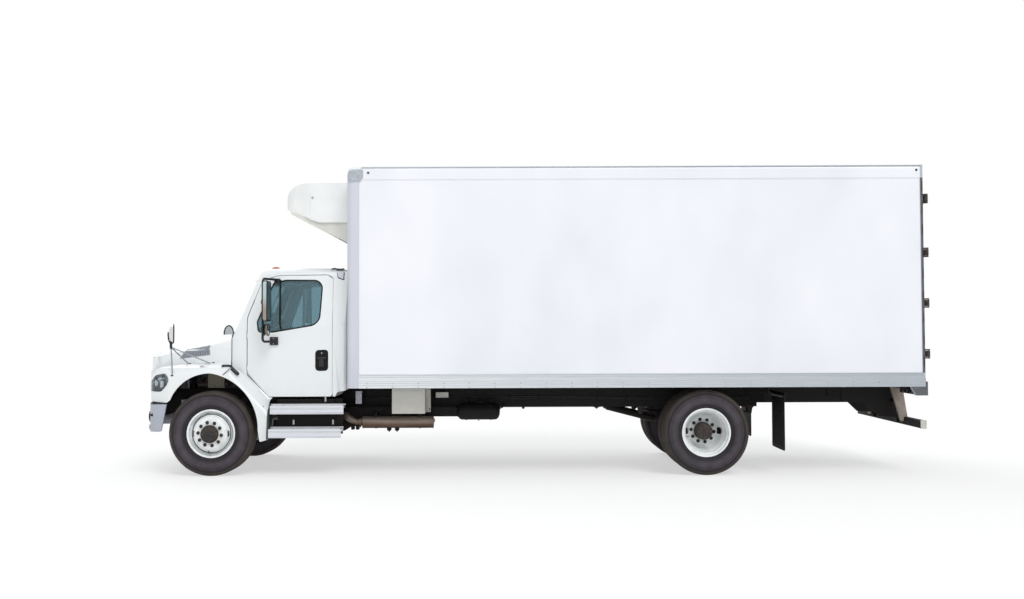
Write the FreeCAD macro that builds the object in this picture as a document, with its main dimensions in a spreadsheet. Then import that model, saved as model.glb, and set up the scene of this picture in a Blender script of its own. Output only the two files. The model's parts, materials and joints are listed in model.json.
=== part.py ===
"""Box truck: a conventional cab, a ladder frame on two axles and a refrigerated van body.

Millimetres.  +X is forward, +Y the left side and +Z up.  The origin is on the ground under the
middle of the truck.  The driving sizes are in the sheet called Sizes.
"""
import FreeCAD, Part

import os
from math import tan
from types import SimpleNamespace

import Sketcher

Vector = FreeCAD.Vector
Rotation = FreeCAD.Rotation

doc = FreeCAD.newDocument("BoxTruck")

# ---------------------------------------------------------------- driving dimensions

# alias, millimetres, what it is
SIZES = (
    ("front_axle", 3915, "front axle, ahead of the origin"),
    ("rear_axle", -2185, "rear axle"),
    ("axle_height", 522, "wheel centres above the ground"),
    ("tyre_radius", 522, "outside of the tread"),
    ("front_track", 1025, "front tyre centre from the middle of the truck"),
    ("rear_outer", 1093, "outer rear tyre centre"),
    ("rear_inner", 757, "inner rear tyre centre"),
    ("kingpin", 900, "kingpin from the middle of the truck"),
    ("rail_outside", 432, "frame rail's outer face"),
    ("rail_bottom", 785, "frame rail's lower edge"),
    ("rail_top", 1039, "frame rail's upper edge"),
    ("rail_gauge", 8, "thickness of the frame rails"),
    ("rail_front", 4575, "front end of the frame rails"),
    ("rail_rear", -4265, "rear end of the frame rails"),
    ("box_front", 2220, "front face of the van body"),
    ("box_rear", -4847, "rear face of the van body"),
    ("box_half", 1295, "half the width of the van body"),
    ("box_base", 1081, "underside of the van body"),
    ("box_top", 3800, "top of the van body"),
    ("box_floor", 1250, "load floor"),
    ("box_wall", 60, "insulated side wall"),
    ("portal_depth", 30, "depth of the rear door frame"),
    ("cab_rear", 2265, "back of the cab"),
    ("cab_base", 965, "underside of the cab"),
    ("cab_roof", 2590, "top of the cab"),
    ("cab_half", 1020, "half the width of the cab at its belt line"),
    ("cab_skin", 55, "doors, cab walls and pillars"),
    ("fender_half", 1170, "outside of the front fenders"),
    ("hood_skin", 15, "hood and fender moulding"),
    ("hood_pin_x", 4775, "hood hinge pins"),
    ("hood_pin_z", 720, "height of the hood hinge pins"),
    ("door_gap", 10, "gap round a cab door"),
    ("gate_gap", 8, "gap round a rear door"),
    ("gate_pin_y", 1312, "rear door hinge pin from the middle"),
    ("gate_pin_back", 38, "rear door hinge pin behind the rear face"),
    ("bumper_front", 4900, "front of the bumper"),
    ("guard_rear", -4900, "rear face of the underride guard"),
)


class Size:
    """A length that keeps both its value and the sheet expression that gives it."""

    def __init__(self, value, text):
        self.value = value
        self.text = text

    def __add__(self, other):
        return Size(self.value + number(other), f"({self.text} + {text(other)})")

    def __radd__(self, other):
        return Size(number(other) + self.value, f"({text(other)} + {self.text})")

    def __sub__(self, other):
        return Size(self.value - number(other), f"({self.text} - {text(other)})")

    def __rsub__(self, other):
        return Size(number(other) - self.value, f"({text(other)} - {self.text})")

    def __mul__(self, factor):
        return Size(self.value * factor, f"({self.text} * {factor})")

    __rmul__ = __mul__

    def __neg__(self):
        return Size(-self.value, f"(0 - {self.text})")


def number(size):
    return size.value if isinstance(size, Size) else float(size)


def text(size):
    return size.text if isinstance(size, Size) else f"({float(size)!r})"


sheet = doc.addObject("Spreadsheet::Sheet", "Sizes")
for line, (alias, value, note) in enumerate(SIZES, 1):
    sheet.set(f"A{line}", note)
    sheet.set(f"B{line}", str(value))
    sheet.setAlias(f"B{line}", alias)
doc.recompute()
S = SimpleNamespace(**{alias: Size(value, f"Sizes.{alias}") for alias, value, _ in SIZES})


def ahead(distance):
    """A place along the truck, measured forward from the front axle."""
    return S.front_axle + distance


def astern(distance):
    """A place along the truck, measured back from the rear axle."""
    return S.rear_axle - distance


# ---------------------------------------------------------------- ways to make a shape

TURN = {"x": Rotation(Vector(0, 1, 0), 90), "y": Rotation(Vector(1, 0, 0), -90), "z": Rotation()}
# each plane's axis, the sign of its normal along that axis, and the turn that lays a sketch on it
PLANES = {
    "XY": ("z", 1, Rotation()),
    "XZ": ("y", -1, Rotation(Vector(1, 0, 0), 90)),
    "YZ": ("x", 1, Rotation(Vector(1, 1, 1), 120)),
}
nodes = {}


def bind(obj, name, size):
    """Give a property its value, by an expression where it comes from the sheet."""
    if isinstance(size, Size) or "." in name:
        obj.setExpression(name, text(size))
    else:
        setattr(obj, name, float(size))


def node(name, shape):
    """Name a finished sub-part."""
    shape.Label = name
    nodes[name] = shape
    return shape


def block(name, x, y, z):
    """A box between two faces along each axis, each pair given as (low, high)."""
    box = doc.addObject("Part::Box", name)
    for side, axis, (low, high) in zip(("Length", "Width", "Height"), "xyz", (x, y, z)):
        bind(box, side, high - low)
        bind(box, f"Placement.Base.{axis}", low)
    return box


def rod(name, radius, axis, span, centre):
    """A round bar along an axis; centre gives its place along the other two axes."""
    low, high = span
    bar = doc.addObject("Part::Cylinder", name)
    bar.Placement = FreeCAD.Placement(Vector(), TURN[axis])
    bind(bar, "Radius", radius)
    bind(bar, "Height", high - low)
    bind(bar, f"Placement.Base.{axis}", low)
    for other, place in zip([letter for letter in "xyz" if letter != axis], centre):
        bind(bar, f"Placement.Base.{other}", place)
    return bar


def point(*places):
    return Vector(*[number(place) for place in places])


def strut(name, radius, start, end):
    """A round bar from one point to another."""
    along = point(*end) - point(*start)
    bar = doc.addObject("Part::Cylinder", name)
    bar.Placement = FreeCAD.Placement(Vector(), Rotation(Vector(0, 0, 1), along))
    bind(bar, "Radius", radius)
    bind(bar, "Height", along.Length)
    for axis, place in zip("xyz", start):
        bind(bar, f"Placement.Base.{axis}", place)
    return bar


def bent_tube(name, radius, bend, points):
    """A round tube along straight runs, with a tangent arc of one radius at each corner."""
    corners = [point(*places) for places in points]
    edges = []
    last = corners[0]
    for before, corner, after in zip(corners, corners[1:], corners[2:]):
        back = (before - corner).normalize()
        on = (after - corner).normalize()
        reach = bend / tan(back.getAngle(on) / 2)
        inward = (reach ** 2 + bend ** 2) ** 0.5 - bend
        enter = corner + back * reach
        leave = corner + on * reach
        edges.append(Part.makeLine(last, enter))
        edges.append(Part.Arc(enter, corner + (back + on).normalize() * inward, leave).toShape())
        last = leave
    edges.append(Part.makeLine(last, corners[-1]))
    ring = Part.Wire(Part.makeCircle(radius, corners[0], corners[1] - corners[0]))
    tube = doc.addObject("Part::Feature", name)
    swept = Part.Wire(edges).makePipeShell([ring], True, False)
    tube.Shape = swept if swept.Volume > 0 else swept.reversed()
    return tube


VIA = "via"


def rounding(before, corner, after, radius):
    """A rounded corner's arc: from the corner to its start, its middle and its end."""
    back = (before - corner).normalize()
    on = (after - corner).normalize()
    reach = radius / tan(back.getAngle(on) / 2)
    inward = (reach ** 2 + radius ** 2) ** 0.5 - radius
    return back * reach, (back + on).normalize() * inward, on * reach


def draw(sketch, outline):
    """Draw a closed outline and fix each of its points.

    (a, b) is a corner, (a, b, radius) a rounded one, and (VIA, a, b) a point that the arc between
    the corners before and after it passes through.
    """
    corners = [entry for entry in outline if entry[0] != VIA]
    spots = [point(*entry[:2], 0) for entry in corners]
    through = {}
    for index, entry in enumerate(outline):
        if entry[0] == VIA:
            through[sum(item[0] != VIA for item in outline[:index]) - 1] = point(*entry[1:], 0)
    # the ends of every line and arc, each with the pair of sizes that places it
    stops = []
    for index, entry in enumerate(corners):
        if len(entry) == 3:
            before, after = spots[index - 1], spots[(index + 1) % len(spots)]
            start, middle, end = rounding(before, spots[index], after, number(entry[2]))
            stops.append(((entry[0] + start.x, entry[1] + start.y), spots[index] + middle))
            stops.append(((entry[0] + end.x, entry[1] + end.y), None))
        else:
            stops.append((entry[:2], None))
        if index in through:
            stops[-1] = (stops[-1][0], through[index])
    places = [places for places, _ in stops]
    ends = [point(*pair, 0) for pair in places]
    elements = []
    for index, (_, middle) in enumerate(stops):
        start, end = ends[index], ends[(index + 1) % len(ends)]
        if middle is None:
            elements.append((sketch.addGeometry(Part.LineSegment(start, end)), 1))
        else:
            # a sketch keeps every arc anticlockwise
            forward = (middle - start).cross(end - middle).z > 0
            drawn = Part.Arc(start, middle, end) if forward else Part.Arc(end, middle, start)
            edge = sketch.addGeometry(drawn)
            elements.append((edge, 1 if forward else 2))
            radius = sketch.Geometry[edge].Radius
            sketch.addConstraint(Sketcher.Constraint("Radius", edge, radius))
    for index, (element, first) in enumerate(elements):
        before, first_before = elements[index - 1]
        sketch.addConstraint(Sketcher.Constraint("Coincident", before, 3 - first_before, element, first))
        for kind, place in zip(("DistanceX", "DistanceY"), places[index]):
            rule = sketch.addConstraint(
                Sketcher.Constraint(kind, -1, 1, element, first, number(place)))
            if isinstance(place, Size):
                sketch.setExpression(f"Constraints[{rule}]", place.text)


def prism(name, plane, outline, span):
    """A body padded from an outline on one of the main planes, between two places across it."""
    axis, sign, _ = PLANES[plane]
    low, high = span
    body = doc.addObject("PartDesign::Body", name)
    sketch = body.newObject("Sketcher::SketchObject", name + "_outline")
    face = next(item for item in body.Origin.OriginFeatures if item.Role == plane + "_Plane")
    sketch.AttachmentSupport = [(face, "")]
    sketch.MapMode = "FlatFace"
    bind(sketch, "AttachmentOffset.Base.z", low if sign > 0 else -high)
    draw(sketch, outline)
    pad = body.newObject("PartDesign::Pad", name + "_pad")
    pad.Profile = sketch
    bind(pad, "Length", high - low)
    return body


def lathe(name, outline, x, height):
    """A body turned about a crosswise axis: the outline gives (place across, radius)."""
    body = doc.addObject("PartDesign::Body", name)
    sketch = body.newObject("Sketcher::SketchObject", name + "_outline")
    face = next(item for item in body.Origin.OriginFeatures if item.Role == "YZ_Plane")
    sketch.AttachmentSupport = [(face, "")]
    sketch.MapMode = "FlatFace"
    bind(sketch, "AttachmentOffset.Base.y", height)
    bind(sketch, "AttachmentOffset.Base.z", x)
    draw(sketch, outline)
    turned = body.newObject("PartDesign::Revolution", name + "_turned")
    turned.Profile = sketch
    turned.ReferenceAxis = (sketch, ["H_Axis"])
    turned.Angle = 360
    return body


def slab(name, plane, outline, span, inset=0, lean=None):
    """An extrusion whose outline may be drawn in by an inset, and which may lean as it rises."""
    axis, _, turn = PLANES[plane]
    low, high = span
    sketch = doc.addObject("Sketcher::SketchObject", name + "_outline")
    sketch.Placement = FreeCAD.Placement(Vector(), turn)
    bind(sketch, f"Placement.Base.{axis}", low)
    draw(sketch, outline)
    base = sketch
    if number(inset):
        base = doc.addObject("Part::Offset2D", name + "_inset")
        base.Source = sketch
        base.Mode = "Pipe"
        base.Join = "Intersection"
        bind(base, "Value", -inset)
    solid = doc.addObject("Part::Extrusion", name)
    solid.Base = base
    solid.Solid = True
    if lean:
        solid.DirMode = "Custom"
        solid.Dir = lean
        bind(solid, "LengthFwd", (high - low) * (lean.Length / getattr(lean, axis)))
    else:
        solid.DirMode = "Custom"
        solid.Dir = {"x": Vector(1, 0, 0), "y": Vector(0, 1, 0), "z": Vector(0, 0, 1)}[axis]
        bind(solid, "LengthFwd", high - low)
    return solid


def mirrored(name, source):
    """The same piece on the other side of the truck."""
    twin = doc.addObject("Part::Mirroring", name)
    twin.Source = source
    twin.Normal = Vector(0, 1, 0)
    return twin


def joined(name, *pieces):
    whole = doc.addObject("Part::MultiFuse", name)
    whole.Shapes = list(pieces)
    return whole


def common(name, *pieces):
    overlap = doc.addObject("Part::MultiCommon", name)
    overlap.Shapes = list(pieces)
    return overlap


def grouped(name, *pieces):
    """Separate solids in one sub-part."""
    group = doc.addObject("Part::Compound", name)
    group.Links = list(pieces)
    return group


def cut(name, base, *tools):
    for index, tool in enumerate(tools):
        result = doc.addObject("Part::Cut", f"{name}_{index}")
        result.Base = base
        result.Tool = tool
        base = result
    return base


def both(name, left):
    """A sub-part made of a left piece and its mirror image."""
    return grouped(name, left, mirrored(name + "_twin", left))


# ---------------------------------------------------------------- frame, axles and running gear

def frame():
    """Two channels facing inwards, each with the plate of a hood hinge pin, and crossmembers."""
    outside, gauge = S.rail_outside, S.rail_gauge
    flange = outside - 80
    taper = ahead(-6900)
    channels = []
    # the rails are shallower behind the rear springs
    for name, bottom, span in (("front", S.rail_bottom, (taper, S.rail_front)),
                               ("rear", S.rail_bottom + 50, (S.rail_rear, taper))):
        channels.append(prism(f"{name}_channel", "YZ", (
            (outside, bottom), (outside, S.rail_top), (flange, S.rail_top),
            (flange, S.rail_top - gauge), (outside - gauge, S.rail_top - gauge),
            (outside - gauge, bottom + gauge), (flange, bottom + gauge), (flange, bottom)), span))
    horn = prism("hinge_horn", "XZ", (
        (S.rail_front - 250, S.rail_bottom + 20), (S.rail_front - 250, S.rail_top - 40),
        (S.rail_front, S.rail_top - 40), (S.hood_pin_x + 32, S.hood_pin_z + 60, 30),
        (S.hood_pin_x + 32, S.hood_pin_z - 32, 30), (S.hood_pin_x - 40, S.hood_pin_z - 32, 20)),
        (outside, outside + 14))
    pin = rod("hinge_pin", 12, "y", (outside - 62, outside), (S.hood_pin_x, S.hood_pin_z))
    rails = both("rails", joined("rail", *channels, horn, pin))

    # members across the rails; the last one is the drilled plate for a tow hook
    inside = outside - gauge
    pieces = [rails]
    # distance ahead of the front axle, depth along the truck, low and high edges from the rail's
    for index, (place, depth, low, high) in enumerate((
            (560, 60, 10, -60), (-1990, 70, 80, -10), (-3900, 70, 90, -10),
            (-4885, 70, 90, -10), (-5250, 70, 10, -10), (-7000, 70, 60, -10))):
        pieces.append(block(f"crossmember_{index}", (ahead(place), ahead(place) + depth),
                            (-inside, inside), (S.rail_bottom + low, S.rail_top + high)))
    plate = block("tow_plate", (S.rail_rear, S.rail_rear + 20), (-inside, inside),
                  (S.rail_bottom + 60, S.rail_top - 10))
    centre = (S.rail_bottom + S.rail_top) * 0.5 + 25
    holes = [rod(f"tow_hole_{side}_{level}", 7, "x", (S.rail_rear - 5, S.rail_rear + 25),
                 (side * 22.25, centre + level * 42.85)) for side in (-1, 1) for level in (-1, 1)]
    pieces.append(cut("drilled_tow_plate", plate, *holes))
    node("frame", grouped("frame_parts", *pieces))


def bumper():
    """A wrap-round front bumper, open at the back, on two brackets."""
    nose = S.bumper_front
    plan = ((ahead(540), -1165), (nose - 240, -1165, 150), (nose - 190, -1000, 400), (nose - 60, -600),
            (VIA, nose, 0), (nose - 60, 600), (nose - 190, 1000, 400), (nose - 240, 1165, 150),
            (ahead(540), 1165), (ahead(540), 1141), (nose - 250, 1141, 126),
            (nose - 210, 985, 376), (nose - 85, 598), (VIA, nose - 25, 0), (nose - 85, -598),
            (nose - 210, -985, 376), (nose - 250, -1141, 126), (ahead(540), -1141))
    band = prism("bumper_band", "XY", plan, (490, 890))
    side = prism("bumper_side", "XZ", (
        (ahead(543), 888), (ahead(606), 550, 25), (nose + 10, 546), (nose + 10, 880)), (-1200, 1200))
    face = common("bumper_face", band, side)
    bracket = block("bumper_bracket", (S.rail_front - 90, S.bumper_front - 40), (455, 500), (590, 650))
    hanger = block("bumper_hanger", (S.rail_front - 200, S.rail_front - 90), (446, 500), (590, 900))
    arms = [joined("bumper_arm", bracket, hanger)]
    arms.append(mirrored("bumper_arm_twin", arms[0]))
    node("front_bumper", joined("bumper", face, *arms))


def springs():
    """Leaf springs with their hangers, two on each axle."""
    top = S.rail_bottom
    front = prism("front_leaves", "XZ", (
        (ahead(-750), 690), (VIA, ahead(-20), 497), (ahead(640), 690), (ahead(640), 735),
        (VIA, ahead(-20), 560), (ahead(-750), 735)), (345, 425))
    rear = prism("rear_leaves", "XZ", (
        (astern(750), 700), (VIA, astern(0), 596), (astern(-750), 700), (astern(-750), 745),
        (VIA, astern(0), 700), (astern(750), 745)), (345, 425))
    hangers = []
    for name, centre in (("front", ahead(600)), ("middle", ahead(-710)),
                         ("fore", astern(-710)), ("aft", astern(710))):
        hangers.append(block(f"{name}_hanger", (centre - 40, centre + 40), (350, 420), (705, top)))
    front_pack = joined("front_spring", front, hangers[0], hangers[1],
                        block("front_seat", (ahead(-60), ahead(60)), (345, 425), (470, 510)))
    rear_pack = joined("rear_spring", rear, hangers[2], hangers[3],
                       block("rear_seat", (astern(55), astern(-55)), (345, 425), (S.axle_height + 60, 620)))
    left = grouped("left_springs", front_pack, rear_pack)
    node("leaf_springs", grouped("springs", front_pack, rear_pack, mirrored("right_springs", left)))


def front_axle():
    """A dropped beam with a boss for each kingpin."""
    king = S.kingpin
    beam = prism("axle_beam", "YZ", (
        (-king, 455), (-780, 455), (-600, 385), (600, 385), (780, 455), (king, 455), (king, 605),
        (780, 605), (740, 500), (600, 470), (-600, 470), (-740, 500), (-780, 605), (-king, 605)),
        (ahead(-42), ahead(42)))
    whole = beam
    for side, place in (("left", king), ("right", -king)):
        boss = rod(f"boss_{side}", 45, "z", (452, 608), (ahead(0), place))
        bore = rod(f"bore_{side}", 22.5, "z", (440, 620), (ahead(0), place))
        whole = cut(f"axle_{side}", joined(f"beam_{side}", whole, boss), bore)
    node("front_axle", whole)


def knuckle():
    """Kingpin, yoke and wheel spindle."""
    king = S.kingpin
    lower = block("yoke_lower", (ahead(-42), ahead(42)), (king - 45, king + 85), (400, 445))
    upper = block("yoke_upper", (ahead(-42), ahead(42)), (king - 45, king + 85), (616, 660))
    web = block("yoke_web", (ahead(-42), ahead(42)), (king + 56, king + 85), (400, 660))
    kingpin = rod("kingpin", 22, "z", (400, 660), (ahead(0), king))
    spindle = rod("spindle", 34, "y", (king + 70, 1180), (ahead(0), S.axle_height))
    left = joined("knuckle", lower, upper, web, kingpin, spindle)
    node("knuckle_left", left)
    node("knuckle_right", mirrored("knuckle_twin", left))


def rear_axle():
    """Axle tube with the differential housing in the middle."""
    tube = rod("axle_tube", 60, "y", (-705, 705), (astern(0), S.axle_height))
    bowl = rod("differential", 205, "x", (astern(95), astern(-95)), (0, S.axle_height))
    carrier = doc.addObject("Part::Cone", "carrier")
    carrier.Placement = FreeCAD.Placement(Vector(), TURN["x"])
    carrier.Radius1 = 180
    carrier.Radius2 = 70
    carrier.Height = 230
    bind(carrier, "Placement.Base.x", astern(-90))
    bind(carrier, "Placement.Base.z", S.axle_height)
    node("rear_axle", joined("axle", tube, bowl, carrier))


def driveshaft():
    """Three shafts from the gearbox to the rear axle, in two centre bearings."""
    first = (ahead(-3865), 0, 800)
    second = (ahead(-4850), 0, 800)
    node("driveshaft", joined(
        "shafts", strut("front_shaft", 45, (ahead(-1918), 0, 800), first),
        strut("middle_shaft", 45, first, second),
        strut("rear_shaft", 50, second, (astern(-345), 0, 565)),
        rod("front_bearing", 65, "x", (ahead(-3905), ahead(-3825)), (0, 800)),
        rod("rear_bearing", 65, "x", (ahead(-4890), ahead(-4810)), (0, 800))))


def engine():
    """The engine and gearbox as plain blocks."""
    # the radiator stands clear ahead of it
    main = block("engine_block", (ahead(-50), ahead(430)), (-290, 290), (700, 1330))
    back = block("bell_housing", (ahead(-900), ahead(-50)), (-250, 250), (640, 930))
    gearbox = block("gearbox", (ahead(-1915), ahead(-900)), (-170, 170), (650, 900))
    core = block("radiator_core", (ahead(515), ahead(555)), (-345, 345), (750, 1350))
    node("engine", grouped("engine_parts", joined("power_unit", main, back, gearbox), core))


def exhaust():
    """A muffler under the left rail and the pipe that feeds it."""
    muffler = rod("muffler", 76, "x", (ahead(-2714), ahead(-1815)), (S.rail_outside + 290, 622))
    place = S.rail_outside + 290
    pipe = bent_tube("exhaust_pipe", 42, 70, (
        (ahead(-1580), 200, 705), (ahead(-1580), place, 705), (ahead(-1730), place, 622),
        (ahead(-1830), place, 622)))
    tail = bent_tube("tail_pipe", 42, 70, (
        (ahead(-2610), place, 622), (ahead(-2610), 400, 622), (ahead(-2660), 250, 600)))
    straps = []
    for index, along in enumerate((-2000, -2560)):
        span = (ahead(along), ahead(along) + 40)
        straps.append(block(f"strap_{index}", span, (S.rail_outside, S.rail_outside + 330), (690, 735)))
        straps.append(block(f"strap_foot_{index}", span, (S.rail_outside, S.rail_outside + 60),
                            (690, 820)))
    node("exhaust", joined("exhaust_system", muffler, pipe, tail, *straps))


def chassis_boxes():
    """Equipment box, battery box, fuel tank and air tanks."""
    case = block("case", (ahead(-2628), ahead(-2217)), (620, 1000), (748, 1060))
    lid = block("case_flange", (ahead(-2672), ahead(-2200)), (615, 640), (740, 1070))
    arm = block("case_arm", (ahead(-2500), ahead(-2350)), (S.rail_outside, 620), (960, 1020))
    node("equipment_box", joined("equipment", case, lid, arm))
    tank = rod("tank", 105, "x", (ahead(-3560), ahead(-3007)), (560, 740))
    saddle = block("saddle", (ahead(-3340), ahead(-3260)), (S.rail_outside, 560), (800, 900))
    node("air_tanks", both("air_tank_pair", joined("air_tank", tank, saddle)))
    side = (ahead(-1500), ahead(-790))
    battery = prism("battery_case", "YZ", (
        (S.rail_outside, 800), (520, 500, 20), (985, 500, 20), (985, 930, 20),
        (S.rail_outside, 930)), side)
    node("battery_box", battery)
    tank = prism("tank_shell", "YZ", (
        (-S.rail_outside, 800), (-520, 480, 60), (-985, 480, 120), (-985, 930, 120),
        (-S.rail_outside, 930)), side)
    node("fuel_tank", tank)


def steps():
    """Two cab steps on each side, carried by the battery box and the fuel tank."""
    treads = []
    # low and high edges, outer face, rear and front ends from the front axle
    for index, (low, high, outer, back, front) in enumerate((
            (757, 862, 1150, -1636, -727), (470, 578, 1200, -1610, -718))):
        treads.append(prism(f"tread_{index}", "YZ", (
            (1010, high - 35), (outer - 20, high - 35), (outer - 20, low), (outer, low),
            (outer, high, 12), (1010, high)), (ahead(back), ahead(front))))
        for spot, place in enumerate((-1500, -900)):
            treads.append(block(f"tread_arm_{index}_{spot}", (ahead(place), ahead(place + 50)),
                                (985, outer - 30), (high - 70, high - 30)))
    left = joined("left_steps", *treads)
    node("cab_steps", both("steps", left))


def mudflaps():
    """Rubber flaps behind the rear wheels, hung from the frame."""
    flap = block("flap", (ahead(-7066), ahead(-7054)), (600, 1200), (290, 960))
    bar = rod("flap_bar", 20, "y", (S.rail_outside, 1180), (ahead(-7085), 985))
    clamp = block("flap_clamp", (ahead(-7090), ahead(-7050)), (620, 1180), (930, 985))
    node("mudflaps", both("flaps", joined("left_flap", flap, bar, clamp)))


def guard():
    """Underride guard: a full-width bar on two tapered struts, braced to the frame."""
    bar = block("guard_bar", (S.guard_rear, S.guard_rear + 70), (-1170, 1170), (560, 656))
    holes = [rod(f"plate_hole_{side}", 3.5, "x", (S.guard_rear - 5, S.guard_rear + 30),
                 (side * 89, 608)) for side in (-1, 1)]
    strut_outline = ((ahead(-8565), S.box_base), (ahead(-8727), S.box_base),
                     (S.guard_rear + 15, 600), (S.guard_rear + 110, 600))
    gusset_outline = ((ahead(-8000), S.box_base), (ahead(-8000), S.rail_bottom + 52),
                      (ahead(-8300), S.rail_bottom + 52), (ahead(-8490), 652),
                      (S.guard_rear + 100, 640), (S.guard_rear + 100, 575), (S.guard_rear + 60, 575),
                      (S.guard_rear + 95, S.box_base))
    sides = []
    for side in (-1, 1):
        edge = (580, 620) if side > 0 else (-620, -580)
        web = (432, 444) if side > 0 else (-444, -432)
        sides.append(prism(f"guard_strut_{side + 1}", "XZ", strut_outline, edge))
        sides.append(prism(f"guard_gusset_{side + 1}", "XZ", gusset_outline, web))
    node("underride_guard", cut("guard", joined("guard_frame", bar, *sides), *holes))


# ---------------------------------------------------------------- van body

def van_floor():
    """Floor deck with its cross sills, on two long sills that lie along the frame rails."""
    half = S.box_half - 40
    front = S.box_front - 75
    rear = S.box_rear + S.portal_depth
    pieces = [block("deck", (rear, front), (-half, half), (S.box_floor - 60, S.box_floor))]
    sills = 17
    for index in range(sills):
        place = rear + (front - rear) * (index / (sills - 1)) * 0.991
        pieces.append(block(f"cross_sill_{index}", (place, place + 60), (-half, half),
                            (S.box_base, S.box_floor - 60)))
    for side, low in (("left", S.rail_outside - 62), ("right", -S.rail_outside + 2)):
        pieces.append(block(f"long_sill_{side}", (S.rail_rear + 60, front), (low, low + 60),
                            (S.rail_top, S.box_base)))
    notches = [block(f"post_notch_{side + 1}", (S.box_front - 150, S.box_front),
                     (side * half - 20, side * half + 20), (S.box_base, S.box_floor))
               for side in (-1, 1)]
    node("van_floor", cut("floor_notched", joined("floor", *pieces), *notches))


def van_walls():
    """Insulated sides, front and roof."""
    side = (S.box_half - 8 - S.box_wall, S.box_half - 8)
    left = block("left_wall", (S.box_rear + S.portal_depth, S.box_front - 150), side,
                 (S.box_floor, S.box_top - 160))
    front = block("front_wall", (S.box_front - 75, S.box_front),
                  (-S.box_half + 120, S.box_half - 120), (S.box_base, S.box_top - 160))
    node("van_walls", grouped("walls", left, mirrored("right_wall", left), front))
    node("van_roof", block("roof", (S.box_rear + S.portal_depth, S.box_front - 100),
                           (-S.box_half + 60, S.box_half - 60), (S.box_top - 60, S.box_top - 5)))


def van_rails():
    """Aluminium rails round the body: lower sides, front corner posts, and the top ring."""
    half, top = S.box_half, S.box_top
    lower = block("lower_rail", (S.box_rear + S.portal_depth, S.box_front - 150),
                  (half - 40, half), (S.box_base, S.box_floor))
    front = S.box_front
    post = prism("corner_post", "XY", (
        (front - 150, half), (front, half, 70), (front, half - 120), (front - 75, half - 120),
        (front - 75, half - 60), (front - 150, half - 60)), (S.box_base, top - 160))
    ring = prism("top_ring", "XY", (
        (S.box_rear + S.portal_depth, -half), (front, -half, 70), (front, half, 70),
        (S.box_rear + S.portal_depth, half), (S.box_rear + S.portal_depth, half - 60),
        (front - 100, half - 60), (front - 100, -half + 60),
        (S.box_rear + S.portal_depth, -half + 60)), (top - 160, top))
    bevel = prism("top_bevel", "YZ", (
        (-half, top - 170), (-half, top, 45), (half, top, 45), (half, top - 170)),
        (S.box_rear, front))
    brow = prism("top_brow", "XZ", (
        (S.box_rear, top - 170), (S.box_rear, top), (front, top, 90), (front, top - 170)),
        (-half - 5, half + 5))
    cap = prism("cap_profile", "XZ", (
        (front - 10, top - 190, 12), (front - 10, top - 36, 70), (front - 202, top - 36, 12),
        (front - 202, top - 190, 75)), (half, half + 4))
    node("body_rails", grouped("rails_all", common("top_ring_rounded", ring, bevel, brow),
                               both("lower_pair", lower)))
    node("corner_posts", grouped("posts_and_caps", both("posts", post), both("caps", cap)))


def rear_portal():
    """Steel rear door frame, its sill brackets and the fixed halves of the hinges."""
    rear, half = S.box_rear, S.box_half
    depth = (rear, rear + S.portal_depth)
    whole = prism("portal", "YZ", (
        (-half, S.box_base), (-half, S.box_top), (half, S.box_top), (half, S.box_base)), depth)
    opening = block("portal_opening", (rear - 10, rear + S.portal_depth + 10),
                    (-half + 70, half - 70), (S.box_floor, S.box_top - 110))
    bracket = prism("sill_bracket", "XZ", (
        (ahead(-8585), S.box_base), (ahead(-8650), 972), (rear - 28, 972), (rear - 28, S.box_base + 60),
        (rear, S.box_base + 60), (rear, S.box_base)), (half - 60, half))
    hinges = [bracket]
    for index, height in enumerate(GATE_HINGES):
        for offset in (-58, 42):
            hinges.append(prism(f"hinge_ear_{index}_{offset + 58}", "XY", (
                (rear - S.gate_pin_back - 14, S.gate_pin_y + 14, 13),
                (rear - S.gate_pin_back + 14, S.gate_pin_y + 14, 13), (rear + 10, half),
                (rear + 10, half - 40), (rear, half - 40),
                (rear - S.gate_pin_back - 14, S.gate_pin_y - 14, 13)),
                (height + offset, height + offset + 16)))
        hinges.append(rod(f"hinge_pin_{index}", 7, "z", (height - 58, height + 58),
                          (rear - S.gate_pin_back, S.gate_pin_y)))
    left = joined("left_hinges", *hinges)
    node("rear_portal", joined("portal_frame", cut("portal_ring", whole, opening), left,
                               mirrored("right_hinges", left)))


GATE_HINGES = (1480, 2100, 2720, 3380)
LOCK_RODS = (280, 930)


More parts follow.
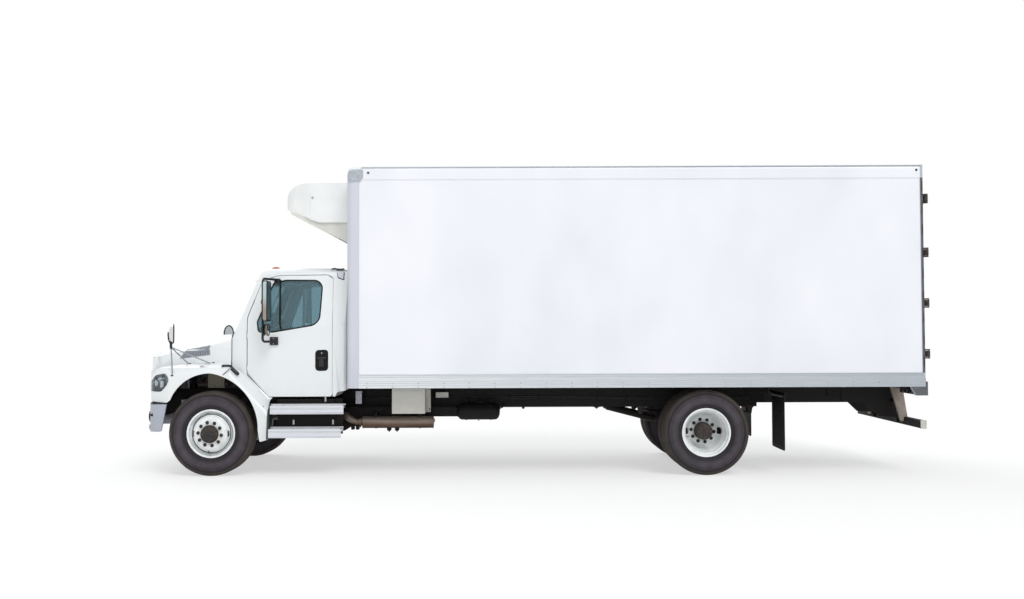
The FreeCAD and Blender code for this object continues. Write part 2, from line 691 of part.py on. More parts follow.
def rear_door():
    """One rear door with its hinge straps and the two lock rods on its face."""
    rear, gap = S.box_rear, S.gate_gap
    panel = block("gate_panel", (rear, rear + 60), (6, S.box_half - 70 - gap),
                  (S.box_floor + gap, S.box_top - 110 - gap))
    pieces = [panel]
    for index, height in enumerate(GATE_HINGES):
        eye = prism(f"strap_{index}", "XY", (
            (rear - S.gate_pin_back - 15, S.gate_pin_y + 15, 14),
            (rear - S.gate_pin_back + 15, S.gate_pin_y + 15, 14),
            (rear - 6, S.gate_pin_y - 14), (rear - 6, S.box_half - 70 - gap), (rear, S.box_half - 78 - gap),
            (rear, 960), (rear - 10, 960), (rear - 16, S.gate_pin_y - 60),
            (rear - S.gate_pin_back - 15, S.gate_pin_y - 15, 10)), (height - 38, height + 38))
        bore = rod(f"strap_bore_{index}", 7.5, "z", (height - 60, height + 60),
                   (rear - S.gate_pin_back, S.gate_pin_y))
        pieces.append(cut(f"strap_eye_{index}", eye, bore))
    for index, place in enumerate(LOCK_RODS):
        pieces.append(rod(f"lock_rod_{index}", 14, "z", (S.box_floor + 20, S.box_top - 130),
                          (rear - 26, place)))
        for spot, height in enumerate((1320, 1950, 2550, 3150, 3620)):
            pieces.append(block(f"rod_guide_{index}_{spot}", (rear - 42, rear), (place - 30, place + 30),
                                (height, height + 40)))
    left = joined("left_gate", *pieces)
    node("rear_door_left", left)
    node("rear_door_right", mirrored("right_gate", left))


def refrigeration_unit():
    """The refrigeration unit on the front wall: an upper housing and the tray under it."""
    face = S.box_front
    upper = prism("unit_upper", "XZ", (
        (face, 3655), (ahead(-1075), 3655, 160), (ahead(-955), 3620, 120), (ahead(-852), 3530, 120),
        (ahead(-828), 3420, 80), (ahead(-840), 3345, 40), (ahead(-900), 3305),
        (ahead(-1285), 3160, 120), (face, 3160)), (-900, 900))
    plan = prism("unit_plan", "XY", (
        (face, -900), (ahead(-1150), -900, 180), (ahead(-828), -780, 220), (ahead(-828), 780, 220),
        (ahead(-1150), 900, 180), (face, 900)), (2800, 3700))
    lower = prism("unit_lower", "XZ", (
        (ahead(-915), 3298), (ahead(-1285), 3160), (face, 3160), (face, 2900), (ahead(-1640), 2900, 30),
        (ahead(-930), 3262, 15)), (-870, 870))
    node("refrigeration_unit", common("unit_housing", upper, plan))
    node("refrigeration_tray", lower)


# ---------------------------------------------------------------- cab

CAB_FRONT = 155    # how far the cab's front bows forward, from its corners to the middle
SCREEN_FOOT = 1700
SCREEN_LEAN = Vector(-343, 0, 772)


def cab_solid(name, inset):
    """The cab's outer form, drawn in by an inset."""
    half, base, roof = S.cab_half, S.cab_base, S.cab_roof
    side = slab(name + "_side", "XZ", (
        (S.cab_rear, base + 76, 30), (ahead(-1538), base + 58, 12), (ahead(-1510), base, 12),
        (ahead(-735), base, 20), (ahead(-690), 905), (ahead(-615), 905),
        (ahead(-330), 1190), (ahead(-60), 1250), (ahead(60), 2300), (ahead(-440), 2455),
        (ahead(-555), 2525, 60), (ahead(-700), roof - 8, 100), (ahead(-1480), roof, 900),
        (S.cab_rear, roof - 35, 70)), (-half - 10, half + 10), inset)
    front = slab(name + "_front", "YZ", (
        (-half, 890), (half, 890), (half, 1840, 600), (half - 78, 2450, 400), (half - 125, roof - 15, 110),
        (0, roof + 12, 2000), (125 - half, roof - 15, 110), (78 - half, 2450, 400), (-half, 1840, 600)),
        (S.cab_rear - 10, ahead(100)), inset)
    plan = (
        (S.cab_rear, -half - 5, 60), (ahead(-230), -half - 5), (VIA, ahead(-230 + CAB_FRONT), 0),
        (ahead(-230), half + 5), (S.cab_rear, half + 5, 60))
    lower = slab(name + "_lower", "XY", plan, (850, SCREEN_FOOT), inset)
    # the leaning part starts where the upright part ends, and passes beyond the roof
    upper = slab(name + "_upper", "XY", (
        (S.cab_rear - 600, -half - 5), (ahead(-230), -half - 5), (VIA, ahead(-230 + CAB_FRONT), 0),
        (ahead(-230), half + 5), (S.cab_rear - 600, half + 5)), (SCREEN_FOOT, 2720), inset, SCREEN_LEAN)
    return common(name, side, front, joined(name + "_plan", lower, common(
        name + "_trim", upper, slab(name + "_back", "XY", (
            (S.cab_rear, -half - 5, 60), (ahead(200), -half - 5), (ahead(200), half + 5),
            (S.cab_rear, half + 5, 60)), (SCREEN_FOOT, 2720), inset))))


def door_outline(grow):
    """The cab door seen from the side, made larger by grow all round."""
    return (
        (ahead(-417) + grow, 1248 - grow), (ahead(-417) + grow, 1960, 160),
        (ahead(-588) + grow, 2400 + grow, 90), (ahead(-760), 2478 + grow, 250),
        (ahead(-1400), 2486 + grow, 60), (ahead(-1471) - grow, 2440 + grow, 40),
        (ahead(-1471) - grow, 968 - grow, 25), (ahead(-684), 968 - grow))


DOOR_HINGES = (1300, 1700)
WINDOW = (
    (ahead(-527), 1900, 60), (ahead(-545), 1764, 45), (ahead(-735), 1764, 60), (ahead(-1318), 1862, 150),
    (ahead(-1352), 2427, 110), (ahead(-880), 2432, 200), (ahead(-722), 2396, 60))
SCREEN = ((-860, 1740, 60), (860, 1740, 60), (800, 2430, 80), (-800, 2430, 80))
BACK_LIGHT = ((-380, 1780, 50), (380, 1780, 50), (360, 2300, 50), (-360, 2300, 50))


def cab():
    """The cab shell with its openings, its glass, and both doors."""
    skin = S.cab_skin
    outer = cab_solid("cab_outer", 0)
    inner = cab_solid("cab_inner", skin)
    # the floor is raised over the frame rails and the gearbox
    span = (S.cab_rear - 20, ahead(120))
    tunnel = block("tunnel", span, (-S.rail_outside - 28, S.rail_outside + 28), (800, 1050))
    cover = block("tunnel_cover", span, (-S.rail_outside - 73, S.rail_outside + 73), (800, 1095))
    shell = cut("cab_skin_all", cut("cab_body", outer, tunnel), cut("cab_room_inside", inner, cover))
    side_cut = slab("doorway", "XZ", door_outline(S.door_gap), (850, 1200))
    screen_hole = slab("screen_hole", "YZ", SCREEN, (ahead(-640), ahead(200)))
    back_hole = slab("back_hole", "YZ", BACK_LIGHT, (S.cab_rear - 20, S.cab_rear + 100))
    # the door hinges stand in the gap ahead of each door, with a pocket for each in the shell
    pockets, knuckles = [], []
    for index, low in enumerate(DOOR_HINGES):
        pocket = block(f"hinge_pocket_{index}", (ahead(-412), ahead(-400)), (1004, 1030), (low - 6, low + 66))
        pockets += [pocket, mirrored(f"hinge_pocket_twin_{index}", pocket)]
        knuckles.append(rod(f"door_hinge_{index}", 4, "z", (low, low + 60), (ahead(-412), S.cab_half)))
        knuckles.append(block(f"hinge_leaf_{index}", (ahead(-440), ahead(-412)), (1010, S.cab_half),
                              (low, low + 60)))
    node("cab_shell", cut("cab_shell_cut", shell, side_cut, mirrored("doorway_twin", side_cut),
                          screen_hole, back_hole, *pockets))
    sheet_out = cab_solid("glass_outer", 10)
    sheet_in = cab_solid("glass_inner", 16)
    pane = cut("glass_all", sheet_out, sheet_in)
    node("cab_glass", grouped("panes", common("windshield_pane", pane, screen_hole),
                              common("rear_pane", pane, back_hole)))

    leaf = common("door_leaf", shell, slab("door_area", "XZ", door_outline(0), (850, 1200)))
    window = slab("window_hole", "XZ", WINDOW, (700, 1300))
    left = joined("door_hinged", cut("door_cut", leaf, window), *knuckles)
    node("cab_door_left", left)
    node("cab_door_right", mirrored("door_twin", left))
    glass = common("door_pane", pane, window)
    node("door_glass_left", glass)
    node("door_glass_right", mirrored("glass_twin", glass))


def cab_interior():
    """Dashboard, steering wheel and column, and two seats."""
    board = slab("board", "XZ", (
        (ahead(-100), 1400), (ahead(-100), 1680), (ahead(-420), 1735, 60), (ahead(-600), 1660, 60),
        (ahead(-640), 1420, 80), (ahead(-500), 1400)), (-900, 900))
    trimmed = common("board_trimmed", board, cab_solid("board_limit", S.cab_skin))
    wheel = doc.addObject("Part::Torus", "wheel_rim")
    wheel.Radius1 = 215
    wheel.Radius2 = 16
    tilt = Vector(-1, 0, 1)
    centre = (ahead(-745), 480, 1860)
    wheel.Placement = FreeCAD.Placement(Vector(), Rotation(Vector(0, 0, 1), tilt))
    for axis, place in zip("xyz", centre):
        bind(wheel, f"Placement.Base.{axis}", place)
    column = strut("steering_column", 32, (ahead(-560), 480, 1675), centre)
    spoke = block("wheel_spokes", (ahead(-760), ahead(-730)), (270, 690), (1845, 1875))
    node("dashboard", joined("board_and_wheel", trimmed, wheel, column, spoke))
    cushions = []
    for side, place in (("left", 480), ("right", -480)):
        seat = prism(f"seat_{side}", "XZ", (
            (ahead(-830), 1380, 40), (ahead(-830), 1500, 50), (ahead(-1260), 1500, 40),
            (ahead(-1330), 2240, 60), (ahead(-1470), 2240, 60), (ahead(-1430), 1380, 60)),
            (place - 240, place + 240))
        cushions.append(seat)
    node("seats", grouped("seat_pair", *cushions))
    bases = [block(f"base_{index}", (ahead(-1380), ahead(-900)), (place - 200, place + 200),
                   (1095, 1378)) for index, place in enumerate((480, -480))]
    node("seat_bases", grouped("base_pair", *bases))


def door_mirror():
    """A tall mirror with a round one under it, on a bent tube from the door."""
    skin = 1000
    tube = bent_tube("mirror_tube", 15, 45, (
        (ahead(-770), 930, 2430), (ahead(-660), 1250, 2430), (ahead(-660), 1250, 1655),
        (ahead(-750), skin, 1655)))
    foot_top = block("mirror_foot_top", (ahead(-805), ahead(-740)), (925, 990), (2388, 2442))
    foot_low = block("mirror_foot_low", (ahead(-800), ahead(-700)), (1015, 1045), (1610, 1710))
    head = prism("mirror_head", "YZ", (
        (1215, 1905, 30), (1405, 1905, 30), (1405, 2395, 30), (1215, 2395, 30)),
        (ahead(-755), ahead(-690)))
    clip = block("mirror_clip", (ahead(-700), ahead(-650)), (1235, 1265), (2120, 2160))
    spot = rod("spot_mirror", 75, "x", (ahead(-745), ahead(-695)), (1310, 1800))
    spot_clip = block("spot_clip", (ahead(-720), ahead(-650)), (1240, 1262), (1790, 1815))
    left = cut("mirror_trimmed", joined("mirror_whole", tube, foot_top, foot_low, head, clip, spot,
                                        spot_clip), cab_solid("mirror_limit", 0))
    node("door_mirror_left", left)
    node("door_mirror_right", mirrored("mirror_right", left))


# ---------------------------------------------------------------- hood

# the way the hood's top falls towards the nose, and the fender's back edge rises to the door hinge
HOOD_SLOPE = Vector(1, 0, -0.285)
FENDER_SLOPE = Vector(274, 0, 286)


def hood():
    """Tilting hood with fenders, hollow, hinged low at the front on two goosenecks."""
    skin = S.hood_skin
    crown = slab("hood_crown", "XZ", (
        (ahead(-230), 925), (ahead(905), 925), (ahead(925), 1180, 200), (ahead(908), 1438, 60),
        (ahead(855), 1530, 110), (ahead(395), 1658, 1500), (ahead(140), 1738, 500), (ahead(-110), 1745, 200),
        (ahead(-230), 1715)), (-985, 985))
    crown_in = slab("hood_crown_in", "XZ", (
        (ahead(-400), 800), (ahead(890), 800), (ahead(910), 1180, 200), (ahead(892), 1432, 50),
        (ahead(845), 1513, 100), (ahead(390), 1643, 1500), (ahead(138), 1723, 500),
        (ahead(-110), 1730, 200), (ahead(-400), 1657)), (-970, 970))
    # the cross section is a low arch, drawn at the cowl and carried forward down the hood's slope
    front = slab("hood_shoulder", "YZ", (
        (-985, 700), (985, 700), (985, 1600, 120), (850, 1758, 260), (0, 1925, 3200), (-850, 1758, 260),
        (-985, 1600, 120)), (ahead(-300), ahead(1000)), 0, HOOD_SLOPE)
    front_in = slab("hood_shoulder_in", "YZ", (
        (-970, 500), (970, 500), (970, 1588, 110), (840, 1742, 250), (0, 1909, 3200), (-840, 1742, 250),
        (-970, 1588, 110)), (ahead(-300), ahead(1000)), 0, HOOD_SLOPE)
    plan = slab("hood_plan", "XY", (
        (ahead(-222), -985), (VIA, ahead(-68), 0), (ahead(-222), 985), (ahead(300), 880), (ahead(876), 740, 110),
        (ahead(912), 450), (VIA, ahead(930), 0), (ahead(912), -450), (ahead(876), -740, 110),
        (ahead(300), -880)), (850, 1800))
    plan_in = slab("hood_plan_in", "XY", (
        (ahead(-400), -1005), (ahead(-400), 1005), (ahead(296), 865), (ahead(864), 729, 98),
        (ahead(897), 448), (VIA, ahead(915), 0), (ahead(897), -448), (ahead(864), -729, 98),
        (ahead(296), -865)), (700, 1850))
    centre = common("hood_centre", crown, front, plan)
    centre_in = common("hood_centre_in", crown_in, front_in, plan_in)

    outline = (
        (ahead(806), 922), (ahead(838), 1110, 120), (ahead(795), 1300, 90), (ahead(560), 1352, 150),
        (ahead(260), 1385, 300), (ahead(-160), 1392, 120), (ahead(-400), 1236, 60), (ahead(-674), 950, 12),
        (ahead(-702), 944, 8), (ahead(-686), 440, 12), (ahead(-606), 419, 12), (ahead(-585), 560),
        (VIA, ahead(-395), 1055), (ahead(10), 1266), (VIA, ahead(300), 1180), (ahead(500), 935),
        (ahead(545), 905))
    inner = (
        (ahead(790), 700), (ahead(823), 1108, 110), (ahead(782), 1288, 80), (ahead(556), 1338, 140),
        (ahead(258), 1370, 290), (ahead(-153), 1377, 105), (ahead(-392), 1222, 50), (ahead(-664), 936, 10),
        (ahead(-687), 930), (ahead(-667), 300), (ahead(-200), 300))
    wing_plan = (
        (ahead(-720), -S.fender_half), (ahead(520), -S.fender_half, 200), (ahead(760), -1060, 180),
        (ahead(838), -880), (ahead(838), 880), (ahead(760), 1060, 180), (ahead(520), S.fender_half, 200),
        (ahead(-720), S.fender_half))
    wing_front = (
        (-S.fender_half, 250), (S.fender_half, 250), (S.fender_half, 1290, 150), (980, 1420, 60),
        (-980, 1420, 60), (-S.fender_half, 1290, 150))
    # behind the arch the fender's outside falls away, so that the open door passes over it
    wing_back = (
        (-S.fender_half, -2000), (S.fender_half, -2000), (S.fender_half, 742, 120), (960, 974),
        (-960, 974), (-S.fender_half, 742, 120))
    wings = []
    voids = []
    for side, (low, high) in (("left", (650, 1200)), ("right", (-1200, -650))):
        margin = (low - 80, high) if side == "left" else (low, high + 80)
        for name, profile, span, inset, pieces in (
                ("fender", outline, (low, high), 0, wings), ("void", inner, margin, skin, voids)):
            pieces.append(common(
                f"{name}_{side}", slab(f"{name}_side_{side}", "XZ", profile, span),
                slab(f"{name}_plan_{side}", "XY", wing_plan, (260, 1500), inset),
                slab(f"{name}_front_{side}", "YZ", wing_front, (ahead(-720), ahead(900)), inset),
                slab(f"{name}_back_{side}", "YZ", wing_back, (ahead(-720), ahead(900)), inset, FENDER_SLOPE)))
    cab_room = slab("cab_room", "XY", (
        (ahead(-800), -1032), (ahead(-222), -1032), (VIA, ahead(-67), 0), (ahead(-222), 1032),
        (ahead(-800), 1032)), (300, 1800))
    outer = joined("hood_outer", centre, *wings)
    shell = cut("hood_shell", outer, centre_in, *voids, cab_room, *headlights(outer))
    arm_outline = (
        (S.hood_pin_x + 25, S.hood_pin_z + 25, 24), (S.hood_pin_x - 20, S.hood_pin_z + 60),
        (ahead(725), 850, 30), (ahead(762), 932, 20), (ahead(897), 932), (ahead(899), 968),
        (ahead(738), 972, 40), (ahead(675), 830, 40), (S.hood_pin_x - 30, S.hood_pin_z - 10),
        (S.hood_pin_x - 15, S.hood_pin_z - 26, 10), (S.hood_pin_x + 25, S.hood_pin_z - 26, 24))
    arms = []
    for side, span in (("left", (378, 412)), ("right", (-412, -378))):
        arm = slab(f"gooseneck_{side}", "XZ", arm_outline, span)
        bore_span = (span[0] - 5, span[1] + 5)
        arms.append(cut(f"gooseneck_bored_{side}", arm, rod(
            f"gooseneck_bore_{side}", 12.5, "y", bore_span, (S.hood_pin_x, S.hood_pin_z))))
    mouth = slab("grille_mouth", "YZ", GRILLE, (ahead(840), ahead(960)))
    node("hood", joined("hood_whole", cut("hood_open", shell, mouth), *arms))
    bars = slab("grille_panel", "YZ", GRILLE, (ahead(876), ahead(890)))
    node("grille", bars)
    hood_mirror(outer)


GRILLE = ((-430, 975, 50), (430, 975, 50), (460, 1370, 60), (-460, 1370, 60))


def headlights(outer):
    """A lamp in each front corner of the fenders, flush with them; gives the openings they fill."""
    left = prism("lamp_side", "XZ", (
        (ahead(812), 1043, 25), (ahead(808), 1135, 120), (ahead(700), 1245, 80), (ahead(556), 1268, 45),
        (ahead(512), 1185, 60), (ahead(548), 1115, 80), (ahead(625), 1038, 60)), (850, 1200))
    spaces = (left, mirrored("lamp_side_twin", left))
    node("headlights", grouped("lamps", *[
        common(f"lamp_{index}", space, outer) for index, space in enumerate(spaces)]))
    return spaces


def hood_mirror(outer):
    """A round mirror on a tripod that stands on the fender, trimmed where it meets the hood."""
    top = (ahead(470), 1235, 1650)
    foot = (ahead(475), 1145, 1195)
    pieces = [strut("mirror_pole", 9, foot, top)]
    for index, end in enumerate(((ahead(315), 985, 1365), (ahead(10), 1010, 1368))):
        pieces.append(strut(f"mirror_brace_{index}", 8, end, (ahead(471), 1222, 1590)))
    pieces.append(rod("round_mirror", 118, "x", (ahead(440), ahead(485)), (1250, 1760)))
    pieces.append(rod("mirror_boss", 30, "x", (ahead(430), ahead(440)), (1250, 1730)))
    pieces.append(rod("mirror_clamp", 14, "z", (1640, 1700), (ahead(465), 1238)))
    left = cut("hood_mirror_trimmed", joined("left_hood_mirror", *pieces), outer)
    node("hood_mirrors", both("hood_mirror_pair", left))


# ---------------------------------------------------------------- wheels

def tyre(name, x, centre):
    """A hollow radial tyre about a crosswise axis."""
    r = S.tyre_radius
    return lathe(name, (
        (centre + 103, 287), (centre + 103, 300), (centre + 128, 320), (VIA, centre + 140, 400),
        (centre + 130, r - 38), (centre + 110, r - 5, 14), (centre + 55, r), (centre - 55, r),
        (centre - 110, r - 5, 14), (centre - 130, r - 38), (VIA, centre - 140, 400), (centre - 128, 320), (centre - 103, 300),
        (centre - 103, 287), (centre - 80, 287), (centre - 84, 310), (VIA, centre - 118, 400),
        (centre - 100, r - 30, 20), (centre + 100, r - 30, 20), (VIA, centre + 118, 400),
        (centre + 84, 310), (centre + 80, 287)), x, S.axle_height)


def rim(name, x, centre, dish):
    """A steel disc wheel; dish is 1 where the disc bulges outwards and -1 where it sinks in."""
    band = lathe(name + "_band", (
        (centre - 116, 299), (centre - 107, 299), (centre - 104, 286), (centre - 62, 284),
        (centre - 46, 262), (centre + 46, 262), (centre + 62, 284), (centre + 104, 286),
        (centre + 107, 299), (centre + 116, 299), (centre + 114, 277), (centre + 68, 275),
        (centre + 52, 252), (centre - 52, 252), (centre - 68, 275), (centre - 114, 277)),
        x, S.axle_height)
    disc = lathe(name + "_disc", (
        (centre + dish * 20, 256), (centre + dish * 60, 240, 30), (centre + dish * 140, 212, 40),
        (centre + dish * 168, 178, 20), (centre + dish * 168, 111), (centre + dish * 157, 111),
        (centre + dish * 157, 174, 18), (centre + dish * 130, 205, 30), (centre + dish * 50, 230, 30),
        (centre + dish * 8, 248), (centre + dish * 8, 256)), x, S.axle_height)
    whole = joined(name + "_steel", band, disc)
    hand_holes = []
    for index, side in enumerate((-1, 1)):
        place = x + side * 200
        hand_holes.append(slab(f"{name}_hand_hole_{index}", "XZ", (
            (place - 25, S.axle_height - 42, 24), (place + 25, S.axle_height - 42, 24),
            (place + 25, S.axle_height + 42, 24), (place - 25, S.axle_height + 42, 24)),
            (centre - 200, centre + 200)))
    return cut(name, whole, *hand_holes)


def front_wheels():
    """Tyre, rim and hub with its brake drum, on each side."""
    x = S.front_axle
    centre = S.front_track
    face = centre + 157
    hub = lathe("front_hub", (
        (face, 40), (face + 60, 40, 8), (face + 60, 70, 20), (face + 50, 104), (face + 11, 109),
        (face, 109), (face, 170), (face - 20, 205, 12), (975, 208), (975, 190), (face - 30, 188),
        (face - 22, 160), (face - 22, 90), (1010, 82), (1010, 40)), x, S.axle_height)
    cap = rod("hub_cap", 62, "y", (face + 50, face + 68), (x, S.axle_height))
    steel = joined("front_rim_and_hub", rim("front_rim", x, centre, 1), hub, cap)
    wheel = (("front_tyre", tyre("front_tyre", x, centre)), ("front_rim", steel))
    for name, left in wheel:
        node(f"{name}_left", left)
        node(f"{name}_right", mirrored(name + "_twin", left))


def rear_wheels():
    """Twin tyres, twin rims and the hub with its brake drum, on each side."""
    x = S.rear_axle
    tyres = grouped("rear_tyres", tyre("rear_tyre_outer", x, S.rear_outer),
                    tyre("rear_tyre_inner", x, S.rear_inner))
    face = S.rear_inner + 157
    hub = lathe("rear_hub", (
        (face, 68), (face + 175, 68, 6), (face + 175, 100, 15), (face + 22, 109), (face, 109), (face, 170),
        (face - 20, 205, 12), (650, 208), (650, 190), (face - 30, 188), (face - 22, 160),
        (face - 22, 90), (face - 180, 82), (face - 180, 68)), x, S.axle_height)
    flange = rod("axle_flange", 92, "y", (face + 160, face + 192), (x, S.axle_height))
    rims = joined("rear_rims_and_hub", rim("rear_rim_outer", x, S.rear_outer, -1),
                  rim("rear_rim_inner", x, S.rear_inner, 1), hub, flange)
    wheel = (("rear_tyres", tyres), ("rear_rims", rims))
    for name, left in wheel:
        node(f"{name}_left", left)
        node(f"{name}_right", mirrored(name + "_twin", left))


# ---------------------------------------------------------------- build, check and write

for make in (frame, bumper, springs, front_axle, knuckle, rear_axle, driveshaft,
             engine, exhaust, chassis_boxes, steps, mudflaps, guard, van_floor, van_walls, van_rails,
             rear_portal, rear_door, refrigeration_unit, cab, cab_interior, door_mirror, hood,
             front_wheels, rear_wheels):
    make()
doc.recompute()

faults = [item.Name for item in doc.Objects if {"Invalid", "Error"} & set(item.State)]
for name, shape in nodes.items():
    if shape.Shape.isNull() or not shape.Shape.isValid() or not shape.Shape.Solids:
        faults.append(name)
if faults:
    raise RuntimeError("these objects failed: " + ", ".join(faults))
os.makedirs("parts", exist_ok=True)
for name, shape in nodes.items():
    shape.Shape.exportStep(f"parts/{name}.step")
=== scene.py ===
"""Box truck: the finished look of every piece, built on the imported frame, and the studio round it.

Laid out as an add-on: sizes and colours are scene properties, and each group of pieces has its own
operator and a button in the sidebar.  Lengths are metres.  +X is the front of the truck, +Y its left.
"""

import json
from math import cos, pi, radians, sin, tan

import bmesh
import bpy
from mathutils import Matrix, Vector
from mathutils.bvhtree import BVHTree


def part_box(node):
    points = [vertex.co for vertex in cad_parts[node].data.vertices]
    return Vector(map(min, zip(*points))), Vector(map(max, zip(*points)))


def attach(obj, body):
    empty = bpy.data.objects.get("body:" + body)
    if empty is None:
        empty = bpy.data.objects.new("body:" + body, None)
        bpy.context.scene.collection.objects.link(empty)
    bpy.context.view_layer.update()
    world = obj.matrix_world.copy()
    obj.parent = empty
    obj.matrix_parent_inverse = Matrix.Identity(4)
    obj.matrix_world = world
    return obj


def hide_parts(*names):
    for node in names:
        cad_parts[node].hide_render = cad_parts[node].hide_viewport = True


bl_info = {
    "name": "Box Truck",
    "version": (1, 0, 0),
    "blender": (4, 5, 0),
    "location": "3D View > Sidebar > Box Truck",
    "description": "Finishes a box truck on its packed frame, in a plain studio",
    "category": "Object",
}

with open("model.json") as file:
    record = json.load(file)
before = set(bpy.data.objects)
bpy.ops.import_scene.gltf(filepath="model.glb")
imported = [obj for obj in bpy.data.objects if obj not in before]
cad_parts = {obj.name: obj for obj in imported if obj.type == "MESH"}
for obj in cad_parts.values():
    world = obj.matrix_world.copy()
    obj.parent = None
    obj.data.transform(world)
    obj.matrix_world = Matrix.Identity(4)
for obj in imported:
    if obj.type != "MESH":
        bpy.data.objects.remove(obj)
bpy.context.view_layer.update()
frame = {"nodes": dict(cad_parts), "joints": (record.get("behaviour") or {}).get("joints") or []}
JOINTS = {joint["name"]: Vector(joint["pos_m"]) for joint in frame["joints"]}
FRONT_HUB = JOINTS["front_wheel_left_spin"]
REAR_HUB = JOINTS["rear_wheels_left_spin"]
FRONT_AXLE = FRONT_HUB.x
REAR_AXLE = REAR_HUB.x
AXLE_HEIGHT = FRONT_HUB.z
VAN_LOW, VAN_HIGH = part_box("body_rails")


def ahead(distance):
    """A place along the truck, measured forward from the front axle."""
    return FRONT_AXLE + distance


# ---------------------------------------------------------------- materials

def tone(code):
    """The linear colour of an sRGB hex value."""
    parts = [int(code[i:i + 2], 16) / 255 for i in (1, 3, 5)]
    linear = [p / 12.92 if p <= 0.04045 else ((p + 0.055) / 1.055) ** 2.4 for p in parts]
    return (*linear, 1.0)


def add(material, kind, settings=(), **links):
    """Adds a node; settings are (name, value) pairs of its fields or sockets, links join sockets."""
    node = material.node_tree.nodes.new(kind)
    for name, value in settings:
        if isinstance(name, int) or name in node.inputs:
            node.inputs[name].default_value = value
        else:
            setattr(node, name, value)
    for name, source in links.items():
        socket = node.inputs[int(name[1:])] if name[0] == "_" else node.inputs[name.replace("_", " ")]
        material.node_tree.links.new(source, socket)
    return node


def finish(name, colour, roughness, metallic=0.0, settings=()):
    """A new material with its colour, roughness and metallic on the shader's own sockets."""
    material = bpy.data.materials.new(name)
    material.use_nodes = True
    shader = material.node_tree.nodes["Principled BSDF"]
    shader.inputs["Base Color"].default_value = tone(colour)
    shader.inputs["Roughness"].default_value = roughness
    shader.inputs["Metallic"].default_value = metallic
    for socket, value in settings:
        shader.inputs[socket].default_value = value
    material.diffuse_color = tone(colour)
    return material


def shader_of(material):
    return material.node_tree.nodes["Principled BSDF"]


def grain(material, scale, detail=3.0, stretch=(1, 1, 1), kind="ShaderNodeTexNoise"):
    """A pattern in object space; scale is repeats in a metre, stretch squeezes it along an axis."""
    place = add(material, "ShaderNodeTexCoord")
    spread = add(material, "ShaderNodeMapping", [("Scale", stretch)], Vector=place.outputs["Object"])
    pattern = add(material, kind, [("Scale", scale)], Vector=spread.outputs["Vector"])
    if kind == "ShaderNodeTexNoise":
        pattern.inputs["Detail"].default_value = detail
    return pattern


def ramp(material, source, stops):
    """Maps a pattern to colours at the given places."""
    node = add(material, "ShaderNodeValToRGB", Fac=source)
    while len(node.color_ramp.elements) < len(stops):
        node.color_ramp.elements.new(0.5)
    for element, (place, colour) in zip(node.color_ramp.elements, stops):
        element.position = place
        element.color = tone(colour) if isinstance(colour, str) else (colour, colour, colour, 1)
    return node.outputs["Color"]


def emboss(material, source, strength, depth):
    """Turns a pattern into relief of the given depth in metres."""
    bump = add(material, "ShaderNodeBump", [("Strength", strength), ("Distance", depth)], Height=source)
    material.node_tree.links.new(bump.outputs["Normal"], shader_of(material).inputs["Normal"])


def paint(material, source):
    material.node_tree.links.new(source, shader_of(material).inputs["Base Color"])


def roughen(material, source, low, high):
    """Lets a pattern move the roughness between two values."""
    spread = add(material, "ShaderNodeMapRange", [("To Min", low), ("To Max", high)], Value=source)
    material.node_tree.links.new(spread.outputs["Result"], shader_of(material).inputs["Roughness"])


def dusty(material, clean, dust, low, high, amount=0.5):
    """Clean colour that greys towards the ground, broken up by a noise of hand-sized patches."""
    place = add(material, "ShaderNodeTexCoord")
    split = add(material, "ShaderNodeSeparateXYZ", Vector=place.outputs["Object"])
    fall = add(material, "ShaderNodeMapRange", [("From Min", low), ("From Max", high), ("To Min", amount),
                                                ("To Max", 0.0)], Value=split.outputs["Z"])
    patches = add(material, "ShaderNodeTexNoise", [("Scale", 9.0), ("Detail", 5.0)],
                  Vector=place.outputs["Object"])
    level = add(material, "ShaderNodeMath", [("operation", "MULTIPLY")],
                _0=fall.outputs["Result"], _1=patches.outputs["Fac"])
    mix = add(material, "ShaderNodeMix", [("data_type", "RGBA"), (6, tone(clean)), (7, tone(dust))],
              _0=level.outputs["Value"])
    paint(material, mix.outputs[2])
    return level.outputs["Value"]


FINISHES = {}


def enamel(name, colour, dust):
    """Two-pack enamel, sprayed and flatted: even gloss with a faint 4 mm orange peel."""
    material = finish(name, colour, 0.28, settings=(("Coat Weight", 0.35), ("Coat Roughness", 0.12)))
    dusty(material, colour, dust, 0.4, 1.5, 0.35)
    peel = grain(material, 240.0, 1.0)
    emboss(material, peel.outputs["Fac"], 0.06, 0.0006)
    return material


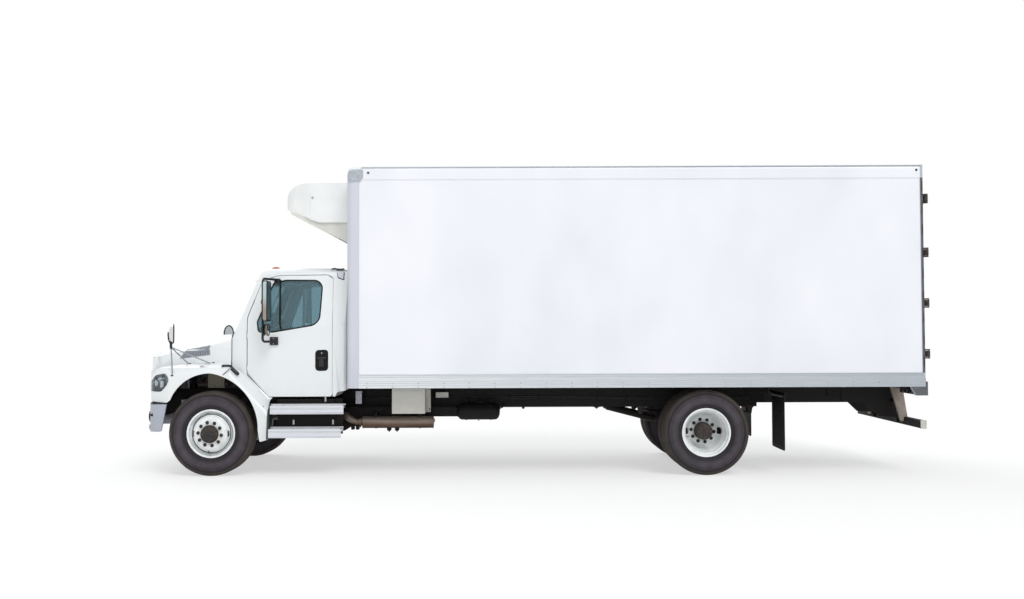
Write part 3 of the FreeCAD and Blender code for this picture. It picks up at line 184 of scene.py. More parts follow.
def body_finishes(made, colours):
    """The cab's enamel, the van's panels, rails and posts, and the rear door frame."""
    # sprayed cab enamel: a clean cool white, glossy, a little road film low down
    made["cab"] = enamel("White cab enamel", colours.cab_colour, "#B9B8B2")
    # gel-coated fibreglass sheet: rolled flat, so its gloss waves over hand-widths, faintly blue
    panel = finish("Gel-coated panel", colours.panel_colour, 0.34, settings=(("Coat Weight", 0.15),))
    broad = grain(panel, 1.1, 2.0, (1, 1, 0.6))
    paint(panel, ramp(panel, broad.outputs["Fac"], ((0.3, colours.panel_colour), (0.75, "#E4E7EC"))))
    emboss(panel, grain(panel, 3.2, 2.0).outputs["Fac"], 0.12, 0.004)
    made["panel"] = panel
    # extruded aluminium, anodised: drawn lines along the rail, about 3 mm apart so that they show
    # a painted reflection fades it from white at the front to grey towards the rear
    rail = finish("Anodised aluminium rail, painted reflection", "#D5D9DD", 0.38, 0.35)
    drawn = grain(rail, 330.0, 2.0, (0.01, 1, 1))
    place = add(rail, "ShaderNodeSeparateXYZ", Vector=add(rail, "ShaderNodeTexCoord").outputs["Object"])
    along = add(rail, "ShaderNodeMapRange", [("From Min", VAN_LOW.x), ("From Max", VAN_HIGH.x)],
                Value=place.outputs["X"])
    # painted reflection: lighter towards the front, greyer towards the rear
    painted_reflection_fade = add(rail, "ShaderNodeMix", [("data_type", "RGBA"), (6, tone("#B9C0C6")), (7, tone("#ECF0F2"))],
                _0=along.outputs["Result"])
    tint = add(rail, "ShaderNodeMix", [("data_type", "RGBA"), ("blend_type", "MULTIPLY"), (0, 1.0)],
               _6=painted_reflection_fade.outputs[2], _7=ramp(rail, drawn.outputs["Fac"], ((0.3, "#EAEAEC"), (0.7, "#FFFFFF"))))
    paint(rail, tint.outputs[2])
    emboss(rail, drawn.outputs["Fac"], 0.15, 0.0005)
    made["rail"] = rail
    # the front posts carry a grey-lilac primer under clear lacquer
    post = finish("Lacquered corner post", "#CDCED8", 0.36, 0.15)
    paint(post, ramp(post, grain(post, 2.0, 2.0, (1, 1, 0.2)).outputs["Fac"],
                     ((0.3, "#C6C8D2"), (0.7, "#D6D7E0"))))
    made["post"] = post
    # cast aluminium corner: sand-cast skin, grains about 2 mm
    cast = finish("Sand-cast aluminium", "#AEB4BB", 0.5, 0.4)
    emboss(cast, grain(cast, 500.0, 2.0).outputs["Fac"], 0.3, 0.0006)
    paint(cast, ramp(cast, grain(cast, 30.0).outputs["Fac"], ((0.3, "#A4AAB2"), (0.7, "#BCC2C8"))))
    made["cast"] = cast
    # painted zinc-coated sheet of the door frame: the 12 mm spangle shows faintly through, dull
    steel = finish("Painted steel portal", "#A9ADB6", 0.42, 0.25)
    spangle = grain(steel, 85.0, kind="ShaderNodeTexVoronoi")
    paint(steel, ramp(steel, spangle.outputs["Distance"], ((0.0, "#A3A8B2"), (0.8, "#B1B5BE"))))
    made["portal"] = steel


def frame_finishes(made):
    """The chassis enamel, and castings left bare or painted."""
    # chassis black: brushed-on enamel over rolled steel, dusted by the road
    chassis = finish("Black chassis enamel", "#0B0A0A", 0.7, settings=(("Specular IOR Level", 0.25),))
    roughen(chassis, dusty(chassis, "#090809", "#2B2521", 0.2, 1.3, 0.9), 0.55, 0.9)
    emboss(chassis, grain(chassis, 120.0, 3.0).outputs["Fac"], 0.2, 0.0008)
    made["chassis"] = chassis
    # cast iron left bare: as-cast grit of 3 mm with thin rust
    iron = finish("As-cast iron", "#3A3633", 0.75, 0.3)
    paint(iron, ramp(iron, grain(iron, 45.0, 5.0).outputs["Fac"],
                     ((0.3, "#2B2A2A"), (0.55, "#423B36"), (0.75, "#5A4636"))))
    emboss(iron, grain(iron, 330.0, 2.0).outputs["Fac"], 0.4, 0.001)
    made["iron"] = iron
    # engine and gearbox castings, painted grey, oily in patches
    engine = finish("Painted engine casting", "#55585C", 0.5, 0.2)
    paint(engine, ramp(engine, grain(engine, 14.0, 5.0).outputs["Fac"],
                       ((0.35, "#3B3D41"), (0.7, "#66696E"))))
    emboss(engine, grain(engine, 60.0, 4.0).outputs["Fac"], 0.4, 0.004)
    made["engine"] = engine


def wheel_finishes(made):
    """Tyre and sheet rubber, the wheels' enamel and chrome plate."""
    # tyre rubber: moulded matt black that weathers brown-grey, with fine mould lines round the wall
    # rings of painted shade and light by radius: darker at the bead and next to the shoulder, lighter across
    # the bulge of the wall; the shoulder and tread are browner
    tones = (("tyre", "Tyre wall rubber", "#342F34", "#3F3A40", "#453F44"),
             ("painted_shade_ring", "Tyre rubber, painted shade ring", "#211E21", "#292529", "#2F2B2E"),
             ("painted_highlight_band", "Tyre rubber, painted highlight band", "#3D393D", "#48434A", "#4F494F"),
             ("shoulder", "Tyre shoulder rubber", "#332F2C", "#413A35", "#4C443D"))
    for key, name, dark, middle, pale in tones:
        tyre = finish(name, middle, 0.78, settings=(("Specular IOR Level", 0.35),))
        paint(tyre, ramp(tyre, grain(tyre, 7.0, 4.0).outputs["Fac"],
                         ((0.3, dark), (0.55, middle), (0.8, pale))))
        emboss(tyre, grain(tyre, 500.0, 2.0).outputs["Fac"], 0.25, 0.0006)
        made[key] = tyre
    # flap and seal rubber: calendered sheet, soft sheen
    rubber = finish("Black sheet rubber", "#0F0F0E", 0.75, settings=(("Specular IOR Level", 0.25),))
    roughen(rubber, dusty(rubber, "#0D0D0C", "#3A3833", 0.2, 1.0, 0.6), 0.6, 0.9)
    made["rubber"] = rubber
    # wheel enamel: thick white over pressed steel, brake dust in the hollows
    wheel = finish("White wheel enamel", "#EEF1F1", 0.4, settings=(("Coat Weight", 0.2),))
    paint(wheel, ramp(wheel, grain(wheel, 11.0, 6.0).outputs["Fac"],
                      ((0.3, "#D9DDDC"), (0.5, "#EDF0F0"), (0.8, "#F5F7F7"))))
    emboss(wheel, grain(wheel, 200.0, 2.0).outputs["Fac"], 0.08, 0.0006)
    made["wheel"] = wheel
    # chrome plate: bright nickel under chromium, almost no texture
    chrome = finish("Chrome plate", "#D8DADD", 0.07, 1.0)
    roughen(chrome, grain(chrome, 25.0).outputs["Fac"], 0.05, 0.13)
    made["chrome"] = chrome


def side_finishes(made):
    """The steps, the exhaust and the equipment box."""
    # brushed aluminium tread: brushed along the step, bright
    tread = finish("Brushed aluminium tread", "#DADDE2", 0.32, 0.6)
    brushed = grain(tread, 400.0, 2.0, (0.02, 1, 1))
    paint(tread, ramp(tread, brushed.outputs["Fac"], ((0.3, "#CFD3D9"), (0.7, "#E6E8EC"))))
    emboss(tread, brushed.outputs["Fac"], 0.12, 0.0004)
    made["tread"] = tread
    # aluminised steel that has been hot: brown-grey bloom in bands along the shell, with painted shade and
    # highlight by height, near-black low down and pale higher up
    hot = finish("Heat-stained aluminised steel, painted shade", "#7A6A60", 0.5, 0.55)
    bands = grain(hot, 3.0, 5.0, (1, 1, 4))
    spot = add(hot, "ShaderNodeSeparateXYZ", Vector=add(hot, "ShaderNodeTexCoord").outputs["Object"])
    # painted shade and highlight: darker towards the bottom of the shell, paler towards the top
    rise = add(hot, "ShaderNodeMapRange", [("From Min", 0.545), ("From Max", 0.70), ("To Max", 0.65)],
               Value=spot.outputs["Z"])
    bloom_and_painted_shade = add(hot, "ShaderNodeMath", [("operation", "MULTIPLY_ADD"), (1, 0.35)], _0=bands.outputs["Fac"],
                _2=rise.outputs["Result"])
    paint(hot, ramp(hot, bloom_and_painted_shade.outputs["Value"],
                    ((0.15, "#2A1D17"), (0.40, "#6B5549"), (0.62, "#96887E"), (0.85, "#7A6C63"))))
    emboss(hot, grain(hot, 160.0).outputs["Fac"], 0.2, 0.0008)
    made["hot"] = hot
    # powder-coated sheet of the equipment case: warm off-white, fine 2 mm texture
    coated = finish("Off-white powder coat", "#D5D3CA", 0.5)
    dusty(coated, "#D8D6CE", "#8F8A7E", 0.6, 1.1, 0.7)
    emboss(coated, grain(coated, 500.0, 2.0).outputs["Fac"], 0.25, 0.0004)
    made["coated"] = coated


def trim_finishes(made):
    """Black plastic, and the vinyl and cloth inside the cab."""
    # grained ABS: leather-like 1.5 mm moulding grain
    plastic = finish("Grained black ABS", "#1B1C1F", 0.5)
    emboss(plastic, grain(plastic, 650.0, kind="ShaderNodeTexVoronoi").outputs["Distance"], 0.35, 0.0006)
    roughen(plastic, grain(plastic, 20.0).outputs["Fac"], 0.42, 0.62)
    made["plastic"] = plastic
    # grey soft vinyl of the cab trim
    trim = finish("Grey moulded vinyl", "#55585D", 0.6)
    emboss(trim, grain(trim, 520.0, kind="ShaderNodeTexVoronoi").outputs["Distance"], 0.4, 0.0006)
    paint(trim, ramp(trim, grain(trim, 6.0).outputs["Fac"], ((0.3, "#4E5156"), (0.7, "#5E6166"))))
    made["trim"] = trim
    # seat cloth: woven tricot with a 5 mm rib, slight nap
    cloth = finish("Woven seat cloth", "#3C4148", 0.9, settings=(("Sheen Weight", 0.4),
                                                                  ("Sheen Roughness", 0.5)))
    rib = add(cloth, "ShaderNodeTexWave", [("Scale", 60.0), ("Distortion", 1.0), ("Detail", 2.0)],
              Vector=add(cloth, "ShaderNodeTexCoord").outputs["Object"])
    paint(cloth, ramp(cloth, rib.outputs["Fac"], ((0.2, "#31363D"), (0.8, "#474D55"))))
    emboss(cloth, rib.outputs["Fac"], 0.5, 0.001)
    made["cloth"] = cloth


def glass_finishes(made):
    """Window and mirror glass, lamp lenses, their reflectors, and the mesh behind the hood vents."""
    # laminated glass with a blue-green tint and the thin haze that glass collects
    glass = finish("Tinted laminated glass", "#A3C0C9", 0.02,
                   settings=(("Transmission Weight", 0.80), ("IOR", 1.06), ("Specular IOR Level", 0.9)))
    roughen(glass, grain(glass, 4.0).outputs["Fac"], 0.0, 0.03)
    made["glass"] = glass
    # mirror glass: silvered, dead flat
    mirror = finish("Silvered mirror glass", "#A9B2B6", 0.02, 1.0)
    roughen(mirror, grain(mirror, 8.0).outputs["Fac"], 0.015, 0.04)
    made["mirror"] = mirror
    # moulded polycarbonate lenses, clear, amber and red, with 4 mm flutes inside
    for key, name, colour, depth in (("clear", "Clear polycarbonate", "#E4EAEE", 1.0),
                                     ("amber", "Amber polycarbonate", "#E0701A", 0.35),
                                     ("red", "Red polycarbonate", "#A3131A", 0.35)):
        lens = finish(name, colour, 0.08, settings=(("Transmission Weight", depth), ("IOR", 1.45)))
        flutes = add(lens, "ShaderNodeTexWave", [("Scale", 40.0)],
                     Vector=add(lens, "ShaderNodeTexCoord").outputs["Object"])
        emboss(lens, flutes.outputs["Fac"], 0.1 if key == "clear" else 0.4, 0.001)
        made[key] = lens
    # vacuum-metallised reflector
    bowl = finish("Metallised reflector", "#C9D0D6", 0.16, 1.0)
    emboss(bowl, grain(bowl, 90.0, kind="ShaderNodeTexVoronoi").outputs["Distance"], 0.3, 0.001)
    made["bowl"] = bowl
    # woven wire behind the hood vents
    wire = finish("Painted wire mesh", "#878F97", 0.5, 0.2)
    weave = add(wire, "ShaderNodeTexBrick", [("Scale", 55.0), ("Mortar Size", 0.03), ("offset", 0.5),
                                             ("Color1", tone("#5F676E")), ("Color2", tone("#6C747B")),
                                             ("Mortar", tone("#B2BAC1"))],
                Vector=add(wire, "ShaderNodeTexCoord").outputs["Object"])
    paint(wire, weave.outputs["Color"])
    emboss(wire, weave.outputs["Fac"], 0.6, 0.002)
    made["wire"] = wire


def load_finishes(made):
    """The refrigeration unit with its tray, and milled aluminium plate."""
    # warm grey refrigeration tray, moulded glass-filled plastic
    tray = finish("Moulded warm grey tray", "#D6D6CF", 0.5)
    paint(tray, ramp(tray, grain(tray, 5.0, 4.0).outputs["Fac"], ((0.3, "#CFCFC8"), (0.7, "#DDDDD6"))))
    emboss(tray, grain(tray, 260.0).outputs["Fac"], 0.2, 0.0006)
    made["tray"] = tray
    # refrigeration housing: white gel coat over a deep moulding
    unit = finish("White unit moulding", "#EDEEED", 0.33, settings=(("Coat Weight", 0.2),))
    paint(unit, ramp(unit, grain(unit, 2.5, 3.0).outputs["Fac"], ((0.3, "#E6E8E7"), (0.7, "#F1F2F1"))))
    emboss(unit, grain(unit, 160.0).outputs["Fac"], 0.08, 0.0008)
    made["unit"] = unit
    # ribbed aluminium load floor and tank plate
    plate = finish("Milled aluminium plate", "#B4B8BD", 0.36, 0.85)
    worn = grain(plate, 40.0, 6.0, (0.2, 1, 1))
    paint(plate, ramp(plate, worn.outputs["Fac"], ((0.3, "#9CA1A7"), (0.7, "#C3C7CC"))))
    roughen(plate, worn.outputs["Fac"], 0.28, 0.5)
    made["plate"] = plate


def nose_finishes(made):
    """The hood's raw sides, vents and mirrors, the bumper, and the guard's struts."""
    # the rear faces of the fender skirts, dark grey-green: painted shade
    made["return"] = finish("Fender skirt, painted shade", "#525D5B", 0.7)
    # pressed vent of the hood, and the bright tube of its mirrors
    made["vent"] = finish("Grey vent surround", "#A9B0B6", 0.55)
    made["tube"] = finish("Stainless mirror tube", "#9DA4A9", 0.3, 0.75)
    # pressed stainless backs of the door mirrors, with a painted reflection: bluish above, brownish below
    bright = finish("Mirror housing, painted reflection", "#B9CACC", 0.2, 0.7)
    spot = add(bright, "ShaderNodeSeparateXYZ", Vector=add(bright, "ShaderNodeTexCoord").outputs["Object"])
    # painted reflection: brownish below, bluish above
    rise = add(bright, "ShaderNodeMapRange", [("From Min", 2.05), ("From Max", 2.22)],
               Value=spot.outputs["Z"])
    paint(bright, ramp(bright, rise.outputs["Result"], ((0.0, "#9C9288"), (1.0, "#B9CACC"))))
    made["bright"] = bright
    # weathering primer of the guard's struts: brown, thinly dusted
    strut = finish("Weathered brown primer", "#8F8379", 0.7)
    paint(strut, ramp(strut, grain(strut, 12.0, 5.0).outputs["Fac"], ((0.3, "#82766C"), (0.7, "#9E9289"))))
    emboss(strut, grain(strut, 160.0, 3.0).outputs["Fac"], 0.2, 0.0008)
    made["strut"] = strut
    # bumper enamel: satin grey-blue over pressed steel
    bumper = finish("Satin grey bumper enamel", "#A9AFBA", 0.36, 0.1)
    dusty(bumper, "#ABB1BC", "#8E8C88", 0.4, 0.9, 0.5)
    emboss(bumper, grain(bumper, 240.0, 1.0).outputs["Fac"], 0.06, 0.0006)
    made["bumper"] = bumper
    # the hood's raw side: laid-up glass fibre under an olive-grey flow coat
    fibre = finish("Flow-coated glass fibre", "#6F6B5C", 0.7)
    paint(fibre, ramp(fibre, grain(fibre, 60.0, 6.0).outputs["Fac"], ((0.3, "#5F5C4F"), (0.7, "#7E7A69"))))
    emboss(fibre, grain(fibre, 130.0, 4.0).outputs["Fac"], 0.4, 0.0015)
    made["fibre"] = fibre
    # underseal sprayed inside the wheel arches: black, pimpled
    liner = finish("Black underseal", "#121213", 0.8)
    emboss(liner, grain(liner, 170.0, 3.0).outputs["Fac"], 0.5, 0.002)
    roughen(liner, grain(liner, 8.0).outputs["Fac"], 0.7, 0.95)
    made["liner"] = liner


def make_finishes(colours):
    """Every material of the truck, by a short key."""
    made = {}
    body_finishes(made, colours)
    for family in (frame_finishes, wheel_finishes, side_finishes, trim_finishes, glass_finishes,
                   load_finishes, nose_finishes):
        family(made)
    return made


# ---------------------------------------------------------------- modelling

X, Y, Z = Vector((1, 0, 0)), Vector((0, 1, 0)), Vector((0, 0, 1))
AXES = {"x": X, "y": Y, "z": Z}


def box_matrix(low, high):
    """Places a unit cube between two corners."""
    low, high = Vector(low), Vector(high)
    size = high - low
    return Matrix.Translation((low + high) / 2) @ Matrix.Diagonal((*size, 1))


def toward(direction):
    """The turn that takes +Z to a direction."""
    return Z.rotation_difference(Vector(direction)).to_matrix().to_4x4()


def soften(part, edges, width, segments=2):
    """Rounds edges; a wide round on a thin body is held back by the clamp."""
    bmesh.ops.bevel(part, geom=edges, offset=width, offset_type="OFFSET", segments=segments,
                    profile=0.5, affect="EDGES", clamp_overlap=True, material=-1)


def sharp_edges(part, angle=35):
    return [edge for edge in part.edges
            if len(edge.link_faces) == 2 and edge.calc_face_angle(0) > radians(angle)]


TREES = {}


def tree_of(node):
    """The search tree of a CAD node's mesh."""
    if node not in TREES:
        part = bmesh.new()
        part.from_mesh(frame["nodes"][node].data)
        TREES[node] = BVHTree.FromBMesh(part)
        part.free()
    return TREES[node]


def surface(node, start, direction):
    """Where a line from a place first meets a CAD node."""
    spot = tree_of(node).ray_cast(Vector(start), Vector(direction))[0]
    if spot is None:
        raise ValueError(f"nothing of {node} lies along the line from {tuple(start)}")
    return spot


def open_side(node):
    """A test of whether a face of a shell looks out: it lies open to the sky, or more lines leave
    it than leave its back."""
    tree = tree_of(node)
    around = [Vector((x, y, z)).normalized() for x in (-1, 0, 1) for y in (-1, 0, 1)
              for z in (-0.35, 0.25, 1)]

    def share(start, normal):
        ways = [way for way in around if way.dot(normal) > 0.15]
        free = [way for way in ways if tree.ray_cast(start, way)[0] is None]
        return len(free) / max(len(ways), 1)

    def open_above(middle, normal):
        spot = tree.ray_cast(middle + Z * 3, -Z)[0]
        return normal.z > 0.1 and spot is not None and spot.z - middle.z < 0.004

    return lambda middle, normal: (open_above(middle, normal) or share(middle + normal * 0.002, normal)
                                   >= share(middle - normal * 0.022, -normal))


class Work:
    """One piece under construction: each part is made alone, then joined in with its finish."""

    def __init__(self, name, body="chassis", slot="frame_black"):
        self.name = name
        self.body = body
        self.slot = slot
        self.mesh = bmesh.new()
        self.finishes = []

    def index(self, finish):
        if finish not in self.finishes:
            self.finishes.append(finish)
        return self.finishes.index(finish)

    def take(self, part, finish=None, outward=True, turn=None):
        """Joins a part in, its normals outward, all in one finish if one is given."""
        if finish is not None:
            index = self.index(finish)
            for face in part.faces:
                face.material_index = index
        if outward:
            bmesh.ops.recalc_face_normals(part, faces=part.faces)
        if turn is not None:
            bmesh.ops.transform(part, matrix=turn, verts=part.verts)
        loose = bpy.data.meshes.new("part")
        part.to_mesh(loose)
        part.free()
        self.mesh.from_mesh(loose)
        bpy.data.meshes.remove(loose)

    def block(self, finish, low, high, bevel=0.003, segments=2, turn=None):
        """A box with rounded edges."""
        part = bmesh.new()
        bmesh.ops.create_cube(part, size=1, matrix=box_matrix(low, high))
        if bevel:
            soften(part, part.edges[:], bevel, segments)
        self.take(part, finish, turn=turn)

    def both(self, finish, low, high, bevel=0.003, segments=2):
        """The same box on the left and on the right."""
        self.block(finish, low, high, bevel, segments)
        self.block(finish, (low[0], -high[1], low[2]), (high[0], -low[1], high[2]), bevel, segments)

    def rod(self, finish, start, end, radius, sides=20, bevel=0.0, tip=None):
        """A bar between two points, or a cone if the tip's radius is given."""
        start, end = Vector(start), Vector(end)
        part = bmesh.new()
        bmesh.ops.create_cone(part, cap_ends=True, segments=sides, radius1=radius,
                              radius2=radius if tip is None else tip, depth=(end - start).length,
                              matrix=Matrix.Translation((start + end) / 2) @ toward(end - start))
        if bevel:
            soften(part, sharp_edges(part, 60), bevel, 3)
        self.take(part, finish)

    def studs(self, finish, places, normal, radius, height, sides=6):
        """Rivets, nuts and bolt heads standing on a face."""
        part = bmesh.new()
        turn = toward(normal)
        rise = Vector(normal).normalized() * height / 2
        for place in places:
            bmesh.ops.create_cone(part, cap_ends=True, segments=sides, radius1=radius,
                                  radius2=radius * 0.8, depth=height,
                                  matrix=Matrix.Translation(Vector(place) + rise) @ turn)
        self.take(part, finish)

    def ball(self, finish, centre, radii, steps=24):
        """A sphere or ellipsoid."""
        part = bmesh.new()
        size = radii if isinstance(radii, (tuple, list)) else (radii,) * 3
        bmesh.ops.create_uvsphere(part, u_segments=steps, v_segments=steps // 2, radius=1,
                                  matrix=Matrix.Translation(centre) @ Matrix.Diagonal((*size, 1)))
        self.take(part, finish)

    def ring(self, finish, centre, axis, radius, section, steps=32, sides=10):
        """A torus: a circle of the section's radius spun about the axis."""
        centre = Vector(centre)
        side = X if abs(axis.dot(X)) < 0.9 else Z
        part = bmesh.new()
        across = axis.cross(side).normalized()
        outward = across.cross(axis).normalized()
        bmesh.ops.create_circle(part, segments=sides, radius=section,
                                matrix=Matrix.Translation(centre + outward * radius) @ toward(across))
        bmesh.ops.spin(part, geom=part.edges[:], cent=centre, axis=axis, angle=2 * pi, steps=steps,
                       use_merge=True)
        self.take(part, finish)

    def plate(self, finish, outline, axis, low, high, bevel=0.002, segments=2, turn=None):
        """A flat outline extruded along an axis; the outline gives the other two coordinates."""
        part = bmesh.new()
        order = {"x": lambda a, b: (low, a, b), "y": lambda a, b: (a, low, b), "z": lambda a, b: (a, b, low)}
        face = part.faces.new([part.verts.new(order[axis](*spot)) for spot in outline])
        grown = bmesh.ops.extrude_face_region(part, geom=[face])
        raised = [item for item in grown["geom"] if isinstance(item, bmesh.types.BMVert)]
        bmesh.ops.translate(part, verts=raised, vec=AXES[axis] * (high - low))
        if bevel:
            soften(part, sharp_edges(part), bevel, segments)
        self.take(part, finish, turn=turn)

    def turned(self, finish, outline, centre, steps=64, axis=Y, closed=False, edit=None):
        """An outline of (along, radius) stops spun about an axis through the centre."""
        part = bmesh.new()
        centre = Vector(centre)
        side = Z if abs(axis.dot(Z)) < 0.9 else X
        stops = [part.verts.new(centre + axis * along + side * radius) for along, radius in outline]
        edges = [part.edges.new(pair) for pair in zip(stops, stops[1:])]
        if closed:
            edges.append(part.edges.new((stops[-1], stops[0])))
        bmesh.ops.spin(part, geom=stops + edges, cent=centre, axis=axis, angle=2 * pi, steps=steps,
                       use_merge=True)
        bmesh.ops.remove_doubles(part, verts=part.verts, dist=1e-5)
        bmesh.ops.recalc_face_normals(part, faces=part.faces)
        if edit:
            edit(part)
        self.take(part, finish)

    def tube(self, finish, points, radius, bend=0.05, sides=12, steps=5):
        """A round tube along straight runs, with a spun bend at each corner."""
        corners = [Vector(spot) for spot in points]
        part = bmesh.new()
        first = (corners[1] - corners[0]).normalized()
        bmesh.ops.create_circle(part, cap_ends=True, segments=sides, radius=radius,
                                matrix=Matrix.Translation(corners[0]) @ toward(first))
        front = [edge for edge in part.edges]
        place = corners[0]
        for before, corner, after in zip(corners, corners[1:], corners[2:]):
            back, on = (before - corner).normalized(), (after - corner).normalized()
            opening = back.angle(on)
            reach = min(bend / tan(opening / 2), (corner - place).length * 0.98)
            front = self.run(part, front, corner + back * reach - place)
            axis = (corner - before).cross(after - corner).normalized()
            inward = (back + on).normalized() * (reach / cos(opening / 2))
            spun = bmesh.ops.spin(part, geom=front, cent=corner + inward, axis=axis,
                                  angle=pi - opening, steps=steps)
            front = [item for item in spun["geom_last"] if isinstance(item, bmesh.types.BMEdge)]
            place = corner + on * reach
        front = self.run(part, front, corners[-1] - place)
        bmesh.ops.contextual_create(part, geom=front)
        self.take(part, finish)

    @staticmethod
    def run(part, front, step):
        """Carries a ring of edges straight on and gives the new ring."""
        grown = bmesh.ops.extrude_edge_only(part, edges=front)["geom"]
        bmesh.ops.translate(part, vec=step, verts=[v for v in grown if isinstance(v, bmesh.types.BMVert)])
        return [item for item in grown if isinstance(item, bmesh.types.BMEdge)
                and all(v in grown for v in item.verts) and len(item.link_faces) == 1]

    def cad(self, node, finish, bevel=0.0, rules=(), keep=None, segments=2):
        """A copy of a CAD node, its doubles merged, its sharp edges softened.

        rules are (finish, test) pairs; the first test that a face's middle and normal pass
        gives its finish.  keep tests which faces are kept.
        """
        part = bmesh.new()
        part.from_mesh(frame["nodes"][node].data)
        bmesh.ops.remove_doubles(part, verts=part.verts, dist=2e-5)
        bmesh.ops.dissolve_degenerate(part, dist=1e-5, edges=part.edges)
        if keep:
            gone = [face for face in part.faces if not keep(face.calc_center_median(), face.normal)]
            bmesh.ops.delete(part, geom=gone, context="FACES")
        if bevel:
            bmesh.ops.dissolve_limit(part, angle_limit=radians(0.4), verts=part.verts, edges=part.edges)
            soften(part, [edge for edge in sharp_edges(part) if edge.calc_length() > bevel * 2.2],
                   bevel, segments)
        default = self.index(finish)
        for face in part.faces:
            face.material_index = default
            for other, test in rules:
                if test(face.calc_center_median(), face.normal):
                    face.material_index = self.index(other)
                    break
        self.take(part, outward=False)

    def seal(self, finish, node, width, lift, side, reach=0.7):
        """A rubber strip round the edge of a pane: the border of its outer face, thickened."""
        part = bmesh.new()
        part.from_mesh(frame["nodes"][node].data)
        bmesh.ops.remove_doubles(part, verts=part.verts, dist=2e-5)
        gone = [face for face in part.faces if face.normal.dot(side) < reach]
        bmesh.ops.delete(part, geom=gone, context="FACES")
        whole = part.faces[:]
        inner = bmesh.ops.inset_region(part, faces=whole, thickness=width, use_even_offset=True,
                                       use_boundary=True)["faces"]
        border = set(inner)
        bmesh.ops.delete(part, geom=[face for face in part.faces if face not in border], context="FACES")
        bmesh.ops.solidify(part, geom=part.faces[:], thickness=-lift)
        self.take(part, finish)

    def laid(self, finish, outline, node, lift, thickness, side=1):
        """A thin patch that follows a CAD surface: an outline of x and z, cut into 30 mm squares
        and dropped on from the left, or from the right where side is -1."""
        part = bmesh.new()
        grid = 0.03
        part.faces.new([part.verts.new((x, 3.0 * side, z)) for x, z in outline])
        for across in (X, Z):
            places = [vert.co.dot(across) for vert in part.verts]
            for number in range(1, int((max(places) - min(places)) / grid) + 1):
                bmesh.ops.bisect_plane(part, geom=part.verts[:] + part.edges[:] + part.faces[:],
                                       plane_co=across * (min(places) + number * grid), plane_no=across)
        down = Y * -side
        for vert in part.verts:
            vert.co = surface(node, vert.co, down) - down * lift
        bmesh.ops.recalc_face_normals(part, faces=part.faces)
        if part.faces[:][0].normal.dot(down) > 0:
            bmesh.ops.reverse_faces(part, faces=part.faces)
        bmesh.ops.solidify(part, geom=part.faces[:], thickness=thickness)
        self.take(part, finish)

    def thicken(self, depth):
        """Turns the open skin made so far into a sheet."""
        bmesh.ops.solidify(self.mesh, geom=self.mesh.faces[:], thickness=depth)
        bmesh.ops.recalc_face_normals(self.mesh, faces=self.mesh.faces)

    def twin(self):
        """Adds the mirror image, across the middle of the truck, of everything so far."""
        copy = bmesh.ops.duplicate(self.mesh, geom=self.mesh.faces[:])["geom"]
        verts = [item for item in copy if isinstance(item, bmesh.types.BMVert)]
        faces = [item for item in copy if isinstance(item, bmesh.types.BMFace)]
        bmesh.ops.scale(self.mesh, vec=(1, -1, 1), verts=verts)
        bmesh.ops.reverse_faces(self.mesh, faces=faces)

    def done(self, *nodes, side=1, smooth=32, bevel=0.0):
        """Makes the object; side -1 turns a piece built for the left into the right one."""
        if side < 0:
            bmesh.ops.scale(self.mesh, vec=(1, -1, 1), verts=self.mesh.verts)
            bmesh.ops.reverse_faces(self.mesh, faces=self.mesh.faces)
        for face in self.mesh.faces:
            face.smooth = True
        data = bpy.data.meshes.new(self.name)
        self.mesh.to_mesh(data)
        self.mesh.free()
        for finish in self.finishes:
            data.materials.append(FINISHES[finish])
        data.set_sharp_from_angle(angle=radians(smooth))
        piece = bpy.data.objects.new(self.name, data)
        bpy.context.scene.collection.objects.link(piece)
        if bevel:
            edge = piece.modifiers.new("Edge", "BEVEL")
            edge.width = bevel
            edge.segments = 2
            edge.limit_method = "ANGLE"
            edge.angle_limit = radians(38)
            edge.harden_normals = True
        even = piece.modifiers.new("Even", "WEIGHTED_NORMAL")
        even.keep_sharp = True
        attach(piece, self.body)
        if nodes:
            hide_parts(*nodes)
        return piece


SIDES = (("left", 1), ("right", -1))


def circle(centre, radius, count, start=0.0, plane="y"):
    """Places evenly round a circle in the plane across an axis."""
    centre = Vector(centre)
    first, second = {"y": (X, Z), "x": (Y, Z), "z": (X, Y)}[plane]
    return [centre + first * radius * cos(start + 2 * pi * i / count)
            + second * radius * sin(start + 2 * pi * i / count) for i in range(count)]


def span(low, high, count):
    """Evenly spaced numbers, both ends included."""
    return [low + (high - low) * i / (count - 1) for i in range(count)]


# ---------------------------------------------------------------- wheels

# half of a tyre's section from the bead to the middle of the tread: (across, radius)
WALL = ((0.080, 0.289), (0.104, 0.289), (0.109, 0.303), (0.127, 0.320), (0.1345, 0.346), (0.1375, 0.350),
        (0.1385, 0.356), (0.1375, 0.362), (0.1385, 0.372), (0.1390, 0.398), (0.1380, 0.424),
        (0.1355, 0.448), (0.1335, 0.452), (0.1330, 0.458), (0.1315, 0.461), (0.1300, 0.484),
        (0.1250, 0.497), (0.1180, 0.507))
TREAD = ((0.1080, 0.5110), (0.0740, 0.5118), (0.0720, 0.5070), (0.0640, 0.5070), (0.0620, 0.5118),
         (0.0280, 0.5120), (0.0260, 0.5070), (0.0180, 0.5070), (0.0160, 0.5120))


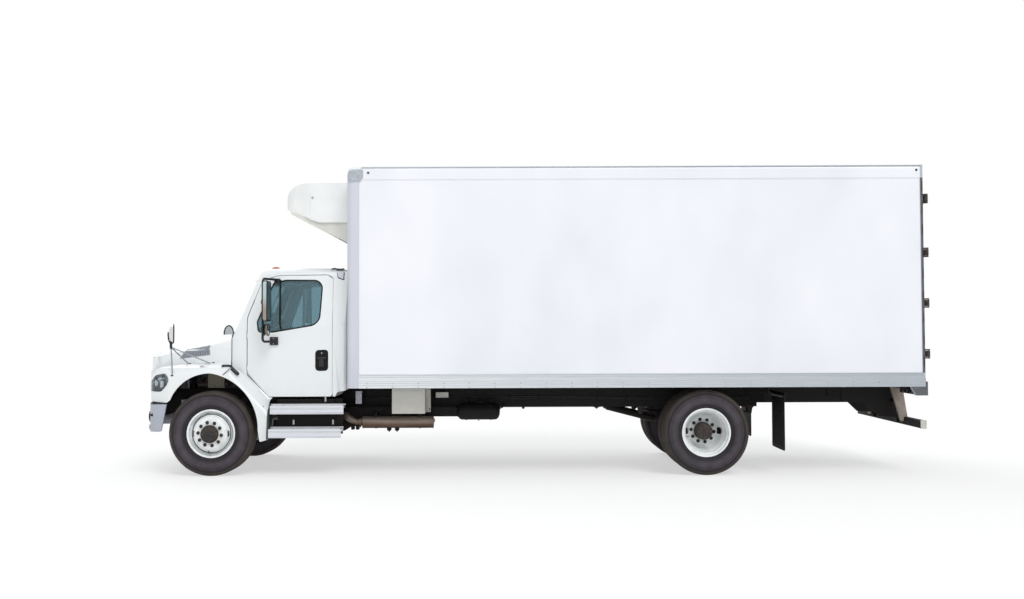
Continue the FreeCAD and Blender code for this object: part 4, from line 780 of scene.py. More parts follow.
def lugs(hub, centre, tones):
    """Sets the rubber's tone by radius, in rings of painted shade and light, and raises tread blocks and a
    fine shoulder serration.
    """
    def edit(part):
        for face in part.faces:
            middle = face.calc_center_median()
            radius = Vector((middle.x - hub.x, 0, middle.z - hub.z)).length
            face.material_index = tones[sum(radius > limit for limit in (0.349, 0.372, 0.424, 0.4590, 0.484))]
        ribs, shoulder = [], []
        for face in part.faces:
            middle = face.calc_center_median()
            radius = Vector((middle.x - hub.x, 0, middle.z - hub.z)).length
            across = abs(middle.y - centre)
            if radius > 0.5105 and across < 0.109:
                ribs.append(face)
            elif 0.4655 < radius < 0.482 and across > 0.12:
                shoulder.append(face)
        bmesh.ops.inset_individual(part, faces=ribs, thickness=0.0022, depth=0.0095, use_even_offset=True)
        bmesh.ops.inset_individual(part, faces=shoulder, thickness=0.003, depth=0.0015,
                                   use_even_offset=True)
    return edit


def tyre(work, hub, centre):
    """One tyre: walls with moulded rings, five ribs cut into blocks."""
    half = list(WALL + TREAD)
    outline = [(across, radius) for across, radius in half]
    outline += [(-across, radius) for across, radius in reversed(half)]
    # rings of painted shade and light across the wall, by radius
    tones = [work.index(key) for key in ("painted_shade_ring", "tyre", "painted_highlight_band", "tyre", "painted_shade_ring", "shoulder")]
    work.turned(None, outline, (hub.x, centre, hub.z), steps=84, closed=True, edit=lugs(hub, centre, tones))


def nuts(work, hub, face):
    """Ten wheel nuts on a 285.75 mm circle, each with its washer and stud."""
    places = circle((hub.x, face, hub.z), 0.142875, 10, 0.1)
    work.studs("iron", places, Y, 0.0225, 0.003, sides=16)
    work.studs("iron", places, Y, 0.0205, 0.022, sides=6)
    work.studs("iron", [place + Y * 0.02 for place in places], Y, 0.0095, 0.014, sides=10)


def wheels(side, sign):
    """The steered wheel and the twin rear wheels of one side."""
    hub, centre, face = FRONT_HUB, 1.025, 1.193
    hub = Vector((hub.x, 0, hub.z))
    radius = lambda middle: Vector((middle.x - hub.x, 0, middle.z - hub.z)).length
    work = Work(f"Front_tyre_{side}", f"front_wheel_{side}", "tyre")
    tyre(work, hub, centre)
    work.done(f"front_tyre_{side}", side=sign, smooth=28)

    work = Work(f"Front_wheel_{side}", f"front_wheel_{side}", "wheel_white")
    # the hub is iron; the back of the disc and the walls of the hand holes take dark iron as painted shade in
    # the holes
    rules = (("iron", lambda middle, normal: radius(middle) < 0.1095),
             ("iron", lambda middle, normal: middle.y < 1.005 and radius(middle) < 0.215),
             ("iron", lambda middle, normal: middle.y < face - 0.030 and radius(middle) < 0.200))
    node = "front_rim_left"
    work.cad(node, "wheel", rules=rules)
    nuts(work, hub, face)
    # the hub: an oil cap with its window, and the bolts round it
    work.turned("iron", ((0.064, 0), (0.064, 0.050), (0.060, 0.056), (0.052, 0.060), (0.050, 0.072)),
                (hub.x, face - 0.002, hub.z), steps=32)
    work.turned("plastic", ((0.0675, 0), (0.0675, 0.020), (0.064, 0.026), (0.063, 0.038)),
                (hub.x, face - 0.001, hub.z), steps=24)
    work.studs("engine", circle((hub.x, face + 0.047, hub.z), 0.066, 6), Y, 0.008, 0.010)
    # the brake drum behind the hand holes: a thin black ring behind the disc, standing for the drum's dark
    # face and for painted shade
    work.turned("liner", ((-0.085, 0.150), (-0.085, 0.240), (-0.090, 0.240), (-0.090, 0.150)),
                (hub.x, face, hub.z), steps=48, closed=True)
    work.turned("iron", ((0.006, 0.104), (0.012, 0.107), (0.020, 0.1075), (0.028, 0.105)),
                (hub.x, face - 0.004, hub.z), steps=40, closed=True)
    # valve stem and the drum's cooling ring behind the disc
    work.tube("iron", ((hub.x + 0.02, 1.125, hub.z - 0.222), (hub.x + 0.02, 1.160, hub.z - 0.226),
                       (hub.x + 0.02, 1.178, hub.z - 0.205)), 0.0045, 0.01, 8)
    work.ball("plate", (hub.x + 0.02, 1.178, hub.z - 0.205), 0.0065, 10)
    work.studs("iron", circle((hub.x, 0.9755, hub.z), 0.160, 12), -Y, 0.010, 0.008)
    work.done(f"front_rim_{side}", side=sign, smooth=30)

    hub = Vector((REAR_HUB.x, 0, REAR_HUB.z))
    radius = lambda middle: Vector((middle.x - hub.x, 0, middle.z - hub.z)).length
    work = Work(f"Rear_tyres_{side}", f"rear_wheels_{side}", "tyre")
    for centre in (1.093, 0.757):
        tyre(work, hub, centre)
    work.done(f"rear_tyres_{side}", side=sign, smooth=28)

    work = Work(f"Rear_wheels_{side}", f"rear_wheels_{side}", "wheel_white")
    disc = 0.937
    # the hub is iron; the back of the disc takes dark iron too, as painted shade behind the hand holes
    work.cad("rear_rims_left", "wheel", rules=(
        ("iron", lambda middle, normal: radius(middle) < 0.1095),
        ("iron", lambda middle, normal: middle.y < 0.905 and radius(middle) < 0.213)))
    nuts(work, hub, disc)
    # the axle flange with its studs, and a cone to carry it from the disc
    work.turned("iron", ((-0.012, 0.104), (0.030, 0.108), (0.060, 0.104), (0.150, 0.096), (0.163, 0.094),
                         (0.168, 0.088), (0.172, 0.050), (0.176, 0.046), (0.176, 0)),
                (hub.x, disc - 0.005, hub.z), steps=40)
    work.studs("engine", circle((hub.x, disc + 0.163, hub.z), 0.074, 8), Y, 0.009, 0.014)
    # the brake drum behind the hand holes: a thin black ring behind the disc, standing for the drum's dark
    # face and for painted shade
    work.turned("liner", ((-0.060, 0.150), (-0.060, 0.240), (-0.065, 0.240), (-0.065, 0.150)),
                (hub.x, disc, hub.z), steps=48, closed=True)
    work.studs("iron", [(hub.x, disc + 0.17, hub.z)], Y, 0.020, 0.010, 10)
    work.tube("iron", ((hub.x + 0.215, 1.010, hub.z - 0.06), (hub.x + 0.215, 1.080, hub.z - 0.06),
                       (hub.x + 0.200, 1.150, hub.z - 0.055)), 0.0045, 0.01, 8)
    work.studs("iron", circle((hub.x, 0.6505, hub.z), 0.160, 12), -Y, 0.010, 0.008)
    work.done(f"rear_rims_{side}", side=sign, smooth=30)


# ---------------------------------------------------------------- frame and running gear

def chassis_frame():
    """Rails, crossmembers and the hinge horns, with the huck bolts that hold them."""
    work = Work("Chassis_frame", slot="frame_black")
    work.cad("frame", "chassis", bevel=0.0025)
    heads = []
    for x in (0.59, -1.955, -3.865, -4.850, -5.215, -6.965):
        for z in (0.86, 0.92, 0.98):
            for step in (-0.02, 0.02):
                heads.append((ahead(x + step), 0.432, z))
    for x in span(-2.3, -6.6, 12):
        heads.append((ahead(x), 0.432, 0.815))
        heads.append((ahead(x), 0.432, 1.012))
    work.studs("chassis", heads, Y, 0.0125, 0.009)
    work.studs("chassis", [(x, -y, z) for x, y, z in heads], -Y, 0.0125, 0.009)
    # the hood hinge pins' washers, and a flange bolt pattern on each horn
    for sign in (1, -1):
        work.studs("plate", [(4.775, sign * 0.446, 0.720)], Y * sign, 0.022, 0.006, 16)
        pattern = [(x, sign * 0.446, z) for z in (0.86, 0.95) for x in (4.40, 4.52)]
        work.studs("chassis", pattern, Y * sign, 0.013, 0.010)
        # brake and air lines clipped along the rails
        for z in (0.905, 0.925):
            course = ((-1.7, z), (-4.6, z), (-5.4, z - 0.02), (-6.8, z - 0.02))
            work.tube("plastic", [(ahead(x), sign * 0.441, up) for x, up in course], 0.006, 0.05, 8)
        for x in span(-1.8, -6.7, 14):
            work.block("chassis", (ahead(x) - 0.008, sign * 0.441 - 0.010, 0.878),
                       (ahead(x) + 0.008, sign * 0.441 + 0.009, 0.938), 0.002, 1)
    work.done("frame")


def leaf_pack(work, y, middle, ends, low, high, count, eye):
    """A pack of curved leaves, longest on top, each an arc spun about a far centre."""
    x0, x1 = ends
    sag = high - low
    reach = (x1 - x0) / 2
    radius = (reach ** 2 + sag ** 2) / (2 * sag)
    thick = 0.0125
    for leaf in range(count):
        share = 1 - 0.82 * leaf / max(count - 1, 1) if leaf else 1
        half = reach * share
        angle = 2 * half / radius
        part = bmesh.new()
        centre = Vector((middle, y, low + radius))
        base = low - leaf * (thick + 0.001)
        bmesh.ops.create_cube(part, size=1, matrix=box_matrix(
            (middle - 0.0001, y - 0.038, base), (middle + 0.0001, y + 0.038, base + thick)))
        bmesh.ops.delete(part, geom=[face for face in part.faces if face.normal.x < 0.9], context="FACES")
        bmesh.ops.rotate(part, cent=centre, matrix=Matrix.Rotation(angle / 2, 3, "Y"), verts=part.verts)
        bmesh.ops.spin(part, geom=part.faces[:], cent=centre, axis=Y, angle=-angle, steps=22)
        bmesh.ops.remove_doubles(part, verts=part.verts, dist=1e-5)
        work.take(part, "chassis")
    for x in (x0, x1):
        work.rod("chassis", (x, y - 0.039, high + 0.004), (x, y + 0.039, high + 0.004), eye, 20, 0.003)
        work.rod("plate", (x, y - 0.047, high + 0.004), (x, y + 0.047, high + 0.004), 0.014, 12)


def springs():
    """Leaf packs, hangers, shackles, U-bolts and dampers."""
    work = Work("Leaf_springs", slot="frame_black")
    y = 0.385
    leaf_pack(work, y, ahead(-0.055), (ahead(-0.705), ahead(0.595)), 0.535, 0.705, 4, 0.026)
    leaf_pack(work, y, REAR_AXLE, (REAR_AXLE - 0.705, REAR_AXLE + 0.705), 0.665, 0.715, 7, 0.030)
    for x, low in ((ahead(0.60), 0.705), (ahead(-0.71), 0.705), (REAR_AXLE + 0.71, 0.715),
                   (REAR_AXLE - 0.71, 0.715)):
        for edge in (y - 0.052, y + 0.040):
            work.plate("iron", ((x - 0.04, 0.80), (x - 0.022, low - 0.02), (x + 0.022, low - 0.02),
                                (x + 0.04, 0.80)),
                       "y", edge, edge + 0.012, 0.003)
        work.block("iron", (x - 0.05, y - 0.05, 0.770), (x + 0.05, y + 0.045, 0.786), 0.004)
    # axle seats with U-bolts
    for x, top, low in ((ahead(0), 0.560, 0.470), (REAR_AXLE, 0.690, 0.582)):
        work.block("iron", (x - 0.075, y - 0.05, top), (x + 0.075, y + 0.05, top + 0.016), 0.004)
        work.block("iron", (x - 0.06, y - 0.04, low), (x + 0.06, y + 0.04, low + 0.045), 0.006)
        for step in (-0.055, 0.055):
            depth = low - (0.10 if x > 0 else 0.14)
            work.tube("chassis", ((x + step, y - 0.043, depth), (x + step, y - 0.043, top + 0.028),
                                  (x + step, y + 0.043, top + 0.028), (x + step, y + 0.043, depth)),
                      0.009, 0.018, 10)
            work.studs("iron", [(x + step, y - 0.043, depth + 0.01), (x + step, y + 0.043, depth + 0.01)],
                       -Z, 0.016, 0.018)
        work.block("iron", (x - 0.075, y - 0.06, depth + 0.01), (x + 0.075, y + 0.06, depth + 0.026), 0.004)
    # dampers
    for foot, head in (((ahead(-0.10), 0.46, 0.50), (ahead(-0.25), 0.455, 0.93)),
                       ((REAR_AXLE - 0.10, 0.47, 0.55), (REAR_AXLE - 0.26, 0.455, 0.98))):
        foot, head = Vector(foot), Vector(head)
        work.rod("iron", foot, foot.lerp(head, 0.62), 0.034, 20, 0.004)
        work.rod("plastic", foot.lerp(head, 0.5), head, 0.040, 20, 0.006)
        work.ball("rubber", foot, 0.026, 14)
        work.ball("rubber", head, 0.026, 14)
    work.twin()
    work.done("leaf_springs")


def front_axle():
    """The steer beam with its tie rod, drag link and brake chambers."""
    work = Work("Front_axle", slot="frame_black")
    work.cad("front_axle", "iron", bevel=0.005)
    work.rod("chassis", (ahead(-0.17), -0.78, 0.46), (ahead(-0.17), 0.78, 0.46), 0.019, 16)
    for sign in (1, -1):
        work.rod("iron", (ahead(-0.17), sign * 0.66, 0.46), (ahead(-0.17), sign * 0.79, 0.46), 0.027, 16,
                 0.004)
        work.ball("rubber", (ahead(-0.17), sign * 0.80, 0.462), (0.030, 0.030, 0.026), 16)
    work.tube("chassis", ((ahead(-0.10), 0.80, 0.60), (ahead(0.15), 0.62, 0.64), (ahead(0.42), 0.52, 0.70)),
              0.018, 0.1, 12)
    work.block("iron", (ahead(0.36), 0.448, 0.70), (ahead(0.48), 0.58, 0.92), 0.02, 3)
    work.rod("iron", (ahead(0.42), 0.45, 0.86), (ahead(0.42), 0.60, 0.86), 0.05, 20, 0.006)
    work.done("front_axle")
    for side, sign in SIDES:
        work = Work(f"Steering_knuckle_{side}", f"steering_{side}", "frame_black")
        work.cad("knuckle_left", "iron", bevel=0.004)
        # backing plate of the brake, its chamber and the steering arm
        work.turned("chassis", ((0, 0.05), (0, 0.165), (0.012, 0.183), (0.018, 0.185), (0.018, 0.06)),
                    (FRONT_AXLE, 0.955, AXLE_HEIGHT), steps=40, closed=True)
        work.plate("iron", ((ahead(-0.02), 0.862), (ahead(-0.17), 0.80), (ahead(-0.19), 0.83),
                            (ahead(-0.04), 0.93)),
                   "z", 0.424, 0.450, 0.005)
        work.rod("iron", (ahead(-0.10), 0.84, 0.70), (ahead(-0.10), 0.93, 0.70), 0.058, 24, 0.012)
        work.rod("iron", (ahead(-0.10), 0.885, 0.70), (ahead(-0.10), 0.90, 0.70), 0.064, 24, 0.003)
        work.done(f"knuckle_{side}", side=sign)


def rear_axle():
    """The drive axle's banjo housing, its cover bolts, brake chambers and air hoses."""
    work = Work("Rear_axle", slot="frame_black")
    x = REAR_AXLE
    work.cad("rear_axle", "iron", bevel=0.006)
    work.turned("iron", ((0, 0), (0, 0.205), (-0.02, 0.200), (-0.055, 0.165), (-0.075, 0.09), (-0.082, 0)),
                (x - 0.094, 0, AXLE_HEIGHT), steps=40, axis=X)
    work.studs("plate", circle((x - 0.098, 0, AXLE_HEIGHT), 0.188, 12, plane="x"), -X, 0.011, 0.014)
    work.studs("plate", circle((x + 0.093, 0, AXLE_HEIGHT), 0.192, 14, plane="x"), X, 0.011, 0.014)
    for sign in (1, -1):
        work.turned("chassis", ((0, 0.06), (0, 0.165), (0.012, 0.183), (0.018, 0.185), (0.018, 0.06)),
                    (x, sign * 0.634, AXLE_HEIGHT), steps=40, closed=True, axis=Y * sign)
        work.rod("iron", (x - 0.12, sign * 0.565, 0.60), (x - 0.30, sign * 0.565, 0.64), 0.075, 28, 0.014)
        work.rod("plate", (x - 0.195, sign * 0.565, 0.617), (x - 0.215, sign * 0.565, 0.621), 0.083, 28,
                 0.003)
        work.rod("iron", (x - 0.02, sign * 0.565, 0.575), (x - 0.12, sign * 0.565, 0.60), 0.018, 12)
        work.tube("rubber", ((x - 0.29, sign * 0.565, 0.70), (x - 0.33, sign * 0.53, 0.84),
                             (x - 0.25, sign * 0.450, 0.90)),
                  0.010, 0.06, 8)
    work.done("rear_axle")


def driveshaft():
    """Propeller shafts with their yokes, crosses and centre bearing."""
    work = Work("Driveshaft", slot="engine_grey")
    gearbox, axle = Vector((ahead(-1.918), 0, 0.80)), Vector((REAR_AXLE + 0.345, 0, 0.565))
    first, second = Vector((ahead(-3.865), 0, 0.80)), Vector((ahead(-4.850), 0, 0.80))
    for start, end, radius in ((gearbox, first, 0.045), (first, second, 0.045), (second, axle, 0.050)):
        along = (end - start).normalized()
        work.rod("chassis", start + along * 0.14, end - along * 0.14, radius, 24)
        work.rod("iron", start + along * 0.10, start + along * 0.17, radius * 0.8, 20, 0.006)
        work.rod("iron", end - along * 0.17, end - along * 0.10, radius * 0.8, 20, 0.006)
        for place, sign in ((start, 1), (end, -1)):
            for offset in (-0.036, 0.036):
                low = place + along * sign * 0.035
                work.block("iron", low + Vector((-0.05, offset - 0.009, -0.028)),
                           low + Vector((0.07, offset + 0.009, 0.028)), 0.006)
            work.rod("plate", place + along * sign * 0.03 - Y * 0.052,
                     place + along * sign * 0.03 + Y * 0.052, 0.014, 14)
            work.rod("plate", place + along * sign * 0.03 - Z * 0.045,
                     place + along * sign * 0.03 + Z * 0.045, 0.014, 14)
            work.turned("iron", ((-0.012, 0), (-0.012, 0.062), (0.006, 0.062), (0.010, 0.045), (0.010, 0)),
                        place + along * sign * 0.004, steps=28, axis=along * sign)
    for x in (first.x, second.x):
        work.ring("rubber", (x, 0, 0.80), X, 0.052, 0.020, 28)
        for sign in (1, -1):
            work.block("chassis", (x - 0.020, sign * 0.085 - 0.006, 0.79),
                       (x + 0.020, sign * 0.085 + 0.006, 0.90), 0.003)
            work.block("chassis", (x - 0.020, min(sign * 0.055, sign * 0.090), 0.790),
                       (x + 0.020, max(sign * 0.055, sign * 0.090), 0.802), 0.003)
    work.done("driveshaft")


def power_unit():
    """The engine, its covers, manifold, fan, pulleys and gearbox, and the radiator pack."""
    work = Work("Engine_and_gearbox", slot="engine_grey")
    work.cad("engine", "engine", bevel=0.025, segments=3,
             keep=lambda middle, normal: middle.x < ahead(0.47))
    # rocker cover, intake, exhaust manifold and turbocharger
    work.block("plastic", (ahead(-0.02), -0.13, 1.325), (ahead(0.40), 0.13, 1.395), 0.03, 4)
    work.studs("plate", [(ahead(x), y, 1.335) for x in span(0.0, 0.38, 6) for y in (-0.138, 0.138)], Z, 0.009,
               0.012)
    work.tube("engine", ((ahead(0.05), -0.22, 1.22), (ahead(0.05), -0.36, 1.24), (ahead(0.38), -0.36, 1.24)),
              0.045, 0.07, 16)
    for x in span(0.02, 0.36, 6):
        work.tube("hot", ((ahead(x), 0.24, 1.16), (ahead(x), 0.32, 1.16), (ahead(x), 0.335, 1.10)), 0.022,
                  0.03, 10)
    work.tube("hot", ((ahead(0.0), 0.335, 1.09), (ahead(0.40), 0.335, 1.09)), 0.034, 0.05, 16)
    work.ball("hot", (ahead(0.19), 0.40, 1.16), (0.075, 0.045, 0.075), 24)
    work.rod("engine", (ahead(0.12), 0.40, 1.16), (ahead(0.02), 0.40, 1.16), 0.055, 24, 0.01)
    for x in span(-0.02, 0.40, 7):
        work.rod("engine", (ahead(x), 0.285, 0.80), (ahead(x), 0.299, 0.80), 0.030, 16, 0.004)
        work.rod("engine", (ahead(x), -0.299, 0.88), (ahead(x), -0.285, 0.88), 0.026, 16, 0.004)
    work.block("engine", (ahead(-0.02), -0.28, 0.64), (ahead(0.38), 0.28, 0.71), 0.03, 4)
    for z, y, radius in ((0.90, 0, 0.10), (1.10, 0.05, 0.07), (1.02, -0.16, 0.055), (1.16, -0.10, 0.045)):
        work.rod("iron", (ahead(0.43), y, z), (ahead(0.462), y, z), radius, 28, 0.004)
    # viscous fan with eight blades in its shroud
    hub = Vector((ahead(0.475), 0, 1.05))
    work.rod("plate", hub - X * 0.02, hub + X * 0.02, 0.075, 28, 0.008)
    for index in range(8):
        turn = Matrix.Translation(hub) @ Matrix.Rotation(index * pi / 4, 4, "X") @ Matrix.Rotation(0.5, 4,
                                                                                                   "Z")
        work.block("plastic", (-0.004, -0.040, 0.06), (0.004, 0.040, 0.265), 0.003, 1, turn)
    work.ring("plastic", (ahead(0.480), 0, 1.05), X, 0.285, 0.014, 40, 8)
    # gearbox ribs and bell-housing bolts
    for x in span(-1.80, -1.0, 7):
        work.both("engine", (ahead(x), 0.166, 0.68), (ahead(x) + 0.014, 0.182, 0.87), 0.003)
    work.studs("plate", circle((ahead(-0.898), 0, 0.785), 0.105, 10, plane="x"), -X, 0.011, 0.012)
    work.block("engine", (ahead(-0.88), -0.22, 0.925), (ahead(-0.30), 0.22, 0.942), 0.006)
    work.rod("engine", (ahead(-0.62), 0.16, 0.66), (ahead(-0.42), 0.16, 0.66), 0.05, 20, 0.008)
    # radiator core, header tanks and hoses
    work.cad("engine", "plate", bevel=0.006, keep=lambda middle, normal: middle.x > ahead(0.47))
    for z in span(0.79, 1.31, 40):
        work.block("plastic", (ahead(0.554), -0.32, z), (ahead(0.558), 0.32, z + 0.004), 0)
    work.block("plastic", (ahead(0.505), -0.355, 1.32), (ahead(0.568), 0.355, 1.375), 0.016, 4)
    work.block("plastic", (ahead(0.505), -0.355, 0.735), (ahead(0.568), 0.355, 0.785), 0.016, 4)
    work.tube("rubber", ((ahead(0.51), 0.25, 1.34), (ahead(0.46), 0.25, 1.34), (ahead(0.42), 0.12, 1.30)),
              0.028, 0.03, 14)
    work.tube("rubber", ((ahead(0.51), -0.25, 0.77), (ahead(0.46), -0.25, 0.77), (ahead(0.42), -0.15, 0.84)),
              0.028, 0.03, 14)
    work.done("engine")


# ---------------------------------------------------------------- things hung under the truck

def exhaust():
    """Muffler with rolled seams and clamps, and its pipes."""
    work = Work("Exhaust", slot="brown_steel")
    work.cad("exhaust", "hot", rules=(
        ("chassis", lambda middle, normal: middle.z > 0.701 and middle.y > 0.43 and middle.x > ahead(-2.6)
         and middle.x < ahead(-1.9)),))
    y, z = 0.722, 0.622
    for x in (-1.818, -2.711):
        work.ring("hot", (ahead(x), y, z), X, 0.0755, 0.005, 40, 8)
        work.ring("hot", (ahead(x), y, z), X, 0.058, 0.004, 36, 8)
    work.turned("hot", ((0, 0.0775), (0.004, 0.0790), (0.010, 0.0775)), (ahead(-2.28), y, z), steps=40,
                axis=X)
    for x in (-1.985, -2.545):
        work.turned("hot", ((0, 0.0765), (0.001, 0.0795), (0.031, 0.0795), (0.032, 0.0765)),
                    (ahead(x) - 0.015, y, z), steps=44, axis=X)
    # saddle clamps under the shell, and the coupling of the front pipe
    for x in (-2.150, -2.250):
        work.block("chassis", (ahead(x) - 0.026, y - 0.05, z - 0.108),
                   (ahead(x) + 0.026, y + 0.03, z - 0.070), 0.010)
        work.studs("chassis", [(ahead(x), y - 0.035, z - 0.106), (ahead(x), y + 0.005, z - 0.106)], -Z, 0.009,
                   0.016)
    work.turned("hot", ((0, 0.043), (0.001, 0.0475), (0.028, 0.0475), (0.029, 0.043)),
                (ahead(-1.79) - 0.014, y, z), steps=32, axis=X)
    work.studs("iron", [(ahead(-1.79), y + 0.03, z - 0.042)], Vector((0, 0.4, -1)), 0.010, 0.022)
    # heat shield between the shell and the frame, ribbed, its foot cut to clear the pipe
    shield = ((ahead(-1.50), 0.800), (ahead(-3.08), 0.800), (ahead(-3.08), 0.660), (ahead(-3.00), 0.678),
              (ahead(-2.60), 0.678),
              (ahead(-2.58), 0.610), (ahead(-1.86), 0.600), (ahead(-1.74), 0.552), (ahead(-1.66), 0.560),
              (ahead(-1.56), 0.500), (ahead(-1.50), 0.500))
    work.plate("chassis", shield, "y", 0.572, 0.576, 0.001, 1)
    for x in span(-2.94, -1.68, 11):
        work.block("chassis", (ahead(x) - 0.012, 0.575, 0.690), (ahead(x) + 0.012, 0.580, 0.790), 0.003)
    for x in (-3.00, -2.40, -1.60):
        work.block("chassis", (ahead(x) - 0.02, 0.4321, 0.785), (ahead(x) + 0.02, 0.576, 0.800), 0.003)
    # two saddle lugs of the step bracket under the elbow, and a relay box and a pipe on the rail
    for x in (-1.69, -1.75):
        work.block("chassis", (ahead(x) - 0.024, 0.70, 0.528), (ahead(x) + 0.022, 0.76, 0.590), 0.012, 3)
    work.block("tray", (ahead(-2.889), 0.450, 0.915), (ahead(-2.726), 0.498, 0.985), 0.006, 3)
    work.block("chassis", (ahead(-2.84), 0.4321, 0.93), (ahead(-2.78), 0.455, 0.97), 0.002)
    work.rod("plate", (ahead(-2.915), 0.480, 0.752), (ahead(-2.745), 0.480, 0.778), 0.013, 16, 0.003)
    for x in (-2.99, -3.06):
        work.rod("red", (ahead(x), 0.470, 0.768), (ahead(x), 0.500, 0.768), 0.010, 14, 0.003)
    work.done("exhaust", smooth=34)


def equipment_box():
    """The flat-lidded equipment box with its seams, latches and vents."""
    work = Work("Equipment_box", slot="trim_grey")
    work.cad("equipment_box", "coated", bevel=0.012, segments=3, rules=(
        ("chassis", lambda middle, normal: middle.y < 0.612),))
    # front face: pressed panel with a rolled lip, two latches and a drain vent
    work.plate("coated", ((ahead(-2.60), 0.775), (ahead(-2.245), 0.775), (ahead(-2.245), 1.035),
                          (ahead(-2.60), 1.035)),
               "y", 0.998, 1.004, 0.003)
    for x in (-2.52, -2.32):
        work.block("coated", (ahead(x) - 0.012, 1.001, 1.005), (ahead(x) + 0.012, 1.007, 1.040), 0.003)
    work.studs("coated", [(ahead(x), 1.003, z) for x in (-2.585, -2.26) for z in (0.80, 1.00)], Y, 0.006,
               0.003, 10)
    work.studs("iron", [(ahead(-2.66), 0.640, z) for z in (0.78, 1.03)], Y, 0.008, 0.005, 10)
    # arm to the rail
    work.block("chassis", (ahead(-2.515), 0.4321, 0.93), (ahead(-2.335), 0.447, 1.035), 0.004)
    work.studs("chassis", [(ahead(x), 0.447, z) for x in (-2.49, -2.36) for z in (0.95, 1.015)], Y, 0.011,
               0.009)
    work.done("equipment_box")
    work = Work("Line_bracket", slot="trim_grey")
    # a folded bracket with air couplings, between the cab and the box
    work.plate("post", ((ahead(-1.783), 0.847), (ahead(-1.704), 0.847), (ahead(-1.704), 1.008),
                        (ahead(-1.783), 1.008)),
               "y", 0.600, 0.606, 0.002)
    work.block("post", (ahead(-1.783), 0.432, 0.990), (ahead(-1.704), 0.606, 0.997), 0.002)
    work.block("chassis", (ahead(-1.768), 0.433, 0.90), (ahead(-1.718), 0.442, 1.01), 0.003)
    for x, z in ((-1.762, 0.90), (-1.724, 0.90), (-1.743, 0.955)):
        work.rod("plate", (ahead(x), 0.604, z), (ahead(x), 0.622, z), 0.011, 12, 0.002)
        work.tube("rubber", ((ahead(x), 0.602, z), (ahead(x), 0.55, z), (ahead(x) + 0.02, 0.50, z - 0.10),
                             (ahead(x) + 0.25, 0.455, z - 0.09)), 0.008, 0.04, 8)
    work.done()


def tanks():
    """Air tanks with their straps and fittings."""
    work = Work("Air_tanks", slot="frame_black")
    for start in (-3.56,):
        x0, x1 = ahead(start), ahead(start + 0.553)
        dome = ((0, 0), (0.006, 0.045), (0.020, 0.080), (0.045, 0.100), (0.07, 0.105),
                (x1 - x0 - 0.07, 0.105),
                (x1 - x0 - 0.045, 0.100), (x1 - x0 - 0.020, 0.080), (x1 - x0 - 0.006, 0.045), (x1 - x0, 0))
        work.turned("chassis", dome, (x0, 0.560, 0.740), steps=40, axis=X)
        for x in (x0 + 0.12, x1 - 0.12):
            work.turned("rubber", ((-0.016, 0.1052), (-0.015, 0.108), (0.015, 0.108), (0.016, 0.1052)),
                        (x, 0.560, 0.740), steps=40, axis=X)
            work.block("chassis", (x - 0.022, 0.4321, 0.78), (x + 0.022, 0.470, 0.90), 0.004)
            work.studs("chassis", [(x, 0.470, 0.80), (x, 0.470, 0.88)], Y, 0.010, 0.010)
        work.block("chassis", (x0 + 0.22, 0.4321, 0.80), (x0 + 0.30, 0.55, 0.87), 0.006)
        work.rod("plate", (x0 + 0.275, 0.56, 0.640), (x0 + 0.275, 0.56, 0.622), 0.010, 8)
        work.tube("plastic", ((x0 + 0.02, 0.56, 0.77), (x0 - 0.05, 0.56, 0.80), (x0 - 0.05, 0.45, 0.85)),
                  0.007, 0.03, 8)
    work.twin()
    work.done("air_tanks", smooth=40)


def side_boxes():
    """The battery box under the left door and the fuel tank under the right."""
    work = Work("Battery_box", slot="frame_black")
    work.cad("battery_box", "chassis", bevel=0.01, segments=3)
    x0, x1 = ahead(-1.50), ahead(-0.79)
    for z in span(0.55, 0.88, 6):
        work.block("chassis", (x0 + 0.03, 0.983, z), (x1 - 0.03, 0.991, z + 0.022), 0.004)
    for x in (x0 + 0.16, x1 - 0.16):
        work.block("chassis", (x - 0.016, 0.988, 0.80), (x + 0.016, 0.998, 0.90), 0.004)
        work.rod("rubber", (x, 0.994, 0.90), (x, 0.994, 0.93), 0.012, 10)
    work.block("chassis", (x0 - 0.006, 0.45, 0.905), (x1 + 0.006, 0.992, 0.935), 0.008, 3)
    work.done("battery_box")

    work = Work("Fuel_tank", slot="aluminium")
    work.cad("fuel_tank", "plate", bevel=0.008, segments=3)
    for x in (x0 + 0.13, x1 - 0.13):
        # straps follow the tank's section
        work.plate("chassis", ((-0.44, 0.935), (-0.985, 0.937), (-0.991, 0.93), (-0.991, 0.60),
                               (-0.975, 0.525),
                               (-0.94, 0.487), (-0.88, 0.474), (-0.55, 0.474), (-0.50, 0.50), (-0.43, 0.78),
                               (-0.436, 0.78), (-0.506, 0.503), (-0.55, 0.481), (-0.88, 0.481),
                               (-0.935, 0.493),
                               (-0.969, 0.53), (-0.984, 0.60), (-0.984, 0.93), (-0.44, 0.929)),
                   "x", x - 0.025, x + 0.025, 0)
        work.studs("plate", [(x, -0.991, 0.86), (x, -0.991, 0.70)], -Y, 0.010, 0.012)
    work.rod("plate", (x0 + 0.36, -0.90, 0.925), (x0 + 0.36, -0.965, 0.965), 0.055, 32, 0.006)
    work.turned("plastic", ((0, 0.058), (0.012, 0.060), (0.026, 0.058), (0.032, 0.05), (0.034, 0)),
                (x0 + 0.36, -0.955, 0.958), steps=24, axis=Vector((0, -0.85, 0.52)).normalized())
    for x in (x0 + 0.003, x1 - 0.003):
        work.plate("plate", ((-0.60, 0.56), (-0.90, 0.56), (-0.94, 0.60), (-0.94, 0.86), (-0.60, 0.86)), "x",
                   x - 0.004, x + 0.004, 0.002)
    work.done("fuel_tank")


